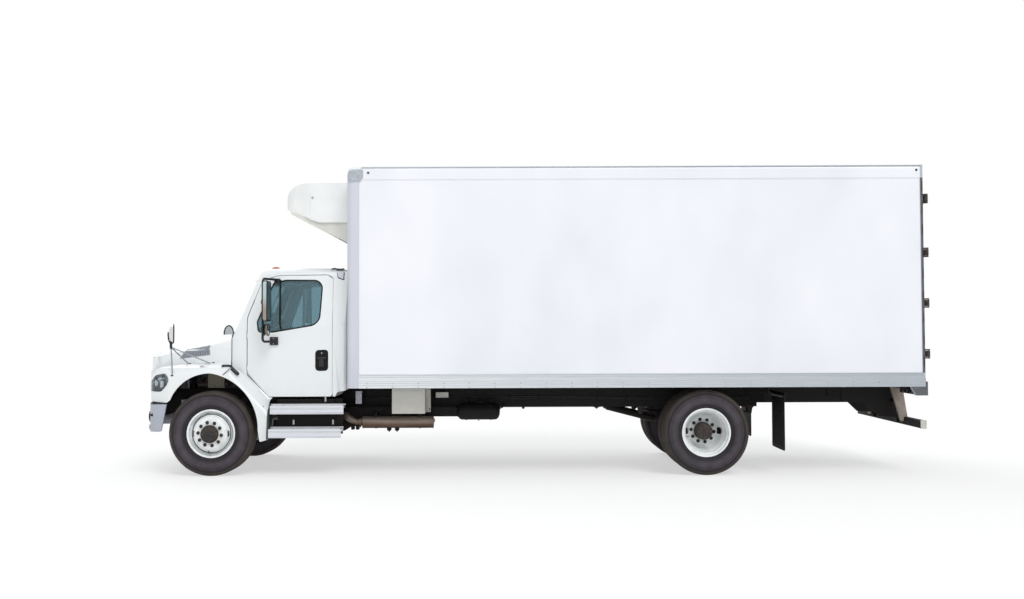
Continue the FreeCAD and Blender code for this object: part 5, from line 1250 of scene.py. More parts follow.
def steps():
    """Two ribbed aluminium treads on each side, on brackets, with splash panels behind."""
    work = Work("Cab_steps", slot="aluminium")
    for low, high, outer, back, front, posts in ((0.757, 0.862, 1.150, -1.636, -0.727, (-1.390,)),
                                                 (0.470, 0.578, 1.200, -1.610, -0.718, (-0.993, -1.484))):
        x0, x1 = ahead(back), ahead(front)
        # an extrusion: a nose with two long flutes, and a flat tread
        nose = ((1.012, high - 0.034), (1.012, high), (outer - 0.008, high), (outer, high - 0.008),
                (outer, high - 0.040), (outer - 0.006, high - 0.045), (outer - 0.006, high - 0.060),
                (outer, high - 0.065), (outer, low + 0.006), (outer - 0.004, low), (outer - 0.018, low),
                (outer - 0.020, low + 0.004), (outer - 0.020, high - 0.034))
        work.plate("tread", nose, "x", x0, x1, 0.0018)
        for y in span(1.035, outer - 0.030, 5):
            work.block("tread", (x0 + 0.02, y - 0.004, high - 0.001), (x1 - 0.02, y + 0.004, high + 0.0035),
                       0.0015, 1)
        # grip holes with raised lips
        for x in span(x0 + 0.07, x1 - 0.07, 12):
            for y in span(1.047, outer - 0.042, 3):
                work.ring("tread", (x, y, high + 0.001), Z, 0.0085, 0.0022, 10, 6)
        # painted shade along the face: a grey line for a groove, and a darker band along its foot
        work.block("cast", (x0 + 0.002, outer - 0.002, high - 0.031),
                   (x1 - 0.002, outer + 0.0006, high - 0.027), 0)
        work.block("post", (x0 + 0.002, outer - 0.002, low + 0.004),
                   (x1 - 0.002, outer + 0.0008, low + 0.026), 0)
        # the upturned back edge with a black strip beside it, painted shade in its channel, and the clamps
        # that hold the tread
        work.block("tread", (x0 - 0.006, 1.014, high - 0.002), (x1 + 0.016, 1.022, high + 0.016), 0.0025)
        work.block("chassis", (x0 + 0.004, 1.024, high - 0.001), (x1 - 0.004, 1.034, high + 0.0022), 0)
        for x in posts:
            work.block("plate", (ahead(x) - 0.011, 1.000, high + 0.020),
                       (ahead(x) + 0.011, 1.012, high + 0.100), 0.003)
            work.block("chassis", (ahead(x) - 0.024, 0.990, high - 0.01),
                       (ahead(x) + 0.024, 1.013, high + 0.045), 0.004)
        for place in (-1.50, -0.90):
            work.plate("chassis", ((0.985, high - 0.035), (outer - 0.030, high - 0.035),
                                   (outer - 0.030, high - 0.050),
                                   (0.985, high - 0.105)), "x", ahead(place), ahead(place) + 0.006, 0.001)
            work.block("chassis", (ahead(place), 0.985, high - 0.041),
                       (ahead(place + 0.05), outer - 0.030, high - 0.035), 0.001, 1)
            work.studs("chassis", [(ahead(place + 0.025), 1.03, high),
                                   (ahead(place + 0.025), outer - 0.05, high)],
                       Z, 0.008, 0.005)
    # splash panels and hose bracket seen between the treads
    work.twin()
    work.plate("chassis", ((ahead(-1.60), 0.50), (ahead(-1.506), 0.50), (ahead(-1.506), 0.94),
                           (ahead(-1.60), 0.94)),
               "y", 0.960, 0.966, 0.002)
    work.studs("chassis", [(ahead(x), 0.966, z) for x in (-1.585, -1.52) for z in (0.53, 0.72, 0.91)], Y,
               0.007, 0.005)
    work.done("cab_steps")


def mudflaps():
    """Moulded flaps with ribs and a clamp bar."""
    work = Work("Mudflaps", slot="rubber")
    x = ahead(-7.060)
    work.plate("rubber", ((0.600, 0.965), (1.200, 0.965), (1.200, 0.330), (1.195, 0.305), (1.175, 0.292),
                          (0.625, 0.292), (0.605, 0.305), (0.600, 0.330)), "x", x - 0.005, x + 0.005, 0.002)
    for y in span(0.64, 1.16, 9):
        work.block("rubber", (x + 0.004, y - 0.006, 0.34), (x + 0.0085, y + 0.006, 0.90), 0.002, 1)
    work.block("chassis", (x - 0.025, 0.62, 0.925), (x - 0.004, 1.18, 0.985), 0.004)
    work.block("chassis", (x + 0.004, 0.62, 0.93), (x + 0.010, 1.18, 0.98), 0.002)
    work.rod("chassis", (x - 0.025, 0.432, 0.985), (x - 0.025, 1.18, 0.985), 0.020, 20, 0.003)
    work.studs("plate", [(x + 0.010, y, 0.955) for y in span(0.66, 1.14, 6)], X, 0.010, 0.007)
    work.studs("plate", [(x - 0.025, y, 0.955) for y in span(0.66, 1.14, 6)], -X, 0.010, 0.007)
    work.block("iron", (x - 0.06, 0.4321, 0.95), (x + 0.01, 0.450, 1.02), 0.004)
    work.twin()
    work.done("mudflaps")


def guard():
    """The rear guard bar with end caps, its struts, a lamp plate and the tail lamps."""
    work = Work("Underride_guard", slot="frame_black")
    work.cad("underride_guard", "chassis", bevel=0.004, rules=(
        ("strut", lambda middle, normal: 0.66 < middle.z < 1.079 and abs(middle.y) > 0.57),))
    for sign in (1, -1):
        work.block("coated", (-4.902, sign * 1.165 - 0.010, 0.556), (-4.828, sign * 1.165 + 0.010, 0.660),
                   0.004)
        for z in (0.72, 0.98):
            work.studs("iron", [(-4.74 - (z - 0.72) * -0.3, sign * 0.620, z)], Y * sign, 0.012, 0.010)
        # lamp panel between strut and bracket: round stop lamp, amber turn lamp, clear reversing lamp
        y0, y1 = sign * 0.66, sign * 1.16
        work.block("chassis", (-4.775, min(y0, y1), 0.975), (-4.765, max(y0, y1), 1.079), 0.003)
        for y, lens in ((1.09, "red"), (0.94, "amber"), (0.80, "clear")):
            place = (-4.775, sign * y, 1.028)
            work.turned("rubber", ((0, 0.050), (0.008, 0.052), (0.012, 0.047), (0.008, 0.044)), place, 32,
                        axis=-X, closed=True)
            work.turned(lens, ((0.002, 0.0455), (0.010, 0.045), (0.017, 0.038), (0.021, 0.022), (0.022, 0)),
                        place, 32, axis=-X)
            work.rod("plastic", (-4.765, sign * y, 1.028), (-4.735, sign * y, 1.028), 0.040, 20, 0.006)
            work.tube("plastic", ((-4.738, sign * y, 1.028), (-4.70, sign * y, 1.04),
                                  (-4.66, sign * (y - 0.05), 1.07)), 0.005, 0.02, 6)
        # red reflectors and a rubber stop on the bar
        work.block("red", (-4.9045, min(sign * 0.94, sign * 1.10), 0.592),
                   (-4.899, max(sign * 0.94, sign * 1.10), 0.624), 0.003)
        work.block("rubber", (-4.918, min(sign * 0.30, sign * 0.46), 0.585),
                   (-4.899, max(sign * 0.30, sign * 0.46), 0.635), 0.008, 3)
    # blank plate with its lamp on the bar
    work.block("coated", (-4.9035, -0.155, 0.572), (-4.900, 0.155, 0.650), 0.0015, 1)
    for y in (-0.089, 0.089):
        work.studs("plate", [(-4.9035, y, 0.608)], -X, 0.0065, 0.004, 12)
    work.block("plastic", (-4.897, -0.035, 0.655), (-4.868, 0.035, 0.680), 0.005)
    # cross tube that steadies the struts
    work.rod("chassis", (-4.74, -0.60, 0.86), (-4.74, 0.60, 0.86), 0.022, 20)
    work.done("underride_guard")


# ---------------------------------------------------------------- van body

FRONT, REAR, HALF, TOP, BASE, DECK = 2.220, -4.847, 1.295, 3.800, 1.081, 1.250


def van_floor():
    """The load floor: ribbed aluminium planks on steel sills."""
    work = Work("Load_floor", slot="aluminium")
    work.cad("van_floor", "chassis", bevel=0.0, rules=(
        ("plate", lambda middle, normal: middle.z > 1.2495),
        ("cast", lambda middle, normal: middle.z > 1.189)))
    for y in span(-1.19, 1.19, 60):
        work.block("plate", (REAR + 0.035, y - 0.006, 1.2495), (2.065, y + 0.006, 1.2535), 0.0015, 1)
    # sill clips bolted to the lower rail's foot, seen from below
    for x in span(REAR + 0.12, 2.02, 17):
        work.studs("plate", [(x, y, BASE) for y in (-1.20, -0.46, 0.46, 1.20)], -Z, 0.010, 0.008)
    # U-bolts and plates tying the body to the frame
    for x in (1.75, 0.60, -0.55, -2.9, -3.95):
        for sign in (1, -1):
            work.block("chassis", (x - 0.055, min(sign * 0.4325, sign * 0.444), 0.90),
                       (x + 0.055, max(sign * 0.4325, sign * 0.444), 1.078), 0.003)
            for step in (-0.03, 0.03):
                work.studs("chassis", [(x + step, sign * 0.444, z) for z in (0.93, 0.98, 1.055)], Y * sign,
                           0.011, 0.009)
    work.done("van_floor")


def rivet_rows(work, finish, rows):
    """Rows of dome rivets, 55 mm apart, along x on the left wall and on the right."""
    pitch, radius, height = 0.055, 0.0042, 0.0022
    for z, y, x0, x1 in rows:
        count = max(2, int((x1 - x0) / pitch) + 1)
        places = [(x, y, z) for x in span(x0, x1, count)]
        work.studs(finish, places, Y, radius, height, sides=8)
        work.studs(finish, [(x, -y, z) for x, y, z in places], -Y, radius, height, sides=8)


def van_walls():
    """Fibreglass sides with their joint strips, the front wall, and a lining with scuff plates."""
    work = Work("Van_walls", slot="panel_white")
    work.cad("van_walls", "panel", bevel=0.002)
    # inside: scuff liner and upright trim strips
    for sign in (1, -1):
        inner = sign * (HALF - 0.068)
        for x in span(REAR + 0.35, 1.95, 12):
            work.block("cast", (x - 0.02, min(inner, inner - sign * 0.006), 1.26),
                       (x + 0.02, max(inner, inner - sign * 0.006), 3.62), 0.002)
        work.block("plate", (REAR + 0.10, min(inner, inner - sign * 0.008), 1.262),
                   (2.06, max(inner, inner - sign * 0.008), 1.56), 0.002)
    # front wall outside: a seam strip on each side of the refrigeration unit and its rivets
    for sign in (1, -1):
        work.block("rail", (FRONT - 0.001, min(sign * 1.02, sign * 1.06), 1.10),
                   (FRONT + 0.003, max(sign * 1.02, sign * 1.06), 3.63), 0.001, 1)
        work.studs("rail", [(FRONT + 0.003, sign * y2, z) for z in span(1.13, 3.60, 40)
                            for y2 in (1.03, 1.05)], X, 0.0045, 0.002, 8)
    work.block("rail", (FRONT - 0.001, -1.17, 1.09), (FRONT + 0.004, 1.17, 1.25), 0.002)
    work.studs("rail", [(FRONT + 0.004, y2, z) for y2 in span(-1.13, 1.13, 36) for z in (1.115, 1.225)], X,
               0.0045, 0.002, 8)
    work.done("van_walls")


def van_roof():
    """The roof skin with its bows and a dome lamp inside."""
    work = Work("Van_roof", slot="panel_white")
    work.cad("van_roof", "panel", bevel=0.002)
    for x in span(REAR + 0.5, 1.7, 11):
        work.block("panel", (x - 0.015, -1.22, TOP - 0.006), (x + 0.015, 1.22, TOP - 0.002), 0.0015, 1)
        work.block("cast", (x - 0.022, -1.21, TOP - 0.072), (x + 0.022, 1.21, TOP - 0.060), 0.003)
    for x in (-3.0, -0.4):
        work.block("clear", (x - 0.09, -0.06, TOP - 0.088), (x + 0.09, 0.06, TOP - 0.072), 0.006, 3)
    work.done("van_roof")


def van_rails():
    """Extruded rails: the ribbed lower rails with bolts, and the top ring with its drip edge."""
    work = Work("Body_rails", slot="rail_grey")
    work.cad("body_rails", "rail", bevel=0.0015, rules=(
        ("panel", lambda middle, normal: middle.z > 3.6 and abs(normal.z) < 0.6),))
    x0, x1 = REAR + 0.032, FRONT - 0.152
    for z, thick, proud in ((1.0835, 0.006, 0.0040), (1.104, 0.004, 0.0022), (1.128, 0.004, 0.0022),
                            (1.152, 0.004, 0.0022), (1.176, 0.004, 0.0022), (1.200, 0.004, 0.0022),
                            (1.228, 0.010, 0.0042), (1.2465, 0.006, 0.0050)):
        work.both("rail", (x0, HALF - 0.001, z - thick / 2), (x1, HALF + proud, z + thick / 2), 0.001, 1)
    # painted shade: grey lines in the grooves between the ribs
    for z in (1.1165, 1.1400, 1.1640, 1.2145, 1.2375):
        work.both("cast", (x0, HALF - 0.002, z - 0.0016), (x1, HALF + 0.0006, z + 0.0016), 0)
    bolts = [(ahead(-2.259) - 0.3125 * index, HALF, z) for index in range(-1, 21) for z in (1.091, 1.140)]
    work.studs("cast", bolts, Y, 0.0085, 0.0055)
    work.studs("cast", [(x, -y, z) for x, y, z in bolts], -Y, 0.0085, 0.0055)
    # panel joint moulding and rivets over the lower rail, and at the top rail's foot
    for low, high, proud in ((1.2505, 1.262, 0.0015), (3.628, 3.641, 0.0025)):
        work.both("panel", (x0, HALF - 0.010, low), (x1, HALF - 0.007 + proud, high), 0.001, 1)
    rivet_rows(work, "panel", ((1.2565, HALF - 0.0055, x0 + 0.03, x1 - 0.03),
                               (3.6345, HALF - 0.0045, x0 + 0.03, x1 - 0.03),
                               (3.665, HALF, x0 + 0.03, x1 - 0.03)))
    # drip edge along the top with a warm shadow line under it
    work.both("rail", (x0, HALF - 0.012, TOP - 0.012), (x1 - 0.02, HALF + 0.001, TOP - 0.001), 0.003)
    work.both("cast", (x0, HALF - 0.003, TOP - 0.0155), (x1 - 0.03, HALF + 0.0006, TOP - 0.0135), 0)
    # plugs behind the front caps and at the rear end
    for sign in (1, -1):
        for x, z in ((1.955, 3.722), (REAR + 0.075, 3.735)):
            work.turned("plastic", ((-0.002, 0.014), (0.004, 0.014), (0.008, 0.010), (0.009, 0)),
                        (x, sign * HALF, z), 16, axis=Y * sign)
    work.studs("rail", [(FRONT, y, 3.668) for y in span(-1.17, 1.17, 44)], X, 0.0045, 0.0022, 8)
    work.done("body_rails")


def corner_posts():
    """Front corner posts and the cast caps over their heads."""
    work = Work("Corner_posts", slot="rail_grey")
    work.cad("corner_posts", "post", bevel=0.002, rules=(
        ("cast", lambda middle, normal: middle.z > 3.5 and abs(middle.y) > HALF - 0.001),))
    heads = [(x, HALF, z) for z in span(1.30, 3.56, 46) for x in (FRONT - 0.140,)]
    work.studs("post", heads, Y, 0.0045, 0.0024, 8)
    work.studs("post", [(x, -y, z) for x, y, z in heads], -Y, 0.0045, 0.0024, 8)
    nose = [(FRONT, sign * (HALF - 0.105), z) for z in span(1.13, 3.60, 46) for sign in (1, -1)]
    work.studs("post", nose, X, 0.0045, 0.0024, 8)
    work.both("post", (FRONT - 0.1515, HALF - 0.003, 1.084), (FRONT - 0.146, HALF + 0.0022, 3.638), 0.001, 1)
    for x, z in ((-0.060, 3.735), (-0.035, 3.64), (-0.175, 3.740), (-0.165, 3.665)):
        for sign in (1, -1):
            work.studs("cast", [(FRONT + x, sign * (HALF + 0.004), z)], Y * sign, 0.010, 0.005, 12)
    work.done("corner_posts")


def rear_portal():
    """The rear door frame with lamps, hinge ears, buffers and its threshold."""
    work = Work("Rear_portal", slot="rail_grey")
    work.cad("rear_portal", "portal", bevel=0.003, rules=(
        ("rail", lambda middle, normal: middle.z < BASE - 0.002),
        ("iron", lambda middle, normal: middle.x < REAR - 0.001 and abs(middle.y) > 1.2),
        ("trim", lambda middle, normal: abs(normal.y) > 0.9 and abs(middle.y) > HALF - 0.001)))
    for low, high in ((BASE, DECK), (3.640, TOP - 0.004)):
        work.both("rail", (REAR + 0.0005, HALF - 0.001, low), (REAR + 0.031, HALF + 0.0025, high), 0.0015)
    # header lamps, in a recessed strip
    work.block("portal", (REAR - 0.006, -0.42, 3.735), (REAR + 0.002, 0.42, 3.785), 0.003)
    for y in (-1.15, -0.28, 0.0, 0.28, 1.15):
        work.block("rubber", (REAR - 0.010, y - 0.056, 3.740), (REAR - 0.004, y + 0.056, 3.780), 0.003)
        work.block("red", (REAR - 0.020, y - 0.047, 3.747), (REAR - 0.008, y + 0.047, 3.773), 0.006, 3)
    # sill: checker threshold, buffers and step
    work.block("plate", (REAR - 0.006, -1.22, 1.222), (REAR + 0.028, 1.22, 1.2525), 0.002)
    work.studs("plate", [(REAR - 0.006, y, 1.235) for y in span(-1.18, 1.18, 22)], -X, 0.006, 0.003, 8)
    for sign in (1, -1):
        work.block("rubber", (REAR - 0.045, min(sign * 0.98, sign * 1.20), 1.098),
                   (REAR + 0.001, max(sign * 0.98, sign * 1.20), 1.190), 0.012, 3)
        work.studs("plate", [(REAR - 0.045, sign * 1.03, 1.144), (REAR - 0.045, sign * 1.15, 1.144)], -X,
                   0.012, 0.004)
        work.block("red", (REAR - 0.012, min(sign * 0.60, sign * 0.72), 1.125),
                   (REAR - 0.001, max(sign * 0.60, sign * 0.72), 1.165), 0.004)
        # segments of hinge and guide seen edge-on down the corner
        for z in span(1.32, 3.48, 9):
            work.block("iron", (REAR + 0.002, min(sign * HALF, sign * (HALF + 0.003)), z),
                       (REAR + 0.014, max(sign * HALF, sign * (HALF + 0.003)), z + 0.12), 0.001, 1)
        # header guides for the lock rods
        for y in (0.28, 0.93):
            work.block("cast", (REAR - 0.044, sign * y - 0.035, 3.706),
                       (REAR - 0.001, sign * y + 0.035, 3.728), 0.004)
            work.block("cast", (REAR - 0.044, sign * y - 0.035, 1.200),
                       (REAR - 0.001, sign * y + 0.035, 1.222), 0.004)
    # grab step below the sill
    work.tube("chassis", ((REAR + 0.03, -0.40, 1.08), (REAR + 0.03, -0.40, 0.92), (REAR + 0.03, 0.40, 0.92),
                          (REAR + 0.03, 0.40, 1.08)), 0.014, 0.05, 12)
    work.done("rear_portal")


def cargo_doors():
    """Rear doors: gel-coated panels with gaskets, strap hinges, lock rods, handles and hasps."""
    for side, sign in SIDES:
        work = Work(f"Cargo_door_{side}", f"cargo_door_{side}", "panel_white")
        work.cad("rear_door_left", "panel", bevel=0.002, rules=(
            ("iron", lambda middle, normal: middle.x < REAR - 0.001 and middle.y > 1.2),
            ("cast", lambda middle, normal: middle.x < REAR - 0.001),
            ("cast", lambda middle, normal: middle.y > 1.2175)))
        # black gasket standing round the edge, and an inner liner panel
        for a, b in (((REAR + 0.058, 0.012, 1.264), (REAR + 0.078, 0.042, 3.676)),
                     ((REAR + 0.058, 1.180, 1.264), (REAR + 0.078, 1.210, 3.676)),
                     ((REAR + 0.058, 0.012, 1.264), (REAR + 0.078, 1.210, 1.294)),
                     ((REAR + 0.058, 0.012, 3.646), (REAR + 0.078, 1.210, 3.676))):
            work.block("rubber", a, b, 0.006)
        work.block("panel", (REAR + 0.058, 0.06, 1.32), (REAR + 0.068, 1.16, 3.62), 0.004)
        work.studs("cast", [(REAR + 0.068, y, z) for y in (0.09, 0.61, 1.13) for z in span(1.36, 3.58, 8)], X,
                   0.007, 0.003, 10)
        # aluminium edge trim on the outside
        for a, b in (((REAR - 0.003, 0.008, 1.260), (REAR + 0.001, 0.034, 3.680)),
                     ((REAR - 0.003, 1.190, 1.260), (REAR + 0.001, 1.215, 3.680)),
                     ((REAR - 0.003, 0.008, 1.260), (REAR + 0.001, 1.215, 1.290)),
                     ((REAR - 0.003, 0.008, 3.652), (REAR + 0.001, 1.215, 3.680))):
            work.block("rail", a, b, 0.001, 1)
        work.studs("rail", [(REAR - 0.003, y, z) for y in (0.021, 1.202) for z in span(1.30, 3.64, 26)], -X,
                   0.0045, 0.002, 8)
        # centre overlap seal of the left door
        if sign > 0:
            work.block("rubber", (REAR - 0.004, -0.004, 1.270), (REAR + 0.004, 0.012, 3.670), 0.003)
        # lock rods: bearings with bolts, cams top and bottom, handle and hasp
        for index, y in enumerate((0.280, 0.930)):
            for z in (1.34, 1.97, 2.57, 3.17, 3.64):
                work.studs("plate", [(REAR - 0.042, y + step, z) for step in (-0.021, 0.021)], -X, 0.006,
                           0.004)
            for z in (1.285, 3.655):
                work.plate("cast", ((REAR - 0.044, z - 0.016), (REAR - 0.008, z - 0.016),
                                    (REAR - 0.008, z + 0.004),
                                    (REAR - 0.030, z + 0.012), (REAR - 0.044, z + 0.012)), "y", y - 0.018,
                           y + 0.018, 0.003)
            level = 1.62
            work.block("cast", (REAR - 0.050, y - 0.016, level - 0.05),
                       (REAR - 0.036, y + 0.016, level + 0.05), 0.004)
            swing = -1 if index else 1
            work.tube("cast", ((REAR - 0.046, y, level), (REAR - 0.046, y + swing * 0.26, level),
                               (REAR - 0.046, y + swing * 0.34, level - 0.02)), 0.008, 0.05, 10)
            work.block("plate", (REAR - 0.026, y + swing * 0.30 - 0.03, level - 0.04),
                       (REAR - 0.001, y + swing * 0.30 + 0.03, level + 0.03), 0.004)
            work.block("plastic", (REAR - 0.040, y + swing * 0.30 - 0.012, level - 0.06),
                       (REAR - 0.028, y + swing * 0.30 + 0.012, level - 0.005), 0.003)
        # hinge strap bolts
        for z in (1.48, 2.10, 2.72, 3.38):
            work.studs("plate", [(REAR - 0.010, y, z + step) for y in (0.99, 1.06, 1.14)
                                 for step in (-0.02, 0.02)], -X, 0.008, 0.004)
        # hold-back hook and lower reflector
        work.block("red", (REAR - 0.006, 1.06, 1.31), (REAR - 0.002, 1.17, 1.345), 0.002)
        work.tube("plate", ((REAR - 0.002, 0.62, 1.38), (REAR - 0.03, 0.62, 1.38), (REAR - 0.03, 0.62, 1.45)),
                  0.005, 0.01, 8)
        work.done(f"rear_door_{side}", side=sign)


def refrigeration():
    """The refrigeration unit: split housing, side grilles, condenser, latches and tray."""
    work = Work("Refrigeration_unit", slot="panel_white")
    work.cad("refrigeration_unit", "unit", bevel=0.006, segments=3)
    # a rounded lip along the foot of the housing, a seam near the nose, and quarter-turn fasteners
    lip = ((2.985, 3.294), (2.632, 3.162), (FRONT + 0.010, 3.162))
    for sign in (1, -1):
        work.tube("unit", [(x, sign * (0.890 - 0.105 * max(0, (x - 2.765) / 0.30)), z) for x, z in lip],
                  0.009, 0.06, 10)
        for x, z, radius in ((2.714, 3.470, 0.016), (2.262, 3.590, 0.010), (2.262, 3.205, 0.010)):
            work.rod("cast", (x, sign * 0.898, z), (x, sign * 0.904, z), radius, 14, 0.002)
        work.block("tray", (2.745, sign * 0.897 - 0.004, 3.25), (2.749, sign * 0.897 + 0.004, 3.53), 0)
    # split line all round the housing and top fasteners
    work.studs("tray", [(2.30, y, 3.655) for y in span(-0.80, 0.80, 7)] + [(2.66, y, 3.655)
                                                                           for y in span(-0.70, 0.70, 6)],
               Z, 0.011, 0.004, 12)
    # front face: air inlet with slats, a centre rib and fasteners
    for z in span(3.36, 3.50, 8):
        nose = surface("refrigeration_unit", (5.0, 0, z), -X).x
        work.block("plastic", (nose - 0.05, -0.52, z), (nose + 0.0015, 0.52, z + 0.007), 0.001, 1)
    for y in (-0.53, 0.53):
        work.block("unit", (3.04, y - 0.012, 3.345), (3.092, y + 0.012, 3.510), 0.006)
    # condenser fan guards on top
    for y in (-0.38, 0.38):
        for radius in (0.05, 0.09, 0.13, 0.17):
            work.ring("plastic", (2.50, y, 3.659), Z, radius, 0.0035, 36, 6)
        work.rod("plastic", (2.50, y, 3.64), (2.50, y, 3.6545), 0.185, 40)
        for index in range(6):
            turn = Matrix.Translation((2.50, y, 3.66)) @ Matrix.Rotation(index * pi / 6, 4, "Z")
            work.block("plastic", (-0.175, -0.003, -0.003), (0.175, 0.003, 0.003), 0, 1, turn)
        work.rod("tray", (2.50, y, 3.64), (2.50, y, 3.6635), 0.038, 24, 0.003)
    work.done("refrigeration_unit")

    work = Work("Refrigeration_tray", slot="trim_grey")
    work.cad("refrigeration_tray", "tray", bevel=0.010, segments=3)
    # slats in the underside and the drain and lines down the wall
    for index in range(7):
        x = 2.40 + index * 0.07
        z = 2.905 + (x - 2.275) / 0.665 * 0.372 - 0.004
        work.block("trim", (x, -0.60, z - 0.004), (x + 0.03, 0.60, z + 0.006), 0.003)
    for y, radius in ((0.62, 0.020), (0.56, 0.014), (0.50, 0.010)):
        work.tube("rubber", ((2.30, y, 2.92), (2.245, y, 2.86), (2.245, y, 1.30), (2.20, y, 1.16)), radius,
                  0.04, 12)
    for z in span(1.45, 2.75, 5):
        work.block("plate", (2.2201, 0.475, z), (2.272, 0.655, z + 0.018), 0.004)
    work.done("refrigeration_tray")


# ---------------------------------------------------------------- cab

def cab():
    """The cab shell: flanges, drip rails, roof lamps, wipers, cowl, trim and lining."""
    work = Work("Cab_shell", slot="white_paint")
    inside = lambda middle, normal: (abs(middle.y) < 0.962 and ahead(-1.588) < middle.x < ahead(-0.20)
                                     and 1.0 < middle.z < 2.525)
    work.cad("cab_shell", "cab", bevel=0.0, rules=(
        ("trim", lambda middle, normal: inside(middle, normal) and (
            abs(middle.y) < 0.93 and normal.dot(Vector((ahead(-0.9) - middle.x, -middle.y,
                                                        1.8 - middle.z))) > 0)),
        ("chassis", lambda middle, normal: middle.z < 1.06 and normal.z < -0.5)))
    # roof: two amber clearance lamps at the sides and three in the middle, on rubber bases
    for x, y, z in ((-0.72, 0.80, 2.578), (-0.72, -0.80, 2.578), (-0.66, 0.20, 2.588), (-0.66, 0.0, 2.590),
                    (-0.66, -0.20, 2.588)):
        work.ball("rubber", (ahead(x), y, z - 0.004), (0.056, 0.028, 0.010), 20)
        work.ball("amber", (ahead(x), y, z + 0.002), (0.048, 0.022, 0.020), 20)
    # rain gutter over each door and round the roof's back
    for sign in (1, -1):
        work.tube("cab", ((ahead(-0.50), sign * 0.948, 2.405), (ahead(-0.60), sign * 0.930, 2.470),
                          (ahead(-0.78), sign * 0.912, 2.520),
                          (ahead(-1.40), sign * 0.908, 2.528), (ahead(-1.52), sign * 0.912, 2.505)), 0.0075,
                  0.12, 8)
        # door gap seal along the sill, and a pale strip round the rest of the gap, painted light that keeps
        # the gap from reading dark
        work.block("rubber", (ahead(-1.46), sign * 0.965 - 0.012, 0.955),
                   (ahead(-0.70), sign * 0.965 + 0.012, 0.966), 0.004)
        gap = []
        for x, z, dx, dz in ((-1.4765, 1.00, -0.02, 0), (-1.4765, 1.60, -0.02, 0), (-1.4765, 2.00, -0.02, 0),
                             (-1.4765, 2.43, -0.02, 0),
                             (-1.450, 2.475, -0.02, 0.015), (-1.400, 2.491, 0, 0.02), (-1.10, 2.489, 0, 0.02),
                             (-0.78, 2.484, 0, 0.02),
                             (-0.68, 2.460, 0, 0.02), (-0.583, 2.405, 0.02, 0.01), (-0.500, 2.180, 0.02, 0)):
            shell = surface("cab_shell", (ahead(x + dx), 2.0, z + dz), -Y)
            gap.append((ahead(x), sign * (shell.y - 0.006), z))
        work.tube("tray", gap, 0.0055, 0.03, 8, 3)
        # air hose over the roof's rear corner, and its bracket on the side
        hose = [surface("cab_shell", (ahead(x), 0.88, 3.0), -Z)
                for x in (-1.440, -1.475, -1.510, -1.555, -1.600)]
        lift = (0.006, 0.016, 0.008, 0.004, 0.012)
        work.tube("chassis", [(spot.x, sign * spot.y, spot.z + up) for spot, up in zip(hose, lift)], 0.008,
                  0.012, 8)
    for finish, outline, lift in (
            ("chassis", ((-1.505, 2.552), (-1.612, 2.548), (-1.612, 2.425), (-1.590, 2.425), (-1.530, 2.450)),
             0.001),
            ("post", ((-1.514, 2.540), (-1.600, 2.536), (-1.600, 2.438), (-1.588, 2.438), (-1.535, 2.462)),
             0.004)):
        work.laid(finish, [(ahead(x), z) for x, z in outline], "cab_shell", lift, 0.003)
        work.laid(finish, [(ahead(x), z) for x, z in reversed(outline)], "cab_shell", lift, 0.003, side=-1)
    # cowl grille at the foot of the screen and three wiper arms
    for y in span(-0.78, 0.78, 27):
        bow = ahead(-0.075) - 0.155 * (y / 1.02) ** 2
        work.block("plastic", (bow - 0.030, y - 0.020, 1.700), (bow + 0.001, y + 0.020, 1.706), 0.002, 1)
    for y, reach in ((0.62, -0.50), (0.08, -0.46), (-0.46, -0.40)):
        bow = ahead(-0.080) - 0.155 * (y / 1.02) ** 2
        work.rod("plastic", (bow - 0.002, y, 1.715), (bow + 0.028, y, 1.722), 0.016, 16, 0.004)
        far = y + reach * 0.55
        back = ahead(-0.080) - 0.155 * (far / 1.02) ** 2
        work.tube("plastic", ((bow + 0.024, y, 1.722), (back + 0.014 - 0.05, far, 1.840)), 0.006, 0.02, 8)
        tip = y + reach * 1.02
        end = ahead(-0.080) - 0.155 * (tip / 1.02) ** 2
        near = ahead(-0.080) - 0.155 * ((y + reach * 0.08) / 1.02) ** 2
        work.tube("rubber", ((near + 0.008 - 0.022, y + reach * 0.08, 1.768),
                             (end + 0.008 - 0.088, tip, 1.905)), 0.006, 0.02, 6)
    # back wall: pressed ribs and vents
    x = 2.265
    for y in (-0.80, -0.60, 0.60, 0.80):
        work.block("cab", (x - 0.004, y - 0.035, 1.12), (x + 0.002, y + 0.035, 2.30), 0.004)
    for z in span(1.20, 1.60, 4):
        work.block("cab", (x - 0.004, -0.44, z), (x + 0.002, 0.44, z + 0.05), 0.004)
    for sign in (1, -1):
        for z in span(1.90, 2.02, 6):
            work.block("plastic", (x - 0.003, sign * 0.70 - 0.06, z),
                       (x + 0.001, sign * 0.70 + 0.06, z + 0.010), 0.001, 1)
    # antenna and a dark wiper spindle cover by the screen's corner
    work.rod("plastic", (ahead(-0.20), -0.93, 1.70), (ahead(-0.20), -0.93, 1.74), 0.014, 12, 0.003)
    work.rod("plastic", (ahead(-0.20), -0.93, 1.73), (ahead(-0.30), -0.95, 2.45), 0.0035, 8, 0, 0.0015)
    # sun visor edge under the roof's front, inside; headliner console
    work.block("trim", (ahead(-0.72), -0.74, 2.42), (ahead(-0.56), -0.06, 2.436), 0.006)
    work.block("trim", (ahead(-0.72), 0.06, 2.42), (ahead(-0.56), 0.74, 2.436), 0.006)
    work.block("trim", (ahead(-1.10), -0.25, 2.455), (ahead(-0.74), 0.25, 2.525), 0.03, 3)
    work.block("clear", (ahead(-1.00), -0.06, 2.449), (ahead(-0.88), 0.06, 2.457), 0.003)
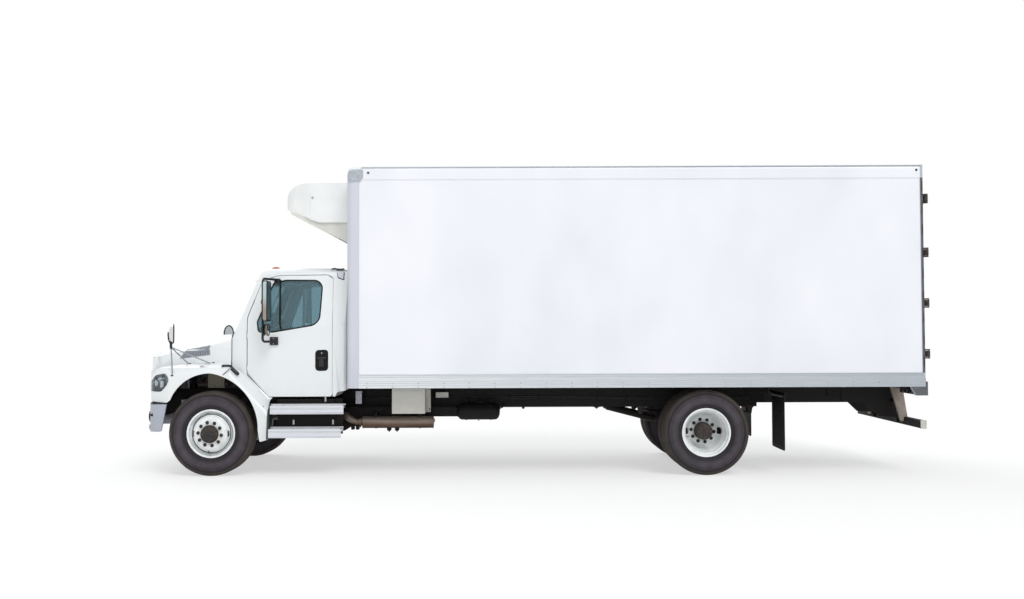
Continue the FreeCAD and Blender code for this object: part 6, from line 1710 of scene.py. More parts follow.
    # floor mats over the tunnel and in the footwells
    for sign in (1, -1):
        work.block("rubber", (ahead(-1.56), min(sign * 0.515, sign * 0.95), 1.020),
                   (ahead(-0.66), max(sign * 0.515, sign * 0.95), 1.028), 0.004)
    work.block("rubber", (ahead(-1.58), -0.50, 1.095), (ahead(-0.40), 0.50, 1.103), 0.004)
    work.done("cab_shell", smooth=30)

    work = Work("Cab_glass", slot="glass")
    work.cad("cab_glass", "glass")
    work.done("cab_glass", smooth=30)
    work = Work("Screen_seals", slot="rubber")
    work.seal("rubber", "cab_glass", 0.022, 0.006, X, reach=0.35)
    work.seal("rubber", "cab_glass", 0.022, 0.006, -X, reach=0.9)
    # centre bar of the windscreen
    work.tube("rubber", ((ahead(-0.088), 0, 1.735), (ahead(-0.088 - 0.307), 0, 2.432)), 0.010, 0.02, 10)
    work.done()


def doors():
    """Both cab doors: seals, window frames, divider bars, handles and inner trim."""
    for side, sign in SIDES:
        work = Work(f"Cab_door_{side}", f"door_{side}", "white_paint")
        work.cad("cab_door_left", "cab", rules=(
            ("trim", lambda middle, normal: normal.y < -0.55 and middle.y < 0.975),
            ("cab", lambda middle, normal: middle.x > ahead(-0.4165))))
        # window surround: a black rubber bead on the outside, and the divider of the quarter light
        work.seal("rubber", "door_glass_left", 0.016, 0.0075, Y, reach=0.6)
        bar = ((ahead(-0.835), 1.008, 1.800), (ahead(-0.818), 1.0085, 1.86), (ahead(-0.810), 0.9505, 2.428))
        work.tube("rubber", bar, 0.0105, 0.03, 8)
        # handle: a black cup with a pull bar, and a lock
        x0, x1 = ahead(-1.424), ahead(-1.262)
        y = 1.0205
        work.plate("chassis", ((x0, 1.325), (x0 + 0.010, 1.300), (x0 + 0.035, 1.287), (x1 - 0.045, 1.285),
                               (x1 - 0.012, 1.298),
                               (x1, 1.330), (x1, 1.505), (x1 - 0.010, 1.532), (x1 - 0.035, 1.547),
                               (x0 + 0.035, 1.550),
                               (x0 + 0.010, 1.540), (x0, 1.515)), "y", y - 0.004, y + 0.0035, 0.003)
        work.plate("chassis", ((x0 + 0.016, 1.320), (x1 - 0.018, 1.320), (x1 - 0.018, 1.455),
                               (x0 + 0.016, 1.455)),
                   "y", y + 0.002, y + 0.0042, 0.001)
        work.block("plastic", (x0 + 0.026, y + 0.001, 1.432), (x1 - 0.026, y + 0.024, 1.462), 0.009, 3)
        work.block("plastic", (x0 + 0.050, y + 0.003, 1.335), (x1 - 0.050, y + 0.020, 1.448), 0.008, 3)
        work.rod("cast", (x0 + 0.08, y, 1.508), (x0 + 0.08, y + 0.0060, 1.508), 0.009, 20, 0.002)
        # pressed feature line along the door and blank trim pad inside with armrest, winder and pocket
        work.block("rubber", (ahead(-1.462), 0.962, 0.9682), (ahead(-0.70), 0.990, 0.9735), 0.002)
        inner = 0.962
        work.plate("trim", ((ahead(-1.43), 1.02), (ahead(-0.72), 1.02), (ahead(-0.47), 1.28),
                            (ahead(-0.47), 1.72),
                            (ahead(-0.72), 1.735), (ahead(-1.25), 1.80), (ahead(-1.43), 1.80)), "y",
                   inner - 0.012, inner + 0.004, 0.006)
        work.block("trim", (ahead(-1.25), inner - 0.075, 1.40), (ahead(-0.78), inner - 0.005, 1.46), 0.022, 4)
        work.block("plastic", (ahead(-1.20), inner - 0.035, 1.10), (ahead(-0.80), inner - 0.008, 1.26), 0.02,
                   3)
        work.tube("chrome", ((ahead(-0.62), inner - 0.012, 1.60), (ahead(-0.62), inner - 0.035, 1.60),
                             (ahead(-0.72), inner - 0.035, 1.60)), 0.006, 0.01, 8)
        work.rod("plastic", (ahead(-0.85), inner - 0.010, 1.53), (ahead(-0.85), inner - 0.045, 1.53), 0.022,
                 16, 0.006)
        work.rod("plastic", (ahead(-0.55), inner - 0.010, 1.16), (ahead(-0.55), inner - 0.016, 1.16), 0.075,
                 28, 0.004)
        work.done(f"cab_door_{side}", side=sign, smooth=30)

        work = Work(f"Door_glass_{side}", f"door_{side}", "glass")
        work.cad("door_glass_left", "glass")
        work.done(f"door_glass_{side}", side=sign, smooth=30)

        door_mirror(side, sign)


def door_mirror(side, sign):
    """The tall flat mirror and the round one, each in a bright housing on a bent tube."""
    work = Work(f"Door_mirror_{side}", f"door_{side}", "black_plastic")
    work.cad("door_mirror_left", "plastic", bevel=0.0, keep=lambda middle, normal: middle.x > ahead(-0.6995)
             or middle.y < 1.19)
    # tall head, turned a little outwards: a bright housing with black ends, its glass facing backwards
    turn = Matrix.Translation((ahead(-0.722), 1.31, 0)) @ Matrix.Rotation(radians(-1.5), 4, "Z")
    outline = ((-0.095, 1.93), (-0.070, 1.905), (0.070, 1.905), (0.095, 1.93), (0.095, 2.37), (0.070, 2.395),
               (-0.070, 2.395), (-0.095, 2.37))
    for name, scale, x0, x1, bevel in (("bright", 0.985, -0.030, 0.030, 0.014),
                                       ("rubber", 1.0, -0.034, -0.020, 0.004),
                                       ("mirror", 0.86, -0.0355, -0.030, 0.001)):
        inset = 0.095 * (1 - scale)
        shape = [(y * scale, z + (inset if z < 2.1 else -inset)) for y, z in outline]
        work.plate(name, shape, "x", x0, x1, bevel, 3, turn)
    for z in (1.914, 2.386):
        work.block("plastic", (-0.030, -0.074, z - 0.011), (0.032, 0.074, z + 0.011), 0.006, 3, turn)
    work.block("plastic", (0.022, -0.020, 1.955), (0.0325, 0.004, 2.345), 0.004, 2, turn)
    # round head
    work.turned("bright", ((0.050, 0), (0.046, 0.030), (0.034, 0.060), (0.015, 0.074), (0.002, 0.0755),
                           (0.0, 0.070), (0.003, 0)),
                (ahead(-0.745), 1.310, 1.800), steps=36, axis=X)
    work.turned("mirror", ((-0.004, 0), (-0.002, 0.040), (0.002, 0.0685)), (ahead(-0.744), 1.310, 1.800),
                steps=36, axis=X)
    work.ring("rubber", (ahead(-0.744), 1.310, 1.800), X, 0.073, 0.005, 40, 8)
    # clamps, rubber feet and bolts
    for z in (2.14, 1.955):
        work.rod("plastic", (ahead(-0.660), 1.250, z - 0.022), (ahead(-0.660), 1.250, z + 0.022), 0.022, 18,
                 0.004)
        work.block("plastic", (ahead(-0.700), 1.237, z - 0.016), (ahead(-0.655), 1.263, z + 0.016), 0.005)
        work.studs("plate", [(ahead(-0.660), 1.272, z)], Y, 0.007, 0.005)
    work.rod("plastic", (ahead(-0.660), 1.250, 1.782), (ahead(-0.660), 1.250, 1.824), 0.022, 18, 0.004)
    work.block("plastic", (ahead(-0.720), 1.244, 1.790), (ahead(-0.655), 1.300, 1.815), 0.004)
    for x, y, z in ((-0.745, 1.045, 1.628), (-0.745, 1.045, 1.692)):
        work.studs("plate", [(ahead(x), y, z)], Y, 0.007, 0.005)
    work.ball("rubber", (ahead(-0.770), 0.990, 2.4155), (0.020, 0.012, 0.020), 14)
    work.done(f"door_mirror_{side}", side=sign, smooth=34)


# ---------------------------------------------------------------- inside the cab

def cab_inside():
    """Dashboard with cluster, vents and glovebox, steering wheel, pedals, levers and seats."""
    work = Work("Dashboard", slot="trim_grey")
    work.cad("dashboard", "trim", keep=lambda middle, normal: middle.z < 1.735 and middle.x > ahead(-0.655)
             and not (0.42 < middle.y < 0.54 and middle.x < ahead(-0.60) and middle.z > 1.66))
    # instrument binnacle and four dials
    work.block("plastic", (ahead(-0.655), 0.29, 1.600), (ahead(-0.45), 0.70, 1.775), 0.03, 4)
    for y, radius in ((0.585, 0.055), (0.455, 0.055), (0.365, 0.030), (0.335, 0.022)):
        work.turned("chrome", ((0, radius), (0.004, radius + 0.004), (0.007, radius)),
                    (ahead(-0.652), y, 1.69), 28, axis=-X)
        work.rod("chassis", (ahead(-0.650), y, 1.69), (ahead(-0.657), y, 1.69), radius, 28)
        work.block("coated", (ahead(-0.6585), y - 0.002, 1.69),
                   (ahead(-0.657), y + 0.002, 1.69 + radius * 0.8), 0)
    # centre stack: radio, switches, vents; glovebox lid
    work.block("plastic", (ahead(-0.655), -0.10, 1.50), (ahead(-0.60), 0.22, 1.70), 0.012, 3)
    work.block("chassis", (ahead(-0.660), -0.06, 1.62), (ahead(-0.652), 0.12, 1.67), 0.003)
    for y in span(-0.05, 0.17, 6):
        work.block("trim", (ahead(-0.664), y - 0.012, 1.55), (ahead(-0.652), y + 0.012, 1.585), 0.004)
    work.rod("plastic", (ahead(-0.652), 0.15, 1.645), (ahead(-0.672), 0.15, 1.645), 0.013, 16, 0.003)
    for y in (-0.75, -0.20, 0.26, 0.78):
        work.block("chassis", (ahead(-0.640), y - 0.055, 1.615), (ahead(-0.622), y + 0.055, 1.665), 0.006)
        for z in span(1.622, 1.655, 4):
            work.block("plastic", (ahead(-0.645), y - 0.05, z), (ahead(-0.632), y + 0.05, z + 0.004), 0)
    work.block("trim", (ahead(-0.648), -0.68, 1.46), (ahead(-0.615), -0.26, 1.60), 0.012, 3)
    work.block("plastic", (ahead(-0.655), -0.51, 1.575), (ahead(-0.645), -0.43, 1.590), 0.003)
    # steering wheel: padded rim, three spokes, boss, column shroud and stalks
    centre = Vector((ahead(-0.745), 0.480, 1.860))
    tilt = Vector((-1, 0, 1)).normalized()
    work.ring("plastic", centre, tilt, 0.215, 0.0165, 48, 14)
    work.rod("plastic", centre - tilt * 0.03, centre + tilt * 0.012, 0.058, 32, 0.012)
    across = Vector((1, 0, 1)).normalized()
    for angle in (0, 125, 235):
        spoke = across * cos(radians(angle)) * -1 + Y * sin(radians(angle))
        work.tube("plastic", (centre - tilt * 0.012 + spoke * 0.04, centre + spoke * 0.205), 0.011, 0.02, 8)
    foot = Vector((ahead(-0.560), 0.480, 1.675))
    work.rod("plastic", foot, centre - tilt * 0.02, 0.036, 24, 0.008)
    for sign in (1, -1):
        base = foot.lerp(centre, 0.55)
        work.rod("plastic", base, base + Vector((-0.05, sign * 0.17, 0.03)), 0.007, 10, 0.003)
    # pedals, gear lever and parking-brake valve
    for y, width in ((0.60, 0.035), (0.46, 0.035), (0.33, 0.022)):
        work.block("rubber", (ahead(-0.56), y - width, 1.19), (ahead(-0.545), y + width, 1.27), 0.005)
        work.tube("chassis", ((ahead(-0.55), y, 1.23), (ahead(-0.47), y, 1.27), (ahead(-0.44), y, 1.42)),
                  0.009, 0.03, 8)
    work.rod("plastic", (ahead(-0.95), 0.0, 1.10), (ahead(-0.95), 0.0, 1.19), 0.075, 24, 0.02, 0.045)
    work.tube("chassis", ((ahead(-0.95), 0.0, 1.18), (ahead(-0.93), 0.0, 1.40), (ahead(-0.98), 0.02, 1.56)),
              0.010, 0.08, 10)
    work.ball("plastic", (ahead(-0.98), 0.02, 1.58), (0.026, 0.026, 0.032), 18)
    work.done("dashboard", smooth=34)

    work = Work("Cab_seat_bases", slot="trim_grey")
    work.cad("seat_bases", "trim", bevel=0.012, segments=3)
    for y in (0.48, -0.48):
        for z in span(1.16, 1.32, 5):
            work.ring("rubber", (ahead(-1.14), y, z + 0.02), Z, 0.225, 0.014, 28, 8)
        for sign in (1, -1):
            work.block("plate", (ahead(-1.40), y + sign * 0.17 - 0.012, 1.372),
                       (ahead(-0.88), y + sign * 0.17 + 0.012, 1.386), 0.003)
        work.block("plastic", (ahead(-0.915), y - 0.05, 1.325), (ahead(-0.865), y + 0.05, 1.345), 0.006)
    work.done("seat_bases")


def puffed(name, low, high, seams, lean=0.0):
    """A cushion: a rounded block remeshed and blown up like a cloth cover, held along its seams."""
    part = bmesh.new()
    bmesh.ops.create_cube(part, size=1, matrix=box_matrix(low, high))
    soften(part, part.edges[:], 0.028, 4)
    if lean:
        bmesh.ops.rotate(part, cent=(low[0], 0, low[2]), matrix=Matrix.Rotation(lean, 3, "Y"),
                         verts=part.verts)
    data = bpy.data.meshes.new(name)
    part.to_mesh(data)
    part.free()
    piece = bpy.data.objects.new(name, data)
    bpy.context.scene.collection.objects.link(piece)
    blocks = piece.modifiers.new("Blocks", "REMESH")
    blocks.mode = "VOXEL"
    blocks.voxel_size = 0.012
    keep_result(piece)
    inflate(piece, seams)
    piece.data.materials.append(FINISHES["cloth"])
    for face in piece.data.polygons:
        face.use_smooth = True
    rounded = piece.modifiers.new("Round", "SUBSURF")
    rounded.levels = 1
    rounded.render_levels = 1
    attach(piece, "chassis")
    return piece


def keep_result(piece):
    """Replaces a piece's mesh by what its modifiers make of it."""
    graph = bpy.context.evaluated_depsgraph_get()
    made = bpy.data.meshes.new_from_object(piece.evaluated_get(graph))
    old = piece.data
    piece.modifiers.clear()
    piece.data = made
    bpy.data.meshes.remove(old)


def inflate(piece, seams):
    """Blows the cover up against its seams, with no point moving more than 12 mm."""
    scene = bpy.context.scene
    home = [vert.co.copy() for vert in piece.data.vertices]
    sewn = piece.vertex_groups.new(name="Seams")
    sewn.add([vert.index for vert in piece.data.vertices if seams(vert.co)], 1.0, "REPLACE")
    cloth = piece.modifiers.new("Fill", "CLOTH")
    cloth.settings.vertex_group_mass = "Seams"
    cloth.settings.use_pressure = True
    cloth.settings.uniform_pressure_force = 4.0
    cloth.settings.effector_weights.gravity = 0.0
    cloth.settings.quality = 5
    cloth.point_cache.frame_start = 1
    cloth.point_cache.frame_end = 20
    for number in range(1, 21):
        scene.frame_set(number)
    keep_result(piece)
    scene.frame_set(1)
    piece.vertex_groups.clear()
    for vert, start in zip(piece.data.vertices, home):
        step = vert.co - start
        if step.length > 0.012:
            vert.co = start + step.normalized() * 0.012


def seats():
    """Two cab seats: a cushion, a back and a headrest in cloth, on moulded shells, with belts."""
    for side, y in (("driver", 0.48), ("passenger", -0.48)):
        piping = lambda spot, middle=y: (abs(abs(spot.y - middle) - 0.135) < 0.008
                                         or abs(abs(spot.y - middle) - 0.222) < 0.007)
        cushion = puffed(f"Cushion_{side}", (ahead(-1.325), y - 0.228, 1.404),
                         (ahead(-0.842), y + 0.228, 1.490), lambda spot: piping(spot) or spot.z < 1.415)
        puffed(f"Backrest_{side}", (ahead(-1.392), y - 0.218, 1.505), (ahead(-1.290), y + 0.218, 2.040),
               lambda spot: piping(spot) or abs(spot.z - 1.66) < 0.008, lean=-0.10)
        puffed(f"Headrest_{side}", (ahead(-1.446), y - 0.130, 2.090), (ahead(-1.356), y + 0.130, 2.222),
               lambda spot, middle=y: abs(spot.y - middle) > 0.122)
        work = Work(f"Cushion_shell_{side}", slot="trim_grey")
        work.block("trim", (ahead(-1.35), y - 0.238, 1.380), (ahead(-0.835), y + 0.238, 1.402), 0.008, 3)
        hinge = Matrix.Translation((ahead(-1.40), 0, 1.50))
        lean = hinge @ Matrix.Rotation(-0.10, 4, "Y") @ hinge.inverted()
        work.block("trim", (ahead(-1.418), y - 0.22, 1.40), (ahead(-1.398), y + 0.22, 2.04), 0.009, 3, lean)
        for step in (-0.05, 0.05):
            work.rod("chrome", (ahead(-1.425), y + step, 2.00), (ahead(-1.405), y + step, 2.11), 0.006, 10)
        inner = -1 if y > 0 else 1
        arm = y + inner * 0.255
        work.block("trim", (ahead(-1.31), arm - 0.020, 1.60), (ahead(-1.00), arm + 0.020, 1.64), 0.015, 3)
        work.rod("trim", (ahead(-1.29), arm, 1.62), (ahead(-1.39), y + inner * 0.20, 1.62), 0.018, 14, 0.004)
        work.block("plastic", (ahead(-1.30), arm - 0.012, 1.44), (ahead(-1.27), arm + 0.012, 1.53), 0.006)
        belt = y - inner * 0.272
        work.block("rubber", (ahead(-1.44), belt - 0.0015, 1.42), (ahead(-1.392), belt + 0.0015, 2.14), 0)
        work.block("plastic", (ahead(-1.445), belt - 0.012, 2.12), (ahead(-1.387), belt + 0.012, 2.16), 0.006)
        work.block("plastic", (ahead(-1.445), belt - 0.012, 1.40), (ahead(-1.387), belt + 0.012, 1.44), 0.006)
        work.done()
        if y > 0:
            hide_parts("seats")


# ---------------------------------------------------------------- hood and nose

def mouth_width(z):
    """Half the width of the grille's mouth at a height."""
    return 0.430 + 0.030 * (z - 0.975) / 0.395


def hood():
    """The one-piece hood and fenders: vents, latches, side lamps and the arch liners."""
    work = Work("Tilting_hood", "tilting_hood", "white_paint")
    vent = ((ahead(0.477), 1.444), (ahead(0.398), 1.551), (ahead(0.091), 1.601), (ahead(0.084), 1.494))
    rim = ((ahead(0.492), 1.436), (ahead(0.404), 1.560), (ahead(0.083), 1.611), (ahead(0.075), 1.486))
    work.laid("vent", rim, "hood", 0.0012, 0.0025)
    work.laid("wire", vent, "hood", 0.0032, 0.0022)
    # side lamp: an oval clear lens on a grey foot, on the crown of the fender
    spot = surface("hood", (ahead(0.128), 2.0, 1.345), -Y)
    work.ball("tray", spot, (0.036, 0.006, 0.020), 24)
    work.ball("clear", spot + Y * 0.003, (0.028, 0.010, 0.014), 24)
    # hood latch: a rubber strap with a T grip, over its bracket on the slope behind the arch
    hook = surface("hood", (ahead(-0.135), 1.085, 2.0), -Z)
    middle = surface("hood", (ahead(-0.225), 1.095, 2.0), -Z)
    work.tube("plastic", (hook + Z * 0.010, middle + Z * 0.016, (ahead(-0.275), 1.115, 1.305)), 0.014, 0.04,
              12)
    work.ball("plastic", hook + Z * 0.008, (0.024, 0.028, 0.016), 18)
    work.tube("plastic", ((ahead(-0.245), 1.110, 1.325), (ahead(-0.318), 1.120, 1.262)), 0.023, 0.02, 12)
    work.ball("plastic", (ahead(-0.320), 1.120, 1.260), 0.0225, 16)
    work.tube("chassis", ((ahead(-0.238), 1.168, 1.325), (ahead(-0.150), 1.171, 1.245)), 0.0045, 0.02, 8)
    # liners: a beige splash panel over the tyre, and a black flap at the back of the arch
    work.block("fibre", (ahead(-0.102), 0.912, 1.075), (ahead(0.103), 0.922, 1.270), 0.002)
    work.block("rubber", (ahead(-0.652), 0.700, 0.50), (ahead(-0.640), 1.140, 0.86), 0.003)
    # gooseneck bushes and stop cable eye
    work.studs("plate", [(4.775, 0.4125, 0.720)], Y, 0.020, 0.005, 16)
    work.studs("chassis", [(ahead(0.80), 0.4125, 0.950), (ahead(0.86), 0.4125, 0.950)], Y, 0.009, 0.007)
    work.twin()
    # outside white, the skirts' rear faces dark as painted shade, the crown's inside raw, the arches' inside
    # black
    outer = open_side("hood")
    work.cad("hood", "cab", rules=(
        ("chassis", lambda middle, normal: 0.377 < abs(middle.y) < 0.4125 and middle.z < 0.975),
        ("return", lambda middle, normal: normal.x < -0.9 and middle.x < ahead(-0.66) and middle.z < 0.93),
        ("cab", lambda middle, normal: outer(middle, normal)),
        ("fibre", lambda middle, normal: abs(middle.y) < 0.80 or middle.z > 1.40),
        ("liner", lambda middle, normal: True)))
    # blank badge bar and a ledge over the grille
    work.block("chrome", (ahead(0.918), -0.12, 1.395), (ahead(0.929), 0.12, 1.425), 0.005, 3)
    work.done("hood", smooth=40)


def grille():
    """The radiator grille: a dark screen, chrome cross bars and a chrome surround."""
    work = Work("Grille", "tilting_hood", "chrome")
    back = ahead(0.876)
    screen = ((-1, 0.985), (1, 0.985), (1, 1.362), (-1, 1.362))
    work.plate("chassis", [(side * mouth_width(z), z) for side, z in screen], "x", back, back + 0.004, 0)
    for z in span(0.990, 1.356, 20):
        work.block("chassis", (back + 0.003, -mouth_width(z), z - 0.0015),
                   (back + 0.006, mouth_width(z), z + 0.0015), 0)
    for y in span(-0.42, 0.42, 43):
        work.block("chassis", (back + 0.004, y - 0.0015, 0.982), (back + 0.007, y + 0.0015, 1.364), 0)
    for z in span(1.02, 1.325, 7):
        half = mouth_width(z) - 0.006
        work.block("chrome", (back + 0.006, -half, z - 0.010), (back + 0.024, half, z + 0.010), 0.007, 3)
    for y in (-0.215, 0.0, 0.215):
        work.block("chrome", (back + 0.004, y - 0.009, 0.984), (back + 0.018, y + 0.009, 1.362), 0.005, 2)
    corners = [(back + 0.012, side * (mouth_width(z) - 0.012), z) for side, z in
               ((-1, 0.990), (1, 0.990), (1, 1.356), (-1, 1.356), (-1, 0.990))]
    corners.insert(1, (back + 0.012, 0, 0.990))
    closed = corners[1:-1] + [corners[0], corners[1]]
    work.tube("chrome", closed, 0.012, 0.045, 12)
    work.done("grille", smooth=36)


def headlights():
    """Flush lamps: clear cover, two metallised bowls with their bulbs, and a bright inner frame."""
    work = Work("Headlight_lenses", "tilting_hood", "lens")
    work.cad("headlights", "clear", keep=lambda middle, normal: abs(normal.y) > 0.02
             and normal.y * middle.y > 0)
    work.thicken(-0.003)
    work.done("headlights", smooth=40)
    work = Work("Headlight_bowls", "tilting_hood", "lens")
    work.cad("headlights", "bowl", keep=lambda middle, normal: abs(normal.y) <= 0.02
             or normal.y * middle.y < 0)
    for sign in (1, -1):
        for x, y, z, radius in ((0.738, 1.000, 1.130, 0.058), (0.640, 1.092, 1.130, 0.060)):
            axis = Vector((1, sign * 0.75, 0.02)).normalized()
            centre = Vector((ahead(x), sign * y, z)) - axis * 0.050
            work.turned("chrome", ((-0.015, 0.0), (-0.012, radius * 0.35), (0.006, radius * 0.72),
                                   (0.030, radius),
                                   (0.034, radius * 1.04), (0.030, radius * 1.04)), centre, 32, axis)
            work.rod("plate", centre - axis * 0.010, centre + axis * 0.018, 0.010, 16, 0.003)
            work.ball("clear", centre + axis * 0.020, 0.012, 14)
        work.block("plate", (ahead(0.575), min(sign * 1.06, sign * 1.130), 1.190),
                   (ahead(0.66), max(sign * 1.06, sign * 1.130), 1.215), 0.008, 3)
    work.done(smooth=36)


def hood_mirrors():
    """Convex mirrors on tripods of bright tube, standing on the fenders."""
    work = Work("Hood_mirrors", "tilting_hood", "black_plastic")
    # the tripod, less its head
    work.cad("hood_mirrors", "tube", keep=lambda middle, normal: middle.y > 0 and middle.z < 1.632)
    pole = Vector((ahead(0.4705), 1.2345, 1.625))
    centre = Vector((ahead(0.458), 1.250, 1.757))
    work.tube("plastic", (pole - Z * 0.01, (ahead(0.462), 1.240, 1.690), centre - Z * 0.04), 0.0115, 0.03, 12)
    # the head is turned in towards the driver
    facing = Vector((1, 0.36, 0)).normalized()
    work.turned("chrome", ((0.034, 0.0), (0.033, 0.030), (0.027, 0.062), (0.013, 0.092), (-0.006, 0.111),
                           (-0.020, 0.1165), (-0.024, 0.115), (-0.022, 0.108)), centre, 44, facing)
    work.turned("mirror", ((-0.034, 0.0), (-0.0325, 0.045), (-0.029, 0.082), (-0.0235, 0.108)), centre, 44,
                facing)
    work.ring("rubber", centre - facing * 0.0235, facing, 0.1115, 0.0085, 44, 10)
    # a black yoke over the back of the head
    work.tube("plastic", (centre - Z * 0.122 + facing * 0.012, centre - Z * 0.075 + facing * 0.034,
                          centre - Z * 0.010 + facing * 0.040), 0.008, 0.03, 10)
    work.rod("plastic", centre + facing * 0.030, centre + facing * 0.046, 0.020, 20, 0.004)
    work.rod("plastic", centre - facing * 0.02 - Z * 0.112, centre + facing * 0.012 - Z * 0.106, 0.016, 16,
             0.004)
    work.rod("plastic", (ahead(0.471), 1.222, 1.572), (ahead(0.471), 1.228, 1.640), 0.016, 16, 0.004)
    for x, y in ((0.315, 0.985), (0.010, 1.010), (0.475, 1.155)):
        spot = surface("hood", (ahead(x), y, 2.2), -Z) if x < 0.4 else Vector((ahead(x), 1.1605, 1.240))
        work.rod("rubber", spot - Z * 0.006, spot + Z * 0.010, 0.017, 18, 0.003)
        work.rod("chrome", spot + Z * 0.008, spot + Z * 0.014, 0.012, 14, 0.002)
    work.twin()
    work.done("hood_mirrors", smooth=36)


def bumper():
    """Front bumper: satin grey-blue beam with tow openings, lamps, a plate holder and brackets."""
    work = Work("Front_bumper", slot="rail_grey")
    work.cad("front_bumper", "bumper", bevel=0.004, rules=(
        ("chassis", lambda middle, normal: abs(middle.y) < 0.46 and middle.x < 4.79),))
    for sign in (1, -1):
        # round driving lamp in a dark pocket; a flat black oval at the corner and flat black patches at the
        # tow openings are painted shade for the holes
        lamp = surface("front_bumper", (5.4, sign * 0.62, 0.70), -X)
        work.turned("plastic", ((0.002, 0.080), (0.006, 0.074), (0.004, 0.064), (-0.004, 0.060),
                                (-0.004, 0.080)), lamp, 32, X, closed=True)
        work.turned("clear", ((0.007, 0.0), (0.006, 0.040), (0.003, 0.063)), lamp, 32, X)
        work.turned("bowl", ((0.001, 0.0), (0.0015, 0.064)), lamp, 32, X)
        for z in (0.60, 0.80):
            bolt = surface("front_bumper", (5.4, sign * 0.36, z), -X)
            work.studs("plate", [bolt], X, 0.011, 0.007, 12)
        spot = surface("front_bumper", (ahead(0.72), sign * 2.0, 0.755), Y * -sign)
        work.ball("plastic", spot, (0.034, 0.004, 0.018), 20)
        # tow opening: a flat black patch, painted shade of the hole
        tow = surface("front_bumper", (5.4, sign * 0.80, 0.58), -X)
        work.block("chassis", tow - Vector((0.004, 0.045, 0.030)), tow + Vector((0.002, 0.045, 0.030)), 0.002)
    spot = surface("front_bumper", (5.4, 0, 0.66), -X)
    work.block("plastic", spot - Vector((0.002, 0.190, 0.085)), spot + Vector((0.004, 0.190, 0.085)), 0.004)
    work.block("coated", spot + Vector((0.003, -0.155, -0.055)), spot + Vector((0.006, 0.155, 0.055)), 0.003)
    work.studs("plate", [spot + Vector((0.005, y, z)) for y in (-0.14, 0.14) for z in (-0.04, 0.04)], X,
               0.005, 0.003)
    work.done("front_bumper", smooth=34)


# ---------------------------------------------------------------- studio

def camera_only(material, strength):
    """How much of a surface's own light the camera, gloss and glass see: all of it, others none."""
    path = add(material, "ShaderNodeLightPath")
    seen = add(material, "ShaderNodeMath", [("operation", "MAXIMUM")], _0=path.outputs["Is Camera Ray"],
               _1=path.outputs["Is Glossy Ray"])
    seen = add(material, "ShaderNodeMath", [("operation", "MAXIMUM")], _0=seen.outputs["Value"],
               _1=path.outputs["Is Transmission Ray"])
    return add(material, "ShaderNodeMath", [("operation", "MULTIPLY"), (1, strength)],
               _0=seen.outputs["Value"]).outputs["Value"]


def make_floor(size):
    """A pale floor that keeps the shadow near the truck and fades into the backdrop far off."""
    sheet = bmesh.new()
    bmesh.ops.create_grid(sheet, x_segments=1, y_segments=1, size=size / 2)
    data = bpy.data.meshes.new("Floor")
    sheet.to_mesh(data)
    sheet.free()
    floor = bpy.data.objects.new("Floor", data)
    bpy.context.scene.collection.objects.link(floor)
    material = finish("Pale studio floor", "#F9F9F9", 0.9, settings=(("Specular IOR Level", 0.1),))
    place = add(material, "ShaderNodeTexCoord")
    squeezed = add(material, "ShaderNodeMapping", [("Scale", (0.55, 1.0, 1.0))],
                   Vector=place.outputs["Object"])
    away = add(material, "ShaderNodeVectorMath", [("operation", "LENGTH")], Vector=squeezed.outputs["Vector"])
    fade = add(material, "ShaderNodeMapRange", [("From Min", 3.2), ("From Max", 8.0), ("To Min", 0.55),
                                                ("To Max", 1.0), ("interpolation_type", "SMOOTHSTEP")],
               Value=away.outputs["Value"])
    level = add(material, "ShaderNodeMath", [("operation", "MULTIPLY")], _0=fade.outputs["Result"],
                _1=camera_only(material, 1.0))
    glow = add(material, "ShaderNodeEmission", [("Color", (1, 1, 1, 1)), ("Strength", 1.0)])
    mix = add(material, "ShaderNodeMixShader", (), _0=level.outputs["Value"],
              _1=shader_of(material).outputs["BSDF"], _2=glow.outputs["Emission"])
    out = material.node_tree.nodes["Material Output"]
    material.node_tree.links.new(mix.outputs["Shader"], out.inputs["Surface"])
    data.materials.append(material)


def make_world(level):
    """Even white light from all round; the backdrop itself is white to the camera."""
    world = bpy.data.worlds.new("Studio")
    bpy.context.scene.world = world
    world.use_nodes = True
    dome = world.node_tree.nodes["Background"]
    dome.inputs["Color"].default_value = (0.97, 0.985, 1.0, 1)
    dome.inputs["Strength"].default_value = level
    white = add(world, "ShaderNodeBackground", [("Color", (1, 1, 1, 1)), ("Strength", 1.0)])
    mix = add(world, "ShaderNodeMixShader", (), _0=camera_only(world, 1.0), _1=dome.outputs["Background"],
              _2=white.outputs["Background"])
    world.node_tree.links.new(mix.outputs["Shader"], world.node_tree.nodes["World Output"].inputs["Surface"])


def make_lamp(name, direction, strength, spread):
    """A broad, distant soft lamp that shines from a direction onto the truck."""
    light = bpy.data.lights.new(name, "SUN")
    light.energy = strength
    light.angle = spread
    lamp = bpy.data.objects.new(name, light)
    lamp.matrix_world = Matrix.Translation(Vector(direction) * 10) @ toward(direction)
    bpy.context.scene.collection.objects.link(lamp)


def make_camera(place, pitch, yaw, roll, lens):
    """The camera at the left of the truck, looking straight across it."""
    data = bpy.data.cameras.new("Camera")
    data.lens = lens
    data.sensor_width = 36.0
    data.clip_end = 500.0
    camera = bpy.data.objects.new("Camera", data)
    level = Matrix.Rotation(pi + yaw, 4, "Z") @ Matrix.Rotation(pi / 2 + pitch, 4, "X")
    camera.matrix_world = Matrix.Translation(place) @ level @ Matrix.Rotation(roll, 4, "Z")
    bpy.context.scene.collection.objects.link(camera)
    bpy.context.scene.camera = camera


# ---------------------------------------------------------------- add-on

